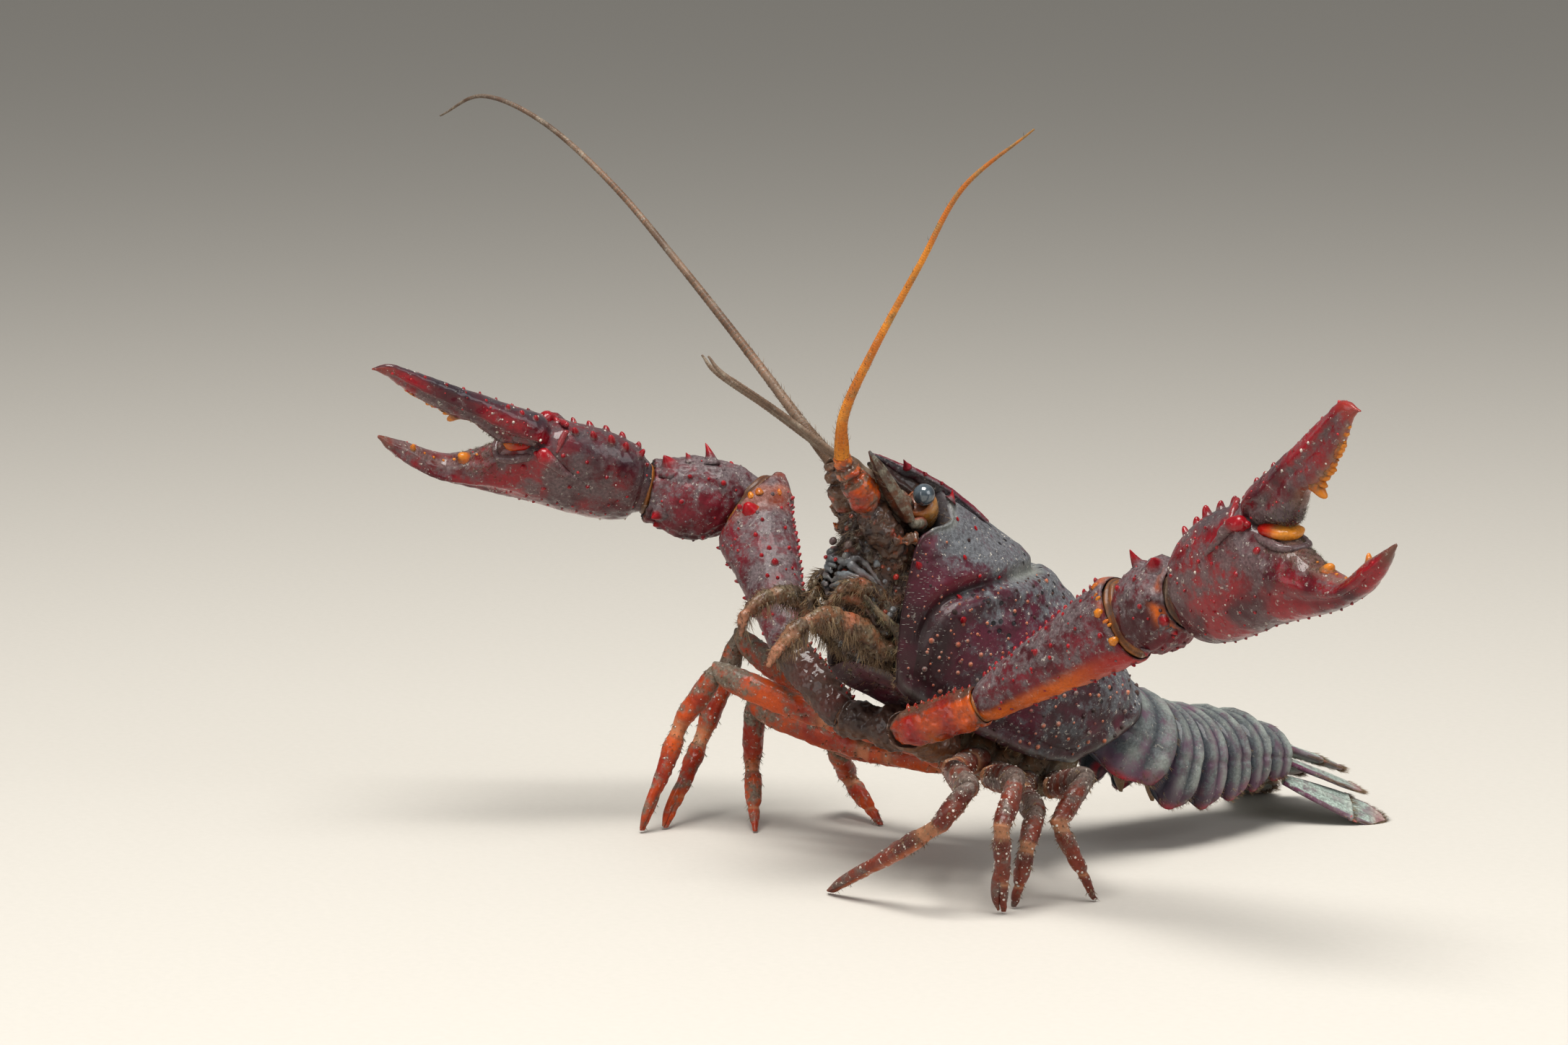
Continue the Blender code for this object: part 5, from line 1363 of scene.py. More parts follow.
# %% Hinges and whole claws
HALF_RIM = ((17.4, 5.9, 2.3), (19.8, 4.5, 2.4), (22.0, 3.2, 2.1), (23.2, 2.7, 1.1))
KNUCKLE = ((10.6, 4.4, 4.5), (13.2, 5.6, 4.55), (15.2, 6.8, 4.2), (16.6, 7.3, 3.7), (17.9, 6.9, 3.0))
CREST = ((15.2, 8.2, 2.9), (14.9, 9.3, 1.7), (14.5, 10.2, 0.7))


def hinge_skin(name, root, size, way, upward, face):
    """The patch of soft skin in the gape."""
    form = bmesh.new()
    bmesh.ops.create_uvsphere(form, u_segments=40, v_segments=24, radius=1.0)
    mesh = bpy.data.meshes.new(f"claw_{name}_hinge_skin")
    form.to_mesh(mesh)
    form.free()
    middle = root + (way * 20.4 + upward * 5.35) * size
    band_way = unit(way * 7.0 - upward * 2.6)
    fit = 1.0 if name == "left" else 0.8
    x, y, z = read(mesh).T
    ball = (middle + (np.multiply.outer(x * 3.2 * fit, band_way)
                      + np.multiply.outer(y * 1.25 * fit, np.cross(face, band_way))
                      + np.multiply.outer(z * 2.6 * fit ** 2, face)) * size)
    write(mesh, ball + specks(ball, 0.8, 2)[:, None] * 0.25)
    place = (ball - middle) @ band_way
    paint(mesh, pale=0.8 * fit ** 2 * step_up(place, 0.4, 2.2), red=1
          - fit ** 3 * step_up(place, -0.6, 1.4), mud=0.3 + 0.5 * clouds(ball, 1.5, 4))
    piece(mesh, skin_finish, "claw")


def claw(name, sign):
    """Palm, moving finger, hinge, knuckles and granules of one claw."""
    wrist, size, way, upward, face, under = claw_ways(name, sign)
    root = wrist + way * JOINT_GAP
    bodies = {"palm": palm(name, sign), "finger": finger(name, sign)}
    for part, body in bodies.items():
        claw_grit(name, part, body)
    hinge_skin(name, root, size, way, upward, face)
    half_rims = ([root + (way * a + upward * b + under * sign_c * c) * size for a, b, c in HALF_RIM]
                 for sign_c in (1, -1))
    front, back = half_rims
    rim = tube(f"claw_{name}_hinge_rim", front + back[::-1],
               ((0, 0.3), (0.15, 0.6), (0.5, 0.5), (0.85, 0.6), (1, 0.3)), 28, 90, 0.2, 0.2)
    swell(rim, clouds(read(rim), 1.4, 19) * 0.35)
    paint(rim, mud=0.85 + 0.5 * clouds(read(rim), 2.0, 20))
    piece(rim, claw_finish, "claw")
    for side_word, turned in (("under", under), ("back", -under)):
        ridge, line = ([root + (way * a + upward * b + turned * c) * size for a, b, c in table]
                       for table in (KNUCKLE, CREST))
        knuckle = tube(f"claw_{name}_knuckle_{side_word}", ridge,
                       ((0, 0.25), (0.3, 0.5), (0.6, 0.8), (0.8, 1.1), (0.92, 0.95), (1, 0.5)), 32, 50,
                       0.3, 0.5)
        row = mask(knuckle, "along")
        swell(knuckle, clouds(read(knuckle), 1.2, 16) * 0.6)
        paint(knuckle, mud=0.65 * (1 - step_up(row, 0.5, 0.7)) + 0.3 * mottle(read(knuckle), 0.8, 4),
              red=0.8 * step_up(row, 0.5, 0.75))
        piece(knuckle, claw_finish, "claw")
        crest = tube(f"claw_{name}_crest_{side_word}", line, ((0, 0.3), (0.5, 0.48), (1, 0.4)), 24, 30,
                     0.3, 0.4)
        swell(crest, clouds(read(crest), 1.2, 17) * 0.3)
        paint(crest, red=0.45, mud=0.5)
        piece(crest, claw_finish, "claw")
    for part, body in bodies.items():
        piece(body, claw_finish, "claw", f"claw_{name}_{part}")


for name, sign in SIDES:
    claw(name, sign)

# %% [markdown]
# ## The walking legs
# Four pairs of thin legs carry the thorax. Coxa to merus is one piece and carpus to dactyl the other,
# each rolled over two stretches with a narrow neck at every joint, where the soft skin shows. The
# first two pairs end in a small pincer, so a second finger is rolled beside the dactyl.

# %% The walking legs
LEG_SPREAD = 5.3
LEG_ROOTS = ((15.5, -23.2), (11.2, -22.5), (6.9, -21.0), (2.6, -18.5))
LEG_STEPS = {
    "left": (((10.0, 37, 3), (18.0, 63, 3), (6.5, -18, -49), (-81, -30)),
             ((10.5, 49, 8), (14.5, 69, 9), (8.0, 39, -38), (-130, -73)),
             ((9.0, 52, 0), (14.0, 63, 2), (5.5, 42, -40), (-64, -76)),
             ((7.5, 52, 8), (14.0, 73, 15), (8.5, 27, -32), (174, -63))),
    "right": (((17.0, -70, 5), (18.5, -58, 17), (9.0, -54, -54), (-8, -68)),
              ((18.5, -71, 11), (22.5, -75, 22), (14.0, -32, -69), (24, -52)),
              ((17.0, -62, 2), (19.5, -64, 13), (9.5, -116, -65), (61, -41)),
              ((10.5, -63, 2), (19.5, -72, 0), (8.0, -145, -47), (88, -31))),
}
LEG_UPPER = (((0.0, 1.45, 1.6), (0.22, 1.7, 1.8), (0.34, 1.3, 1.4), (0.42, 1.45, 1.55), (0.62, 1.4, 1.5),
              (0.8, 1.2, 1.3), (1.0, 1.35, 1.5)),
             ((0.06, 1.15, 1.25), (0.16, 1.35, 1.6), (0.45, 1.4, 1.9), (0.8, 1.5, 1.85),
              (0.93, 1.45, 1.7), (1.0, 1.25, 1.4)))
LEG_LOWER = (((0.0, 1.0, 1.1), (0.14, 1.25, 1.45), (0.45, 1.3, 1.5), (0.85, 1.25, 1.35),
              (1.0, 1.0, 1.05)), ((0.1, 0.95, 1.0), (0.2, 1.15, 1.25), (0.42, 1.05, 1.15),
                                  (0.58, 0.9, 0.95), (0.64, 0.66, 0.7), (0.7, 0.72, 0.76),
                                  (0.86, 0.5, 0.52), (1.0, 0.3, 0.3)))
LEG_FINGER = ((0.5, 0.35), (0.62, 0.85), (0.8, 1.05), (0.95, 0.7))
LEG_COLUMNS = 36
LEG_ROWS = (44, 56)
print("length without the tips, in mm:", {name: [sum(step[0] for step in steps[:-1]) for steps in table]
                                          for name, table in LEG_STEPS.items()})

# %% [markdown]
# ## One walking leg
# Both pieces of a leg are painted alike: dust on top, red below and pale necks at the joints. The
# grid's rows tell which of the two stretches a point is in, and so where its joints are.

# %% One walking leg
def leg_marks(mesh, rows, ringed):
    """Which stretch each point of a leg piece is in, and how far along that stretch."""
    row = mask(mesh, "along") * (ringed - 1) - len(CUP)
    first = row <= rows[0]
    return first, np.where(first, row / rows[0], (row - rows[0] - 1) / rows[1])


def above_floor(mesh, low=0.0):
    """Lift the points that are lower than low."""
    places = read(mesh)
    places[:, 2] = np.maximum(places[:, 2], low)
    write(mesh, places)


def leg_part(name, part, rings, sign, number, finish):
    """Skin, colours and granules of one piece of a leg."""
    if part == "lower":
        rings = rings[:-1]
    rings = caps(rings, first=0.35, last=0.4 if part == "upper" else 0.05, steps=CUP)
    body = skin(f"{name}_{part}_shell", rings)
    in_first, share = leg_marks(body, LEG_ROWS, len(rings))
    places, ways = read(body), facing(body)
    if part == "upper":
        neck = np.where(in_first, bell(share, 0.34, 0.05) + bell(share, 0.82, 0.06), bell(share, 0.0, 0.06))
        tip = np.where(in_first, 0, bell(share, 1.0, 0.05))
    else:
        neck = np.where(in_first, bell(share, 0.98, 0.05), bell(share, 0.62, 0.025)
                        + bell(share, 0.0, 0.05))
        tip = np.where(in_first, 0, step_up(share, 0.92, 1.0))
    out = clouds(places, 1.8, 17) * 0.42 + specks(places, 0.6, 18) * 0.16
    swell(body, out * (1 - tip) * step_up(mask(body, "along"), 0.04, 0.1))
    above_floor(body)
    high, down = np.clip(ways[:, 2], 0, 1), np.clip(-ways[:, 2], 0, 1)
    knee = bell(share, 0.0 if part == "lower" else 1.0, 0.25) * (in_first if part == "lower" else ~in_first)
    dust = 0.2 + 0.3 * high + 0.55 * knee + 0.5 * clouds(places, 3.5, 19)
    paint(body, mud=dust, pale=0.55 * neck, red=0.6 * step_up(down, 0.3, 0.9)
          * (0.5 + 0.5 * mottle(places, 2.0, 2)), dark=0.35 * bell(neck, 0.6, 0.2))
    spots, spot_ways, _ = strewn(body, 80 if sign > 0 else 30, 0.5,
                                 lambda c, w, m: (m[:, 1] > 0.12) * (m[:, 1] < 0.9), 90 + number)
    sizes = 0.06 + 0.12 * np.random.default_rng(number).random(len(spots)) ** 2
    dots = grow(f"{name}_{part}_granules", BEAD, spots, spot_ways, sizes, sizes, lean=-SKY, tilt=0.3)
    paint(dots, pale=0.6 * (mask(dots, "tone") > 0.5), mud=0.5)
    piece(dots, speck_finish, "leg")
    piece(body, finish, "leg", f"{name}_{part}")


def leg(side_name, number, sign, finish):
    """The two pieces of one walking leg, and the small second finger of the first two pairs."""
    steps = LEG_STEPS[side_name][number]
    root = thorax(sign * LEG_SPREAD, *LEG_ROOTS[number])
    joints = walk(root, steps)
    cuts = mitres(joints, LEFT * sign, -SKY)
    side = heading(steps[1][1] - 90 * sign, 0)
    name = f"leg_{side_name}_{number + 1}"
    for part, first, shapes in (("upper", 0, LEG_UPPER), ("lower", 2, LEG_LOWER)):
        rings = limb_rings(joints[first:first + 3], cuts[first:first + 3], shapes, side, LEG_COLUMNS,
                           LEG_ROWS, 0.9)
        leg_part(name, part, rings, sign, number, finish)
    if number < 2:
        start, end = joints[-2:]
        line = [start + (end - start) * share + side * out for share, out in LEG_FINGER]
        finger = tube(f"{name}_finger_shell", line, ((0, 0.7), (0.3, 0.68), (0.7, 0.5), (1, 0.18)), 24,
                      26, 0.3, 0.1)
        above_floor(finger)
        paint(finger, mud=0.35, pale=0.3 * step_up(mask(finger, "along"), 0.7, 1))
        piece(finger, finish, "leg")


for name, sign in SIDES:
    for number in range(4):
        leg(name, number, sign, left_leg_finish if sign > 0 else right_leg_finish)

# %% [markdown]
# ## The abdomen
# Six ring plates overlap like roof tiles, the rear edge of each riding over the front of the next. On
# each side a plate hangs down as a rounded flap, the pleuron, and underneath it is hollow. One ring
# of the plate is drawn as an arch, a flap and a belly; along the plate the ring narrows at the front
# to slip under its neighbour and ends in a pale rolled edge.

# %% The abdomen
TAIL_ROOT = (0.0, 5.6, -8.3)
TAIL_GRID = (152, 46)
HALF_TURN = 10              # a ring's half is read off the arch and flap tables as 0 to 10
TAIL_STEPS = ((12.6, 180, -32), (5.5, -171, -21), (5.4, -170, -8), (5.4, -170, -4), (5.2, -170, -3),
              (5.6, -172, -10))
TAIL_WIDTHS = (8.4, 9.8, 9.7, 9.2, 8.5, 7.6, 6.4)
TAIL_TOPS = (6.6, 7.8, 7.4, 6.9, 6.3, 5.4, 3.8)
TAIL_FLAPS = (5.6, 6.6, 6.2, 5.4, 4.6, 3.2)
ARCH_TURNS = (0, 22, 44, 64, 82, 96)
FLAP_X = (0.97, 0.86, 0.76, 0.68, 0.0)
FLAP_Y = (-0.62, -1.0, -0.9, -0.5, -0.42)
SWIMMERET = ((0.0, -0.5, 0.5, 0.35), (0.8, -0.55, 0.55, 0.35), (1.4, -0.9, 0.9, 0.3),
             (2.8, -1.0, 1.0, 0.28), (4.4, -0.35, 0.35, 0.15))


def tail_rings(number, joints, cuts, columns, rows):
    """Rings of one plate with its flaps, and its way, side and up."""
    start, end = joints[number], joints[number + 1]
    way = unit(end - start)
    side = unit(LEFT - way * LEFT.dot(way))
    up = np.cross(side, way)
    signed = 2 * np.arange(columns) / columns - 1
    step = np.abs(signed) * HALF_TURN
    arch_x = [math.sin(math.radians(turn)) for turn in ARCH_TURNS]
    arch_y = [math.cos(math.radians(turn)) for turn in ARCH_TURNS]
    half_line = list(enumerate(arch_x + list(FLAP_X)))
    top_line = list(enumerate(arch_y + [0.0] * 5))
    flap_line = list(enumerate([0.0] * 6 + list(FLAP_Y)))
    size_line = ((-0.2, 0.86), (0.0, 0.905), (0.16, 0.95), (0.3, 0.985), (0.6, 1.0), (0.95, 1.005),
                 (1.06, 0.99))
    lobe_line = ((-0.2, 0.45), (0.0, 0.62), (0.25, 0.9), (0.5, 1.0), (0.75, 0.95), (1.0, 0.7), (1.06, 0.6))
    first = 0.0 if number == 0 else -0.14
    rings = []
    for fraction in np.linspace(first, 1.05 if number < 5 else 1.0, rows + 1):
        half = TAIL_WIDTHS[number] + (TAIL_WIDTHS[number + 1] - TAIL_WIDTHS[number]) * fraction
        top = TAIL_TOPS[number] + (TAIL_TOPS[number + 1] - TAIL_TOPS[number]) * fraction
        size, lobe = float(along(fraction, size_line)), float(along(fraction, lobe_line))
        x = np.sign(signed) * half * size * along(step, half_line)
        y = top * size * along(step, top_line) + TAIL_FLAPS[number] * lobe * along(step, flap_line)
        share = min(1.0, max(0.0, fraction))
        cut = unit(cuts[number] * (1 - share) + cuts[number + 1] * share)
        out = np.multiply.outer(x, side) + np.multiply.outer(y, up)
        rings.append(start + (end - start) * fraction + out
                     - np.multiply.outer((out @ cut) / way.dot(cut), way))
    return np.array(rings), way, side, up


print("the abdomen is", round(sum(step[0] for step in TAIL_STEPS), 1), "mm long without its fan")

# %% [markdown]
# ## Six plates and their paddles
# Each plate is dented where the next one ahead rests on it, has a raised rear edge and a seam above
# its flap, and is striped pale, with painted shade in that dent, in the groove before the rear edge
# and underneath. Under the middle four hang small paddles, mostly hidden.

# %% Six plates and their paddles
def swimmerets(number, way, side, up):
    """The small paddle under each side of a plate."""
    for side_name, sign in SIDES:
        middle = (tail_joints[number] + tail_joints[number + 1]) / 2
        root = middle + side * (sign * TAIL_WIDTHS[number] * 0.32) - up * (TAIL_FLAPS[number] * 0.42 - 0.3)
        fin_way = unit(way * 0.7 - up)
        fin_side = unit(side - fin_way * side.dot(fin_way))
        fin = skin(f"swimmeret_{number + 1}_{side_name}",
                   caps(plate_rings(root, fin_way, fin_side, SWIMMERET, 24, 24), 0.1, 0.05))
        above_floor(fin, 0.05)
        paint(fin, mud=0.3, pale=0.4)
        piece(fin, belly_finish, "tail")


tail_joints = walk(thorax(*TAIL_ROOT), TAIL_STEPS)
tail_cuts = mitres(tail_joints, -AHEAD)
for number in range(6):
    rings, way, side, up = tail_rings(number, tail_joints, tail_cuts, *TAIL_GRID)
    rings = caps(rings, first=0.0, last=0.0, steps=(0.985, 0.95, 0.8, 0.4, 0.0))
    plate = skin(f"tail_{number + 1}_plate", rings)
    row = (mask(plate, "along") * (len(rings) - 1) - 5) / TAIL_GRID[1]
    turn = np.abs(2 * mask(plate, "round") - 1) * HALF_TURN
    places, ways = read(plate), facing(plate)
    outer = 1 - step_up(turn, 7.2, 7.8)
    out = clouds(places, 3.0, 23) * 0.25 + specks(places, 0.8, 24) * 0.06
    out += -0.8 * bell(row, 0.3, 0.13) + 0.35 * bell(row, 0.92, 0.08) - 0.15 * bell(row, 0.74, 0.04)
    out += -0.2 * bell(turn, 4.4, 0.35) + 0.25 * bell(turn, 6.6, 0.5) * bell(row, 0.5, 0.3)
    swell(plate, out * outer * step_up(row, -0.0, 0.06) * step_up(1 - row, 0.0, 0.04))
    flap = step_up(turn, 5.4, 6.8) * outer
    dust = 0.5 + 0.25 * np.clip(ways[:, 2], 0, 1) + 0.6 * clouds(places, 3.0, 25) - 0.65 * flap
    stripe = ((bell(row, 0.9, 0.09) + 0.8 * bell(row, 0.56, 0.1))
              * (0.3 + 0.7 * blots(places, 1.6, 6, 0.25, 0.7)))
    hem = flap * bell(row, 0.95, 0.07) if number == 0 else 0.0
    # dark is painted shade: in the dent under the edge of the plate ahead, along the groove before the rear
    # edge, and on the belly
    paint(plate, mud=dust, pale=0.8 * stripe * outer * (1 - 0.7 * flap),
          red=0.95 * step_up(turn, 6.4, 7.0) * bell(row, 0.6, 0.2)
          + 0.35 * flap * blots(places, 2.0, 7, 0.5, 0.8) + 0.3 * hem,
          dark=0.95 * bell(row, 0.3, 0.2) * (0.7 + 0.3 * mottle(places, 2.2, 8))
          + 0.6 * bell(row, 0.73, 0.05) * (1 - flap) + 0.3 * (1 - outer))
    piece(plate, tail_finish, "tail", f"tail_{number + 1}")
    if 0 < number < 5:
        swimmerets(number, way, side, up)

# %% [markdown]
# ## The tail fan
# The telson is a flat plate with a cross seam and a spine at each corner of it. Two pairs of uropods
# spread beside it, each with a raised rib down its middle, and the outer pair has a cross seam as
# well. All are rolled from flat rings, ribbed by pushing the points out, and end in a fringe of hair.

# %% The tail fan
FAN_YAW = -172
FAN_SLOPE = -21
BLADE_GRID = (70, 110)
TELSON = ((0.0, -2.4, 2.4, 0.75), (1.2, -3.3, 3.3, 0.8), (3.0, -3.9, 3.9, 0.65),
          (9.2, -3.65, 3.65, 0.55), (9.6, -3.5, 3.5, 0.5), (13.5, -3.2, 3.2, 0.4),
          (14.8, -2.3, 2.3, 0.3), (15.4, -1.2, 1.2, 0.2))
INNER_BLADE = ((0.5, -0.9, 0.9, 0.5), (3.5, -1.8, 1.8, 0.45), (9.0, -2.8, 2.8, 0.4),
               (13.2, -2.4, 2.4, 0.3), (14.6, -1.5, 1.5, 0.2), (15.0, -0.7, 0.7, 0.15))
OUTER_BLADE = ((0.9, -0.9, 0.9, 0.55), (3.5, -1.9, 1.9, 0.5), (9.5, -3.2, 3.2, 0.45),
               (11.6, -3.3, 3.3, 0.45), (12.0, -3.15, 3.15, 0.38), (14.6, -3.0, 3.0, 0.35),
               (16.6, -2.0, 2.0, 0.22), (17.2, -0.9, 0.9, 0.15))


def blade(name, start, way, side, stations, node, seam, ribs):
    """One blade of the fan, with its ribs, its cross seam and a spur at each end of that."""
    side = unit(side - way * side.dot(way))
    body = skin(name, caps(plate_rings(start, way, side, stations, *BLADE_GRID, 0.75), 0.15, 0.05))
    places = read(body)
    a, b = (places - start) @ way, (places - start) @ side
    half = along(a, column(stations, 2))
    across = b / np.maximum(half, 0.1)
    inner = 1 - step_up(np.abs(across), 0.8, 0.98)
    out = clouds(places, 2.2, 31) * 0.14 * inner
    for middle, width, tall in ribs:
        out += tall * bell(across, middle, width) * inner * step_up(a, 1.0, 2.5)
    if seam:
        out += -0.18 * bell(a, seam, 0.25) + 0.12 * bell(a, seam - 0.5, 0.3)
    out += 0.04 * np.sin(across * 40) * step_up(a, seam or 9, (seam or 9) + 1) * inner
    swell(body, out)
    above_floor(body)
    rim = step_up(np.abs(across), 0.72, 0.9)
    end = step_up(a, stations[-1][0] - 3.5, stations[-1][0] - 0.8)
    paint(body, mud=0.75 - 0.7 * rim - 0.2 * end + 0.3 * clouds(places, 3.0, 32),
          red=0.45 * end * (0.4 + 0.6 * mottle(places, 1.5, 2)), pale=0.35 * bell(across, 0, 0.12)
          + 0.25 * bell(a, (seam or 99) - 0.5, 0.3), dark=0.25 * bell(np.abs(across), 0.22, 0.08))
    piece(body, fan_finish, "tail_fan", node)
    if seam:
        for side_name, sign in SIDES:
            half_here = float(along(seam, column(stations, 2)))
            spot = start + way * (seam - 0.5) + side * (sign * (half_here - 0.25))
            spur = grow(f"{name}_spur_{side_name}", SPIKE, spot[None],
                        unit(way * 1.6 + side * sign)[None], 0.3, 1.0)
            paint(spur, red=0.6, mud=0.2)
            piece(spur, fan_finish, "tail_fan")


fan_root = tail_joints[-1]
fan_way = heading(FAN_YAW, FAN_SLOPE)
fan_side = unit(LEFT - fan_way * LEFT.dot(fan_way))
fan_up = np.cross(fan_side, fan_way)
blade("telson_plate", fan_root + fan_up * 1.6, fan_way, fan_side, TELSON, "telson", 9.4,
      ((0.45, 0.1, 0.12), (-0.45, 0.1, 0.12)))
for name, sign in SIDES:
    for kind, stations, out, drop, yaw, roll, dip, seam in (("inner", INNER_BLADE, 3.4, -0.1, 13, 12, -2,
                                                             0),
                                                            ("outer", OUTER_BLADE, 5.0, -2.8, 28, 29, -3,
                                                             11.8)):
        roll = math.radians(roll)
        blade_way = heading(FAN_YAW - sign * yaw, FAN_SLOPE + dip)
        blade_side = fan_side * (sign * math.cos(roll)) - fan_up * math.sin(roll)
        start = fan_root + fan_side * (sign * out) + fan_up * drop
        blade(f"uropod_{kind}_{name}_plate", start, blade_way, blade_side, stations,
              f"uropod_{kind}_{name}", seam, ((0.0, 0.12, 0.3),))

# %% [markdown]
# ## The rostrum
# The shell runs out in front in a long flat beak between the eyes, with raised edges, a shallow trough
# between them, a small spine on each side and a sharp tip. Its cross section is drawn once, as a curve
# from the trough over the raised edge and round to the keel below, and is stretched to the widths and
# heights along it.

# %% The rostrum
ROSTRUM = ((34.0, 4.5, 2.6, 0.4), (36.0, 4.4, 2.7, 0.5), (41.0, 3.9, 2.6, 0.8), (45.0, 3.15, 2.0, 0.6),
           (48.0, 2.5, 1.3, 0.15), (48.7, 1.8, 1.05, 0.05), (49.2, 1.4, 0.95, 0.0),
           (51.0, 0.75, 0.5, -0.15), (52.0, 0.3, 0.15, -0.3))
BEAK_X = (0.0, 0.45, 0.72, 0.86, 0.98, 0.93, 0.55, 0.0)
BEAK_Y = (-0.55, -0.42, 0.1, 0.3, -0.05, -0.45, 0.0, -0.3)
BEAK_TOP = (1, 1, 1, 1, 1, 1, 0, 0)

ahead = np.linspace(34.0, 52.0, 121)
half, top, low = (along(ahead, column(ROSTRUM, i)) for i in (1, 2, 3))
signed = 2 * np.arange(96) / 96 - 1
step = np.abs(signed) * 7
share = np.clip(along(step, list(enumerate(BEAK_TOP))), 0, 1)
left = np.outer(half, np.sign(signed) * along(step, list(enumerate(BEAK_X))))
slim = np.clip(half / 2.5, 0.25, 1)[:, None]
up = top[:, None] * share + low[:, None] * (1 - share) + slim * along(step, list(enumerate(BEAK_Y)))
rings = REAR_EDGE + left[..., None] * LEFT + ahead[:, None, None] * AHEAD + up[..., None] * BACK_UP
beak = skin("rostrum", caps(rings, 0.0, 0.15))
row = mask(beak, "along")
turn = np.abs(2 * mask(beak, "round") - 1) * 7
places = read(beak)
swell(beak, clouds(places, 1.6, 41) * 0.2 * step_up(row, 0.05, 0.2)
      + 0.1 * np.sin(places @ BACK_UP * 9) * step_up(turn, 5.4, 6.2))
edge = bell(turn, 3.4, 0.9)
# dark on the beak's underside is painted shade, in patches; a fainter darker band runs along the inner wall
# of each raised edge
paint(beak, red=0.55 * edge * (0.4 + 0.6 * mottle(places, 1.2, 3)), mud=0.75 - 0.6 * edge
      - 0.3 * step_up(turn, 5.2, 6.0), dark=0.75 * step_up(turn, 5.2, 6.2)
      * (0.35 + 0.65 * mottle(places, 0.7, 4)) + 0.3 * bell(turn, 2.3, 0.4), pit=0.7 * (turn < 2.5))
piece(beak, carapace_finish, "carapace", "carapace")

BEAK_SPINES = ((2.35, 48.2, 1.25), (3.0, 45.6, 1.95), (3.5, 43.0, 2.4))
spots = np.array([place for _, sign in SIDES for place in side_line(sign, BEAK_SPINES)])
ways = unit(np.array([AHEAD * 1.0 + LEFT * sign * 0.45 + BACK_UP * 0.15 for _, sign in SIDES
                      for _ in BEAK_SPINES]))
spurs = grow("rostrum_spines", SPIKE, spots, ways, np.array([0.42, 0.22, 0.2] * 2),
             np.array([1.5, 0.55, 0.45] * 2))
paint(spurs, red=0.8, dark=0.3 * step_up(mask(spurs, "tip"), 0.7, 1))
piece(spurs, carapace_finish, "carapace")

# %% [markdown]
# ## Eyes on stalks
# Each eye is a glossy ball on a short movable stalk that sits in the notch beside the rostrum. The ball
# is rolled from rings on half a circle, and the stalk's end is drawn up round it as a cup. Under a wet
# clear coat the dark lens looks blue-grey, so the finish has a dark base, a painted pale blue sheen in
# soft patches and a full coat.

# %% Eyes on stalks
eye_finish, tree, shader, place = new_finish("eye_ball")
# The pale blue patches in the base colour are a painted sheen.
painted_sheen = ramp(tree, noise(tree, place, 500.0, 2.0, 0.5), 0.35, 0.7)
tree.links.new(mixed(tree, painted_sheen, rgb((0.014, 0.02, 0.028)), rgb((0.065, 0.09, 0.11))),
               shader.inputs["Base Color"])
shader.inputs["Roughness"].default_value = 0.16
shader.inputs["Coat Weight"].default_value = 1.0
shader.inputs["Coat Roughness"].default_value = 0.05
facets = tree.nodes.new("ShaderNodeTexVoronoi")
tree.links.new(place, facets.inputs["Vector"])
facets.inputs["Scale"].default_value = 9000.0
bump = tree.nodes.new("ShaderNodeBump")
bump.inputs["Strength"].default_value = 0.15
bump.inputs["Distance"].default_value = 0.00002
tree.links.new(facets.outputs["Distance"], bump.inputs["Height"])
tree.links.new(bump.outputs["Normal"], shader.inputs["Normal"])
stalk_finish = shell_finish("eyestalk_skin", (0.2, 0.08, 0.016), (0.45, 0.2, 0.04), (0.2, 0.13, 0.07),
                            (0.28, 0.025, 0.02), (0.5, 0.36, 0.18), rough=0.18, coat=1.0, grit=0.3,
                            clouds=900.0)

EYE_LINE = ((2.9, 41.3, -2.8), (4.4, 43.6, -2.2), (5.9, 45.4, -1.5))
EYE_HALF = 1.46             # half width of the ball
EYE_REACH = 1.5             # half length of the ball along its stalk
EYE_OUT = 0.85              # how far its middle stands past the stalk's end

for name, sign in SIDES:
    line = side_line(sign, EYE_LINE)
    way = unit(line[2] - line[1])
    across = unit(np.cross(AHEAD, way))
    cup_line = line[:2] + [thorax(sign * 5.4, 45.55, -2.1)]
    rings = feeler_rings(cup_line, ((0, 1.2), (0.3, 1.8), (0.68, 2.15), (0.88, 2.1), (1, 1.65)), 56, 44,
                         FACE_WAY)
    stalk = skin(f"eyestalk_{name}_skin", caps(rings, 0.3, -0.35))
    places = read(stalk)
    rim = bell(mask(stalk, "along"), 0.86, 0.05)
    swell(stalk, clouds(places, 1.0, 51) * 0.12 + 0.1 * rim)
    # dark near the stalk's end is painted shade inside the cup that holds the ball
    paint(stalk, mud=0.25 + 0.5 * clouds(places, 1.5, 52), red=0.5
          * step_up(places @ AHEAD, *np.quantile(places @ AHEAD, (0.5, 0.9))),
          dark=0.5 * bell(mask(stalk, "along"), 0.94, 0.04))
    piece(stalk, stalk_finish, "eyestalk", f"eyestalk_{name}")
    turns = np.radians(np.linspace(-50, 90, 40))
    rings = []
    for turn in turns:
        close = max(math.cos(turn), 1e-5)
        centre = line[2] + way * (EYE_OUT + EYE_REACH * math.sin(turn))
        rings.append(oval(centre, across * EYE_HALF * close, np.cross(way, across) * EYE_HALF * close, 64))
    ball = skin(f"eye_{name}_ball", np.concatenate((caps(rings[:-1], 0.0, 0.0)[:-5], [rings[-1]])))
    piece(ball, eye_finish, "eye", f"eye_{name}")
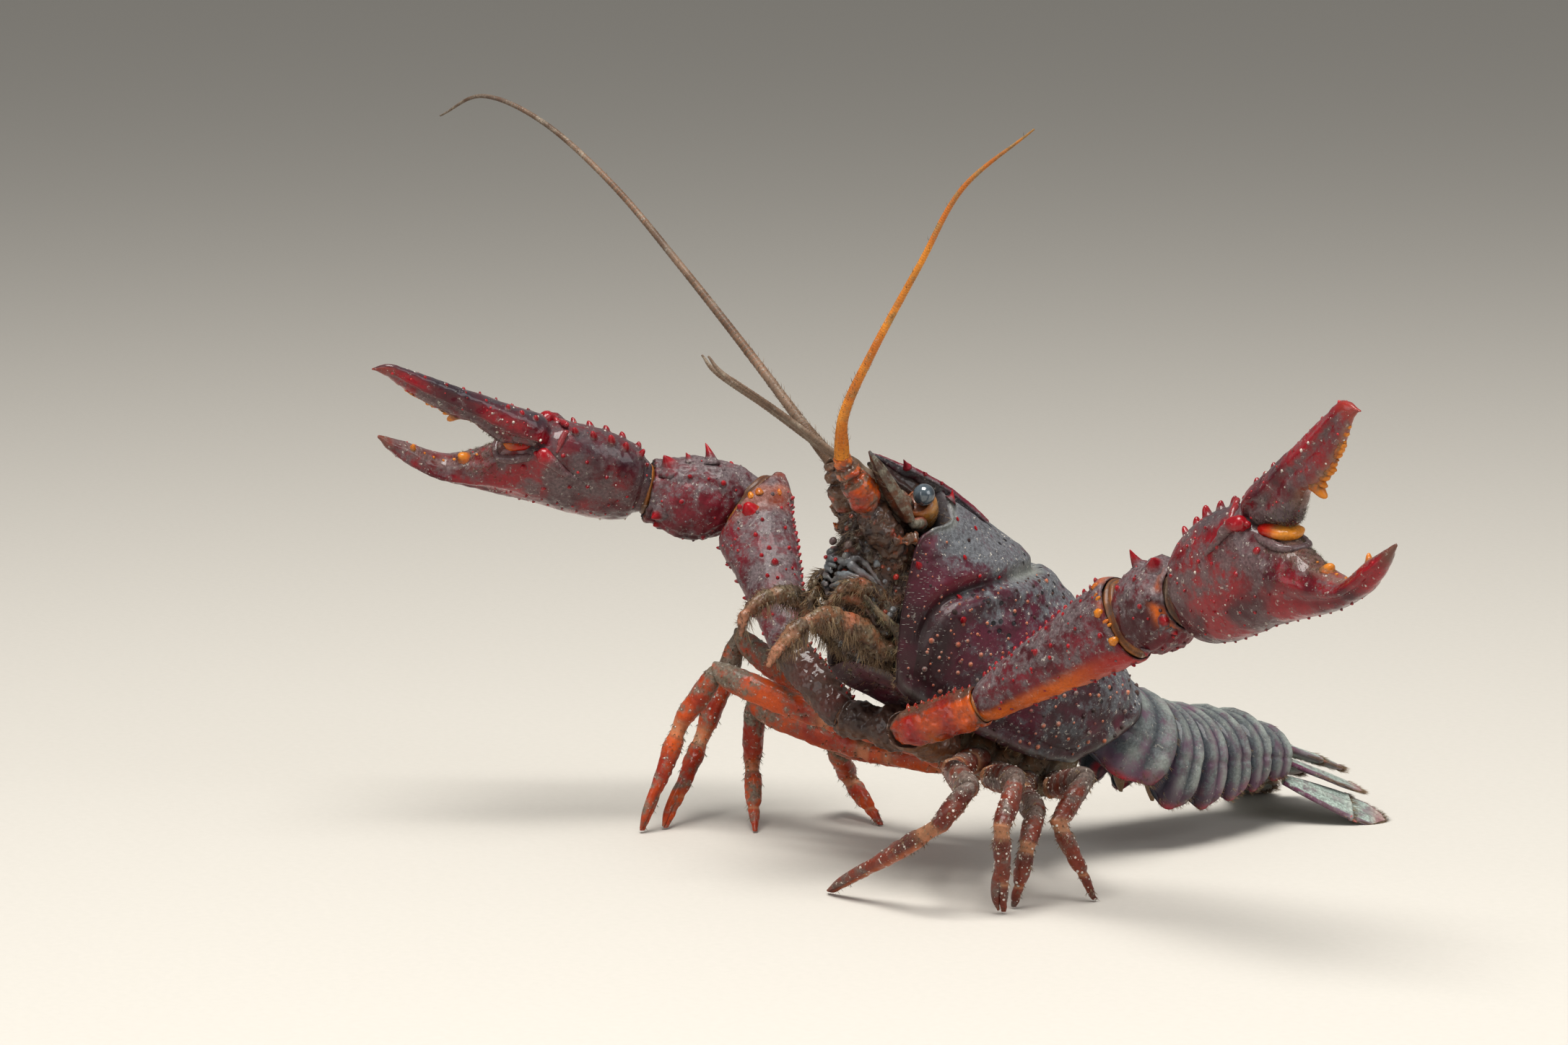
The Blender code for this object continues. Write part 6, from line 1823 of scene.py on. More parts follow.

# %% [markdown]
# ## Antennae
# Each antenna stands on a jointed base of three barrels, with a narrow neck at each joint.
# The whip is built of hundreds of rings, each one slightly wider at its front edge. Modelling every
# ring as a part would be slow, so the radius of one long skin rises and falls along it. The left
# whip is orange and the right one grey-brown, and both darken towards the tip.

# %% Antennae
whip_orange = shell_finish("whip_orange", (0.5, 0.14, 0.02), (0.72, 0.27, 0.03), (0.3, 0.17, 0.06),
                           (0.3, 0.06, 0.015), (0.6, 0.4, 0.12), rough=0.38, coat=0.2, grit=0.2)
whip_brown = shell_finish("whip_brown", (0.09, 0.055, 0.035), (0.17, 0.11, 0.075), (0.2, 0.16, 0.12),
                          (0.25, 0.09, 0.04), (0.35, 0.28, 0.2), rough=0.45, coat=0.15, grit=0.3)
base_finish = shell_finish("antenna_base_shell", (0.28, 0.022, 0.003), (0.6, 0.135, 0.005),
                           (0.07, 0.045, 0.028), (0.42, 0.02, 0.003), (0.3, 0.22, 0.13), rough=0.16,
                           coat=1.0, grit=0.25, clouds=800.0, relief=0.00025)
ANTENNAE = {
    "left": ((7.6, -23.6, 63.7), (12.2, -22.0, 72.5), (18.6, -19.2, 83.8), (24.0, -16.3, 93.8),
             (32.0, -11.0, 101.5)),
    "right": ((-7.2, -20.5, 60.2), (-17.4, -22.2, 68.4), (-30.0, -25.4, 79.3), (-41.8, -29.2, 89.7),
              (-52.9, -33.7, 97.7),
              (-61.6, -38.3, 101.0), (-68.3, -41.4, 98.0)),
}
ANTENNA_STALKS = {
    "left": ((4.4, 37.8, -9.6), (4.6, 44.0, -9.0), (4.7, 49.0, -7.6), (4.8, 53.5, -6.2),
             (4.8, 56.5, -5.4), (5.2, 58.8, -4.7)),
    "right": ((4.4, 37.8, -9.6), (4.2, 42.5, -8.4), (3.7, 46.5, -7.0), (3.4, 50.0, -5.6),
              (3.4, 52.6, -4.4), (3.6, 54.6, -3.4)),
}
STALK_RADII = ((0, 1.9), (0.2, 2.05), (0.4, 2.3), (0.445, 1.95), (0.47, 1.5), (0.49, 1.6), (0.53, 2.15),
               (0.61, 2.2), (0.7, 1.95), (0.74, 1.3), (0.76, 1.35), (0.79, 1.75), (0.84, 1.75),
               (0.88, 1.4), (0.905, 1.05), (0.925, 1.25), (1, 1.1))
WHIP_RINGS = 168
BARREL_ROWS = 150
WHIP_RADII = ((0, 1.0), (0.06, 0.95), (0.15, 0.75), (0.5, 0.48), (0.85, 0.3), (1, 0.12))


def antenna_base(name, sign):
    """The three barrels that a whip stands on, and the line through them."""
    stalk_line = side_line(sign, ANTENNA_STALKS[name])
    rings = feeler_rings(stalk_line, STALK_RADII, 56, BARREL_ROWS, FACE_WAY)
    stalk = skin(f"antenna_base_{name}_barrels", caps(rings, 0.2, 0.2))
    row = (mask(stalk, "along") * (len(rings) + 9) - 5) / BARREL_ROWS
    places, ways = read(stalk), facing(stalk)
    neck = bell(row, 0.48, 0.02) + bell(row, 0.75, 0.018) + bell(row, 0.905, 0.015)
    swell(stalk, clouds(places, 1.3, 53) * (1.9 - 1.3 * step_up(row, 0.45, 0.5))
          + specks(places, 0.45, 54) * 0.25)
    hem = bell(row, 0.53, 0.02) + bell(row, 0.7, 0.018) + bell(row, 0.79, 0.015) + bell(row, 0.875, 0.014)
    old = 1 - step_up(row, 0.44, 0.5)
    paint(stalk, mud=0.2 + 0.75 * old + 0.7 * hem + 1.1 * clouds(places, 1.5, 55)
          + 0.5 * step_up(-ways @ LEFT * sign, 0.0, 0.6) + (0.6 if sign < 0 else 0),
          red=0.8 * bell(row, 0.56, 0.05) * blots(places, 2.0, 3, 0.35, 0.7), dark=0.6 * neck
          + 0.7 * old * cloudy(places, 1.2, 4) + 0.5 * blots(places, 1.1, 9, 0.6, 0.8))
    piece(stalk, base_finish, "antenna_base", f"antenna_base_{name}")
    return stalk_line


def antenna_whip(name, sign, stalk_line):
    """The ringed whip of an antenna, from the end of its base."""
    root = stalk_line[-1] + unit(stalk_line[-1] - stalk_line[-2]) * 0.1
    rings = feeler_rings([root] + [np.array(p) for p in ANTENNAE[name]], WHIP_RADII, 10, 840)
    length = np.linalg.norm(np.diff(rings.mean(1), axis=0), axis=1).sum()
    whip = skin(f"antenna_{name}_whip", caps(rings, 0.2, 0.1, (0.6, 0.0)))
    row = mask(whip, "along")
    wave = np.mod(row * WHIP_RINGS, 1.0)
    thick = along(row, WHIP_RADII)
    swell(whip, thick * (0.1 * wave - 0.05))
    places = read(whip)
    paint(whip, mud=0.1 + 0.35 * step_up(row, 0.25, 1) + 0.4 * clouds(places, 3.0, 56),
          red=0.5 * step_up(wave, 0.75, 1.0), dark=0.3 * blots(places, 5.0, 5, 0.6, 0.9)
          + 0.3 * step_up(row, 0.6, 1))
    piece(whip, whip_orange if sign > 0 else whip_brown, "feeler", f"antenna_{name}")
    print(f"{name} antenna: {length:.0f} mm long")


for name, sign in SIDES:
    antenna_whip(name, sign, antenna_base(name, sign))

# %% [markdown]
# ## Antennules and scales
# Between the antennae stands a pair of short forked feelers, the antennules, which smell the water.
# Beside each antenna a stiff blade, the scale, has one thick straight outer edge that ends in a spine,
# and a thin inner edge that is fringed with hair, with a dark channel along the middle.

# %% Antennules and scales
SCALE_ROOTS = {"left": (6.6, 46.0, -5.25), "right": (6.6, 44.8, -4.8)}
SCALE = ((0.0, -1.3, 1.3, 0.6), (2.0, -2.0, 1.7, 0.7), (6.0, -1.9, 1.6, 0.6), (9.0, -0.9, 1.3, 0.45),
         (10.3, -0.1, 1.1, 0.35), (11.6, 0.55, 0.85, 0.16))
ANTENNULE_STALK = ((1.3, 39.95, -5.0), (1.3, 46.0, -3.6), (1.2, 53.0, -2.9))
ANTENNULE = ((0.9, -22.0, 58.2), (-2.8, -28.2, 63.6), (-6.1, -33.5, 67.9), (-7.4, -35.1, 70.3))
ANTENNULE_RINGS = 110
BRANCH_RINGS = 60
ANTENNULE_RADII = ((0, 0.8), (0.1, 0.95), (0.16, 0.7), (0.2, 0.95), (0.3, 0.9), (0.33, 0.65),
                   (0.37, 0.8), (0.42, 0.75), (0.45, 0.5), (0.8, 0.38), (1, 0.14))


def antenna_scale(name, sign):
    """The stiff blade beside an antenna."""
    start = thorax(sign * SCALE_ROOTS[name][0], *SCALE_ROOTS[name][1:])
    way = unit(AHEAD + BACK_UP * 0.28)
    side = unit(LEFT * sign - way * (LEFT * sign).dot(way))
    scale_body = skin(f"antenna_scale_{name}_blade",
                      caps(plate_rings(start, way, side, SCALE, 70, 90, 0.8), 0.1, 0.05))
    places = read(scale_body)
    a, b = (places - start) @ way, (places - start) @ side
    inner, outer = (along(a, column(SCALE, k)) for k in (1, 2))
    across = (b - inner) / np.maximum(outer - inner, 0.1)
    swell(scale_body, (0.3 * bell(across, 0.86, 0.1) - 0.32 * bell(across, 0.58, 0.14)
                       + 0.18 * bell(across, 0.3, 0.1)) * step_up(a, 0.5, 2) * (1 - step_up(a, 9, 11))
          + clouds(places, 1.2, 57) * 0.12)
    channel = bell(across, 0.58, 0.16)
    paint(scale_body, mud=0.5 - 0.9 * channel + 0.9 * clouds(places, 1.6, 58),
          red=0.4 * channel * cloudy(places, 1.5, 2), dark=0.6 * channel
          * blots(places, 1.4, 8, 0.3, 0.7) + 0.4 * blots(places, 0.9, 12, 0.5, 0.8),
          pale=0.2 * step_up(a, 10.6, 11.4))
    piece(scale_body, mouth_finish, "antenna_scale", f"antenna_scale_{name}")


def antennule(name, sign):
    """A short feeler with two ringed branches."""
    line = side_line(sign, ANTENNULE_STALK)
    line += [np.array(point) + LEFT * (0.8 * (sign - 1)) for point in ANTENNULE]
    rings = feeler_rings(line, ANTENNULE_RADII, 11, 480, FACE_WAY)
    body = skin(f"antennule_{name}_feeler", caps(rings, 0.1, 0.05, (0.6, 0.0)))
    row = mask(body, "along")
    wave = np.mod(row * ANTENNULE_RINGS, 1.0)
    swell(body, np.where(row > 0.45, along(row, ANTENNULE_RADII) * (0.12 * wave - 0.06), 0))
    paint(body, mud=0.3 + 0.3 * clouds(read(body), 2.0, 59), dark=0.4 * step_up(wave, 0.7, 1)
          * (row > 0.45), pale=0.25 * bell(row, 0.33, 0.02))
    piece(body, whip_brown, "feeler", f"antennule_{name}")
    branch = ([line[2] + LEFT * 0.35 - BACK_UP * 0.3]
              + [point + LEFT * (0.45 + 0.5 * k) - AHEAD * 0.2 * k for k, point in enumerate(line[3:6])])
    rings = feeler_rings(branch, ((0, 0.5), (0.5, 0.34), (1, 0.12)), 12, 200)
    body = skin(f"antennule_{name}_branch", caps(rings, 0.05, 0.05, (0.6, 0.0)))
    wave = np.mod(mask(body, "along") * BRANCH_RINGS, 1.0)
    swell(body, 0.06 * wave - 0.03)
    paint(body, mud=0.35, dark=0.35 * step_up(wave, 0.7, 1))
    piece(body, whip_brown, "feeler")


for name, sign in SIDES:
    antenna_scale(name, sign)
    antennule(name, sign)

# %% [markdown]
# ## The face and the mouth parts
# Under the rostrum the head falls away in a column of small hard parts and brown bristle: a plate
# behind the antennae, the jaws, and pairs of folded blue-grey jaw feet that lie over them. A single
# lump would look like clay. So a core carries the colour of the shadow, thin curved bars are laid over
# it in layers, and knobs and beads stand where the real plates have them.

# %% The face and the mouth parts
FRONT = ((-21.8, 40.0), (-20.4, 42.6), (-18.5, 44.2), (-16.4, 45.6), (-14.0, 46.6), (-12.0, 47.6),
         (-10.0, 48.8), (-8.0, 50.0))
COLUMN_WIDTH = ((-21.8, 3.0), (-20.0, 4.6), (-16.0, 5.9), (-11.0, 6.3), (-8.5, 5.4), (-7.6, 4.0))
heights = np.linspace(-21.8, -7.6, 120)
turns = np.linspace(0, 2 * math.pi, 100, endpoint=False)
front, wide = along(heights, FRONT)[:, None], along(heights, COLUMN_WIDTH)[:, None]
middle, deep = (front + 36.0) / 2, (front - 36.0) / 2
left = wide * np.sin(turns) * (1 - 0.42 * np.cos(turns))
ahead = middle + deep * np.cos(turns)
core = skin("mouth_core", caps(REAR_EDGE + left[..., None] * LEFT + ahead[..., None] * AHEAD
                               + heights[:, None, None] * BACK_UP, 0.6, 0.6))
places = read(core)
fibres = np.sin((places @ LEFT) * 5.2 + 3.0 * cloudy(places, 3.0, 61)) * 0.12
swell(core, clouds(places, 2.4, 62) * 1.5 + fibres + specks(places, 0.5, 63) * 0.25)
high = (places - REAR_EDGE) @ BACK_UP
paint(core, mud=0.15 + 0.6 * (cloudy(places, 2.0, 64) - 0.3), dark=0.75
      * step_up(cloudy(places, 1.6, 65), 0.42, 0.62) + 0.5 * bell(high, -20.5, 1.6),
      red=0.3 * blots(places, 1.1, 66, 0.72, 0.9), pale=0.35 * bell(high, -15.5, 2.0)
      * blots(places, 1.5, 67, 0.5, 0.8))
spots, ways, _ = strewn(core, 190, 0.55, lambda c, w, m: w @ AHEAD > -0.2, 33)
sizes = np.random.default_rng(8).uniform(0.15, 0.42, len(spots))
crumbs = grow("mouth_core_crumbs", KNOB, spots, ways, sizes, sizes * 1.1, lean=-BACK_UP, tilt=0.6, seed=9)
tone = mask(crumbs, "tone")
paint(crumbs, mud=0.2 + 0.6 * (tone > 0.5), red=0.7 * (tone > 0.82), pale=0.5 * (tone < 0.2),
      dark=0.5 * (np.abs(tone - 0.4) < 0.12))
piece(crumbs, mouth_finish, "mouthparts")
piece(core, mouth_finish, "mouthparts", "mouth")


# %% [markdown]
# ## Jaw feet and bars of the face
# Every bar is a short tube along a curve, with an uneven skin and patches of mud. The left and right
# ones share their places, and the slim jaw feet drift a little at random, as real ones never lie even.

# %% Jaw feet and bars of the face
def bar(name, sign, line, radii, finish=mouth_finish, slot="mouthparts", rough=0.25, mud=0.3, pale=0):
    """A curved bar through places given as out, ahead and up, with an uneven skin."""
    body = tube(name, side_line(sign, line), radii, 20, 44, 0.3, 0.2)
    places = read(body)
    swell(body, clouds(places, 1.1, 68) * rough + specks(places, 0.35, 69) * rough * 0.35)
    paint(body, mud=mud + 0.9 * clouds(places, 1.4, 70), pale=pale * (0.3 + mottle(places, 0.9, 71)),
          dark=0.75 * blots(places, 1.3, 72, 0.5, 0.8), red=0.5 * blots(places, 2.0, 73, 0.65, 0.85))
    piece(body, finish, slot)


def jaw_feet(name, sign):
    """Six slim bars one below the other, and two thicker ones that curl down in front of them."""
    for k in range(6):
        high = -13.8 - 0.85 * k
        reach = float(along(high, FRONT))
        drift = chance.uniform(-0.7, 0.7, 4)
        line = ((0.35, reach + 0.9 + drift[0], high - 0.1), (1.7, reach + 0.95, high + 0.5 + drift[1]),
                (3.1, reach - 0.1, high + 0.9 + drift[2]), (4.4, reach - 2.2, high + 0.5 + drift[3]),
                (5.2, reach - 4.2, high - 0.4))
        radii = ((0, 0.28), (0.3, chance.uniform(0.4, 0.65)), (0.7, chance.uniform(0.3, 0.5)), (1, 0.25))
        pale = (0.7 if k < 5 else 0.3) * chance.uniform(0.5, 1)
        bar(f"jaw_foot_{name}_{k + 1}", sign, line, radii, rough=0.6, pale=pale, mud=0.2)
    for k, (out, ahead, up, reach) in enumerate(((4.2, 37.0, -15.4, 46.6), (3.2, 37.0, -17.2, 46.2))):
        line = ((out, ahead, up), (out + 0.7, ahead + 4.5, up + 0.6), (out, reach - 1.2, up - 0.4),
                (out - 0.8, reach, up - 2.2), (out - 1.2, reach - 0.4, up - 3.6))
        radii = ((0, 0.9), (0.4, 0.95), (0.7, 0.75), (1, 0.35))
        bar(f"second_jaw_foot_{name}_{k + 1}", sign, line, radii, palp_finish, mud=0.5, rough=0.9)


# Single bars on each side: name, places, radii, finish, slot, unevenness and mud
EYE_SOCKET = (((1.6, 41.5, -4.0), (3.2, 44.4, -3.6), (4.4, 46.6, -3.5), (4.0, 48.0, -3.2)),
              ((0, 1.2), (0.5, 1.35), (1, 0.7)), mouth_finish, "mouthparts", 0.9, 0.2)
FACE_BARS = {
    "outer_branch": (((5.4, 44.2, -16.6), (6.1, 41.4, -17.2), (6.6, 37.4, -17.7), (6.6, 34.6, -20.2),
                      (6.0, 32.6, -22.4)),
                     ((0, 0.3), (0.3, 0.5), (0.6, 0.85), (0.9, 0.75), (1, 0.4)), palp_finish,
                     "mouthparts", 0.25, 0.75),
    "epistome_ridge": (((5.6, 47.4, -9.0), (6.4, 46.2, -8.6), (7.2, 45.0, -7.9), (7.9, 44.0, -6.9)),
                       ((0, 0.35), (0.4, 0.6), (1, 0.7)), base_finish, "mouthparts", 1.6, 0.75),
    "antenna_root": (((5.6, 46.6, -7.6), (5.9, 48.0, -7.3), (5.9, 49.3, -6.9)),
                     ((0, 0.7), (0.5, 0.8), (1, 0.5)), base_finish, "antenna_base", 1.3, 0.7),
    "head_fold": (((6.9, 45.2, -5.5), (6.4, 44.2, -4.4), (5.2, 43.0, -4.2), (3.4, 42.6, -4.6)),
                  ((0, 0.5), (0.5, 0.8), (1, 0.6)), mouth_finish, "mouthparts", 0.6, 0.7),
    "antennule_root": (((1.9, 42.0, -3.4), (2.1, 45.0, -2.6), (1.9, 48.2, -2.6)),
                       ((0, 1.1), (0.5, 1.25), (1, 0.8)), mouth_finish, "mouthparts", 0.7, 0.8),
}
chance = np.random.default_rng(31)
for name, sign in SIDES:
    bar(f"eye_socket_{name}", sign, *EYE_SOCKET)
    jaw_feet(name, sign)
    for kind, traits in FACE_BARS.items():
        bar(f"{kind}_{name}", sign, *traits)

# %% [markdown]
# ## Under the beak, and knobs on the face
# The rostrum is hollow below. A long dark body that tapers with it fills this hollow up to its keel as
# painted shade, and four pairs of small smooth knobs stand on the face.

# %% Under the beak, and knobs on the face
ahead = np.linspace(40.0, 51.2, 60)
wide = along(ahead, ((40, 3.7), (45, 3.0), (48.5, 2.2), (51.2, 0.8)))
deep = along(ahead, ((40, 3.4), (45, 2.7), (48.5, 2.1), (51.2, 0.8)))
under_beak = along(ahead, column(ROSTRUM, 3)) + 0.1
rings = [oval(thorax(0.0, a, u - d), LEFT * w, BACK_UP * d, 60, 0.8)
         for a, w, d, u in zip(ahead, wide, deep, under_beak)]
hollow = skin("rostrum_hollow_shade", caps(rings, 0.2, 0.2))
places = read(hollow)
swell(hollow, 0.35 * np.sin((places @ BACK_UP) * 4.0 + 2.5 * cloudy(places, 2.5, 81))
      + clouds(places, 1.5, 82) * 0.5)
# The dark body is painted shade in the hollow, with a few lighter blots.
paint(hollow, mud=0.25, dark=0.9 - 0.75 * blots(places, 1.3, 83, 0.6, 0.85))
piece(hollow, mouth_finish, "mouthparts")

# Knobs on each side: out, ahead, up, size, red and pale
FACE_KNOBS = ((1.9, 48.6, -11.9, 0.5, 0.1, 0.2), (1.9, 48.0, -13.3, 0.5, 0, 0.25),
              (1.2, 48.6, -14.4, 0.25, 1, 0), (7.1, 43.0, -12.3, 0.36, 0.9, 0))
for k, (out, ahead, up, size, red, pale) in enumerate(FACE_KNOBS):
    for name, sign in SIDES:
        turns = np.radians(np.linspace(-88, 88, 20))
        middle = thorax(sign * out, ahead, up)
        rings = [oval(middle + AHEAD * size * math.sin(t), LEFT * size * math.cos(t),
                      BACK_UP * size * math.cos(t) * 1.15, 24) for t in turns]
        body = skin(f"face_knob_{name}_{k + 1}", caps(rings, 0.0, 0.0, (0.0,)))
        paint(body, red=red, pale=pale, mud=0.2)
        piece(body, joint_finish if red > 0.5 else mouth_finish, "mouthparts")

# %% [markdown]
# ## The big jaw feet
# The third pair of jaw feet reaches out from under the mouth and curls down like two hairy fingers,
# thicker at the root, with a joint every few millimetres. The curve goes through the joints' places,
# and the radius narrows at each of them.

# %% The big jaw feet
REACHES = {"left": ((33.6, -18.3), (37.2, -20.2), (42.0, -20.3), (46.7, -21.6), (49.3, -25.0),
                    (50.2, -29.5), (50.0, -32.0)),
           "right": ((33.6, -18.3), (37.2, -20.2), (43.0, -20.4), (47.2, -20.3), (50.6, -22.8),
                     (51.9, -26.5), (50.8, -29.2))}
JAW_FOOT_ROWS = 190
JAW_FOOT_RADII = ((0, 1.4), (0.28, 1.65), (0.38, 1.5), (0.42, 1.1), (0.46, 1.35), (0.58, 1.25),
                  (0.63, 0.88), (0.67, 1.1), (0.78, 0.98), (0.82, 0.7), (0.85, 0.8), (0.93, 0.55),
                  (1, 0.22))
for name, sign in SIDES:
    line = [thorax(sign * (5.0 - 0.1 * i), ahead, up) for i, (ahead, up) in enumerate(REACHES[name])]
    rings = feeler_rings(line, JAW_FOOT_RADII, 48, JAW_FOOT_ROWS, FACE_WAY)
    foot = skin(f"maxilliped_{name}_limb", caps(rings, 0.3, 0.1))
    row = (mask(foot, "along") * (len(rings) + 9) - 5) / JAW_FOOT_ROWS
    places, ways = read(foot), facing(foot)
    flat = step_up(row, 0.1, 0.25) * (1 - step_up(row, 0.45, 0.6))
    swell(foot, clouds(places, 1.5, 71) * 1.2 * (1 - 0.7 * row) + specks(places, 0.4, 72) * 0.2
          - 0.3 * flat * np.abs(ways @ LEFT))
    neck = bell(row, 0.42, 0.02) + bell(row, 0.63, 0.018) + bell(row, 0.82, 0.015)
    paint(foot, mud=0.5 + 0.9 * clouds(places, 1.5, 73) - 0.35 * step_up(row, 0.62, 0.85),
          pale=0.35 * neck + 0.6 * step_up(row, 0.66, 0.95), red=0.6 * bell(row, 0.38, 0.05)
          * step_up(ways @ AHEAD, 0, 0.6), dark=0.3 * bell(row, 0.1, 0.12)
          + 0.6 * blots(places, 1.4, 7, 0.5, 0.8))
    piece(foot, palp_finish, "mouthparts", f"maxilliped_{name}")

# %% [markdown]
# ## The underside of the thorax
# Between the legs runs a narrow keel of fused plates. Little of it is seen, but the legs' roots need
# it behind them, so it is rolled from square rings with a dent between every two legs.

# %% The underside of the thorax
STERNUM_LOW = ((0, -20.0), (8, -22.6), (16, -25.0), (24, -26.4))
STERNUM_HALF = ((1.0, 4.9), (18.4, 4.9), (21.8, 1.6))
rings = []
for ahead in np.linspace(1.0, 21.8, 90):
    half = float(along(ahead, STERNUM_HALF))
    top = float(along(ahead, MARGIN_LINE)) + 1.3
    low = float(along(ahead, STERNUM_LOW))
    rings.append(oval(thorax(0.0, ahead, (top + low) / 2), LEFT * half, BACK_UP * (top - low) / 2, 80,
                      0.72))
keel = skin("sternum_keel", caps(rings, 0.0, 0.4))
places = read(keel)
ahead = (places - REAR_EDGE) @ AHEAD
dent = sum(bell(ahead, middle, 0.5) for middle in (4.7, 9.0, 13.3, 17.6))
swell(keel, -0.45 * dent + clouds(places, 2.0, 74) * 0.4)
# dark in the dents between the legs is painted shade
paint(keel, mud=0.5 + 0.4 * clouds(places, 3.0, 75), dark=0.5 * np.clip(dent, 0, 1),
      pale=0.25 * mottle(places, 2.0, 76))
piece(keel, belly_finish, "belly", "sternum")

# %% [markdown]
# ## Skin in the arm joints
# The hard segments of an arm don't touch. Soft skin lies between them in folds, orange on the inner
# side and brown where it is dirty. A squashed ball in each opening, wrinkled round its middle and
# painted darker in the hollows of the wrinkles as shade, fills the gap the way the folded skin does.

# %% Skin in the arm joints
skin_folds = shell_finish("fold_skin", (0.1, 0.035, 0.015), (0.3, 0.1, 0.02), (0.1, 0.07, 0.05),
                          (0.6, 0.1, 0.02), (0.7, 0.35, 0.06), rough=0.35, coat=0.3)


def soft_joint(name, middle, way, side, wide, deep, half, slot):
    """A wrinkled squashed ball of soft skin across a joint."""
    side = unit(side - way * side.dot(way))
    turns = np.radians(np.linspace(-86, 86, 44))
    rings = [oval(middle + way * half * math.sin(t), side * wide * math.cos(t) ** 0.6,
                  np.cross(way, side) * deep * math.cos(t) ** 0.6, 56) for t in turns]
    body = skin(name, caps(rings, 0.0, 0.0, (0.5, 0.0)))
    places = read(body)
    a = (places - middle) @ way
    swell(body, 0.1 * np.sin(a * 7 + 2.5 * mottle(places, 2.0, 77)) + clouds(places, 1.4, 78) * 0.3)
    # dark: painted shade in the hollows of the wrinkles
    paint(body, mud=0.35 + 0.5 * clouds(places, 2.0, 79), dark=0.45
          * step_up(np.sin(a * 7 + 2.5 * mottle(places, 2.0, 77)), 0.2, -0.7))
    piece(body, skin_folds, slot)


for name, _ in SIDES:
    joints, side, size = arm_joints[name], ARM_SIDES[name], CLAW_SIZES[name]
    for k, (wide, deep, half) in enumerate(((2.0, 1.9, 1.3), (2.2, 2.0, 1.4), (5.3, 4.0, 1.8))):
        way = (unit(unit(joints[k + 1] - joints[k]) + unit(joints[k + 2] - joints[k + 1])) if k
               + 2 < len(joints) else CHELAE[name])
        soft_joint(f"arm_{name}_skin_{k + 1}", joints[k + 1], way, side, wide, deep, half, "arm")
    soft_joint(f"arm_{name}_skin_4", joints[-1] + CHELAE[name] * 0.2, CHELAE[name], DACTYL_SIDES[name],
               3.95 * size, 3.45 * size, 1.5, "claw")

# %% [markdown]
# ## Bristles and hair
# Setae stand wherever the animal sifts, sweeps or feels: thick on the jaw feet and the face, in combs
# along the scales and the tail fan, in small brushes at the joints of the legs and in the gape of the
# claws, and as a thin nap on the shell. Particle hair would not leave this file, so tufts of a few
# thin curved hairs are made once, and are planted over the skins as arrays, leaning the way that the
# real hair lies. The map OFBake keeps each tuft's root on its skin's own unwrap.

# %% Bristles and hair
def tuft_form(name, hairs, spread, thick, splay, seed):
    """A tuft of thin curved hairs, one unit tall, that lean apart from one root."""
    chance = np.random.default_rng(seed)
    form = bmesh.new()
    for k in range(hairs):
        turn = 2 * math.pi * k / hairs + chance.uniform(-0.5, 0.5)
        out = Vector((math.cos(turn), math.sin(turn), 0.0))
        foot = out * (spread * chance.uniform(0.1, 1.0))
        centre = foot - Vector((0.0, 0.0, 0.05))
        tall, size = chance.uniform(0.65, 1.0), 1.0
        ring = bmesh.ops.create_circle(form, cap_ends=True, segments=3, radius=thick)["verts"]
        edges = list(dict.fromkeys(edge for vert in ring for edge in vert.link_edges))
        bmesh.ops.translate(form, vec=centre, verts=ring)
        for rise, wide in ((0.35, 0.85), (0.7, 0.6), (1.0, 0.15)):
            grown = bmesh.ops.extrude_edge_only(form, edges=edges)["geom"]
            ring = [item for item in grown if isinstance(item, bmesh.types.BMVert)]
            edges = [item for item in grown if isinstance(item, bmesh.types.BMEdge)]
            bmesh.ops.translate(form, vec=-centre, verts=ring)
            bmesh.ops.scale(form, vec=(wide / size, wide / size, 1.0), verts=ring)
            centre, size = foot + out * (splay * rise ** 2) + Vector((0.0, 0.0, tall * rise)), wide
            bmesh.ops.translate(form, vec=centre, verts=ring)
        bmesh.ops.contextual_create(form, geom=edges)
    return form_mesh(form, name)


TUFT = tuft_form("tuft", 4, 0.5, 0.11, 1.5, 1)
COMB = tuft_form("comb", 3, 0.6, 0.1, 0.5, 2)
HAIR = tuft_form("hair", 1, 0.1, 0.13, 1.0, 3)


def hair_finish(name, root, end, pale):
    """Finish of hair: dark at the root, lighter at the end, a few tufts pale."""
    finish, tree, shader, _ = new_finish(name)
    colour = mixed(tree, attribute(tree, "tip"), rgb(root), rgb(end))
    colour = mixed(tree, ramp(tree, attribute(tree, "tone"), 0.55, 1.0, 0.0, 0.85), colour, rgb(pale))
    tree.links.new(colour, shader.inputs["Base Color"])
    shader.inputs["Roughness"].default_value = 0.5
    return finish


brown_hair = hair_finish("hair_brown", (0.05, 0.025, 0.012), (0.2, 0.11, 0.05), (0.3, 0.2, 0.1))
olive_hair = hair_finish("hair_olive", (0.03, 0.025, 0.01), (0.12, 0.1, 0.045), (0.2, 0.15, 0.07))
grey_hair = hair_finish("hair_grey", (0.12, 0.11, 0.1), (0.4, 0.38, 0.34), (0.55, 0.53, 0.48))
dark_hair = hair_finish("hair_dark", (0.025, 0.014, 0.01), (0.09, 0.05, 0.028), (0.22, 0.15, 0.09))
print("tuft, comb and hair have", [len(form.polygons) for form in (TUFT, COMB, HAIR)], "faces")

# %% [markdown]
# ## Growing a coat of hair
# One function strews tufts over a finished piece. It asks for how many, how close, where, which way they
# lie and how long they are, so that a beard, a fringe and a nap differ only by their numbers.

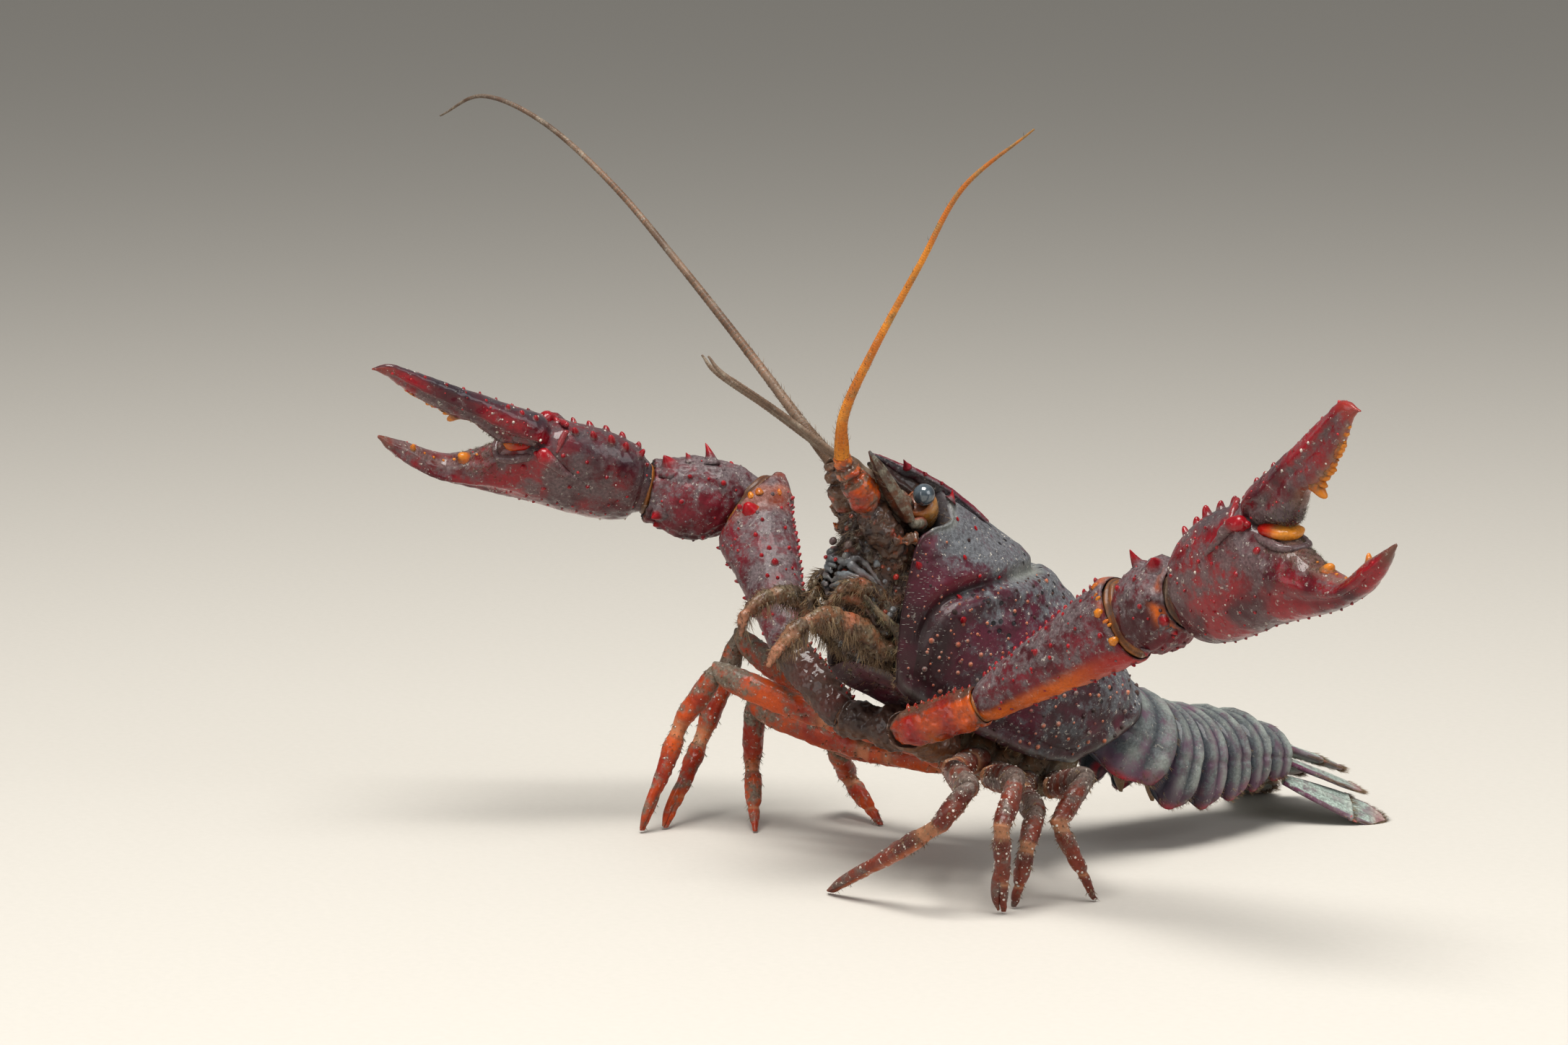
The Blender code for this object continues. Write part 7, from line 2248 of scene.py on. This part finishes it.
# %% Growing a coat of hair
def coat(name, body, count, spacing, where, lie, lengths, finish, slot, seed, form=None, radius=0.4,
         stand=0.6, curl=0.45):
    """Tufts over a finished piece. where says how likely each place is and lie is the way they lie."""
    mesh = bpy.data.objects[body].data
    spots, ways, maps = strewn(mesh, count, spacing * MM, lambda c, w, m: where(c / MM + MIDDLE, w, m),
                               seed, tries=5)
    spots = spots / MM + MIDDLE
    tall = np.random.default_rng(seed).uniform(*lengths, len(spots))
    hair = grow(name, form or TUFT, spots, ways * stand + lie, radius, tall, lean=lie, tilt=curl,
                unwrap=maps, seed=seed)
    return piece(hair, finish, slot)


def anywhere(centres, ways, maps):
    """Every place alike."""
    return np.ones(len(centres))


for name, sign in SIDES:
    foot = f"maxilliped_{name}_limb"
    coat(f"maxilliped_{name}_nap", foot, 300, 0.5, lambda c, w, m: (m[:, 1] > 0.1)
         * (1.0 - 0.6 * step_up(m[:, 1], 0.75, 0.95)), AHEAD * 0.6 - SKY * 0.6, (0.3, 0.8), brown_hair,
         "mouthparts", 101, radius=0.3)
    coat(f"maxilliped_{name}_fringe", foot, 150, 0.5,
         lambda c, w, m: np.clip(-w[:, 2] + 0.15 - 0.3 * w @ AHEAD, 0, 1) * (m[:, 1] > 0.12)
         * (1.05 - m[:, 1]) * blots(c, 1.6, 3, 0.35, 0.6), -SKY * 1.2, (1.0, 3.0), brown_hair,
         "mouthparts", 102, radius=0.42, stand=0.45, curl=0.25)
    for k in (1, 2):
        coat(f"second_jaw_foot_{name}_{k}_hair", f"second_jaw_foot_{name}_{k}", 130, 0.4, anywhere,
             AHEAD * 0.5 - SKY * 0.8, (0.6, 1.7), brown_hair, "mouthparts", 103 + k)
    coat(f"outer_branch_{name}_hair", f"outer_branch_{name}", 90, 0.4, anywhere, -SKY, (0.5, 1.1),
         olive_hair, "mouthparts", 106)
    coat(f"antenna_base_{name}_hair", f"antenna_base_{name}_barrels", 150, 0.5,
         lambda c, w, m: 1.0 - 0.93 * step_up(m[:, 1], 0.42, 0.48) + 1.5 * bell(m[:, 1], 0.73, 0.03),
         AHEAD * 0.8 - SKY * 0.4, (0.3, 0.9), dark_hair,
         "antenna_base", 107, radius=0.3)
    coat(f"antenna_scale_{name}_fringe", f"antenna_scale_{name}_blade", 90, 0.25,
         lambda c, w, m: (w @ (LEFT * -sign) > 0.55) * (m[:, 1] > 0.1) * (m[:, 1] < 0.7),
         LEFT * (-0.8 * sign) + AHEAD * 0.9, (0.6, 1.1), dark_hair, "antenna_scale", 108, COMB, 0.25,
         0.4, 0.15)
    coat(f"antenna_{name}_hair", f"antenna_{name}_whip", 150, 0.5, lambda c, w, m: 1.0
         - 0.97 * step_up(m[:, 1], 0.2, 0.4), SKY * 0.7 + AHEAD * 0.2, (0.35, 0.95), brown_hair,
         "feeler", 109, HAIR, 0.28, 0.9, 0.2)
    for part, place in (("palm", 0), ("finger", 1)):
        way, wrist, size = CHELAE[name], arm_joints[name][-1], CLAW_SIZES[name]
        upward = np.cross(unit(np.cross(way, DACTYL_SIDES[name])), way)
        middle = (wrist + (way * (23.5 if part == "palm" else 22.3)
                           + upward * (1.2 if part == "palm" else 5.6)) * size)
        facing_way = upward if part == "palm" else unit(way * 0.8 - upward)
        coat(f"claw_{name}_{part}_moss", f"claw_{name}_{part}_shell", 150, 0.28,
             lambda c, w, m: np.exp(-((c - middle) ** 2).sum(1) / 9.0)
             * np.clip(w @ facing_way + 0.15, 0, 1), way * 0.5 + facing_way * 0.3, (0.12, 0.36),
             olive_hair, "claw", 110 + place, radius=0.26, stand=0.8)
coat("mouth_core_hair", "mouth_core", 900, 0.35, lambda c, w, m: (w @ AHEAD > -0.3)
     * (0.4 + mottle(c, 1.5, 5)), AHEAD * 0.3 - BACK_UP * 0.9, (0.5, 1.5), dark_hair, "mouthparts", 112,
     radius=0.36)
coat("sternum_hair", "sternum_keel", 220, 0.6, lambda c, w, m: w[:, 2] < 0.2, -SKY * 0.6 + AHEAD * 0.2,
     (0.5, 1.2), brown_hair, "belly", 113)


# %% [markdown]
# ## Nap and fringes of shell, legs and tail
# Short pale hairs lie over the front of the shield, longer ones hang from its margin, and each plate of
# the tail and each blade of the fan ends in a fringe. The legs bear their brushes at the joints.

# %% Nap and fringes of shell, legs and tail
def rim_of_shell(centres, ways, maps):
    """The free margin and the front rim of the shield."""
    side, way = shell_sides(maps)
    return bell(side, 0.985, 0.02) * (way > 0.1) + 1.2 * bell(way, 1.985, 0.02) * (side > 0.3)


def top_of_shell(centres, ways, maps):
    """The shield's outside, mostly ahead of the groove."""
    side, way = shell_sides(maps)
    return ((side < 0.95) * (way > 0.03) * (way < 1.96) * (0.35 + step_up(way, 1.0, 1.2))
            * (0.3 + mottle(centres, 2.5, 9)))


coat("carapace_rim_hair", "carapace_shield", 420, 0.35, rim_of_shell, -BACK_UP * 0.7 + AHEAD * 0.4,
     (0.4, 1.0), brown_hair, "carapace", 114, radius=0.3)
coat("carapace_nap", "carapace_shield", 1500, 0.32, top_of_shell, -BACK_UP * 0.5 + AHEAD * 0.5,
     (0.22, 0.42), grey_hair, "carapace", 115, HAIR, 0.26, 0.35, 0.3)
for side_name, _ in SIDES:
    for number in range(1, 5):
        for part in ("upper", "lower"):
            joint = (0.42, 1.0) if part == "upper" else (0.0, 0.45)
            coat(f"leg_{side_name}_{number}_{part}_hair", f"leg_{side_name}_{number}_{part}_shell", 75,
                 0.4, lambda c, w, m: 0.12 + bell(m[:, 1], joint[0] * 0.9 + 0.05, 0.07)
                 + bell(m[:, 1], joint[1] * 0.9 + 0.05, 0.07) + 0.5 * step_up(m[:, 1], 0.8, 0.95)
                 * (part == "lower"), -SKY * 0.8, (0.3, 0.85), brown_hair if side_name == "left"
                 else olive_hair, "leg", 120 + number, radius=0.26)
for number in range(1, 7):
    plate_way = unit(tail_joints[number] - tail_joints[number - 1])
    coat(f"tail_{number}_fringe", f"tail_{number}_plate", 130, 0.3,
         lambda c, w, m: bell(np.abs(2 * m[:, 0] - 1) * HALF_TURN, 6.9, 0.5)
         + 0.8 * bell(m[:, 1], 0.9, 0.02) * (np.abs(2 * m[:, 0] - 1) * HALF_TURN < 6.5), plate_way * 0.7
         - SKY * 0.4, (0.4, 0.95), brown_hair, "tail", 130 + number, COMB, 0.28, 0.5, 0.2)
for plate in ("telson_plate", "uropod_inner_left_plate", "uropod_outer_left_plate",
              "uropod_inner_right_plate", "uropod_outer_right_plate"):
    coat(f"{plate[:-6]}_fringe", plate, 330, 0.2, lambda c, w, m: np.clip(w @ fan_way - 0.35, 0, 1)
         + 0.5 * (np.abs(w @ fan_up) < 0.45) * step_up(m[:, 1], 0.35, 0.5), fan_way, (0.9, 1.9),
         brown_hair, "tail_fan", 140, COMB, 0.26, 0.35, 0.12)
print("triangles in all:", sum(len(p.data.loops) - 2 * len(p.data.polygons) for p in PIECES))
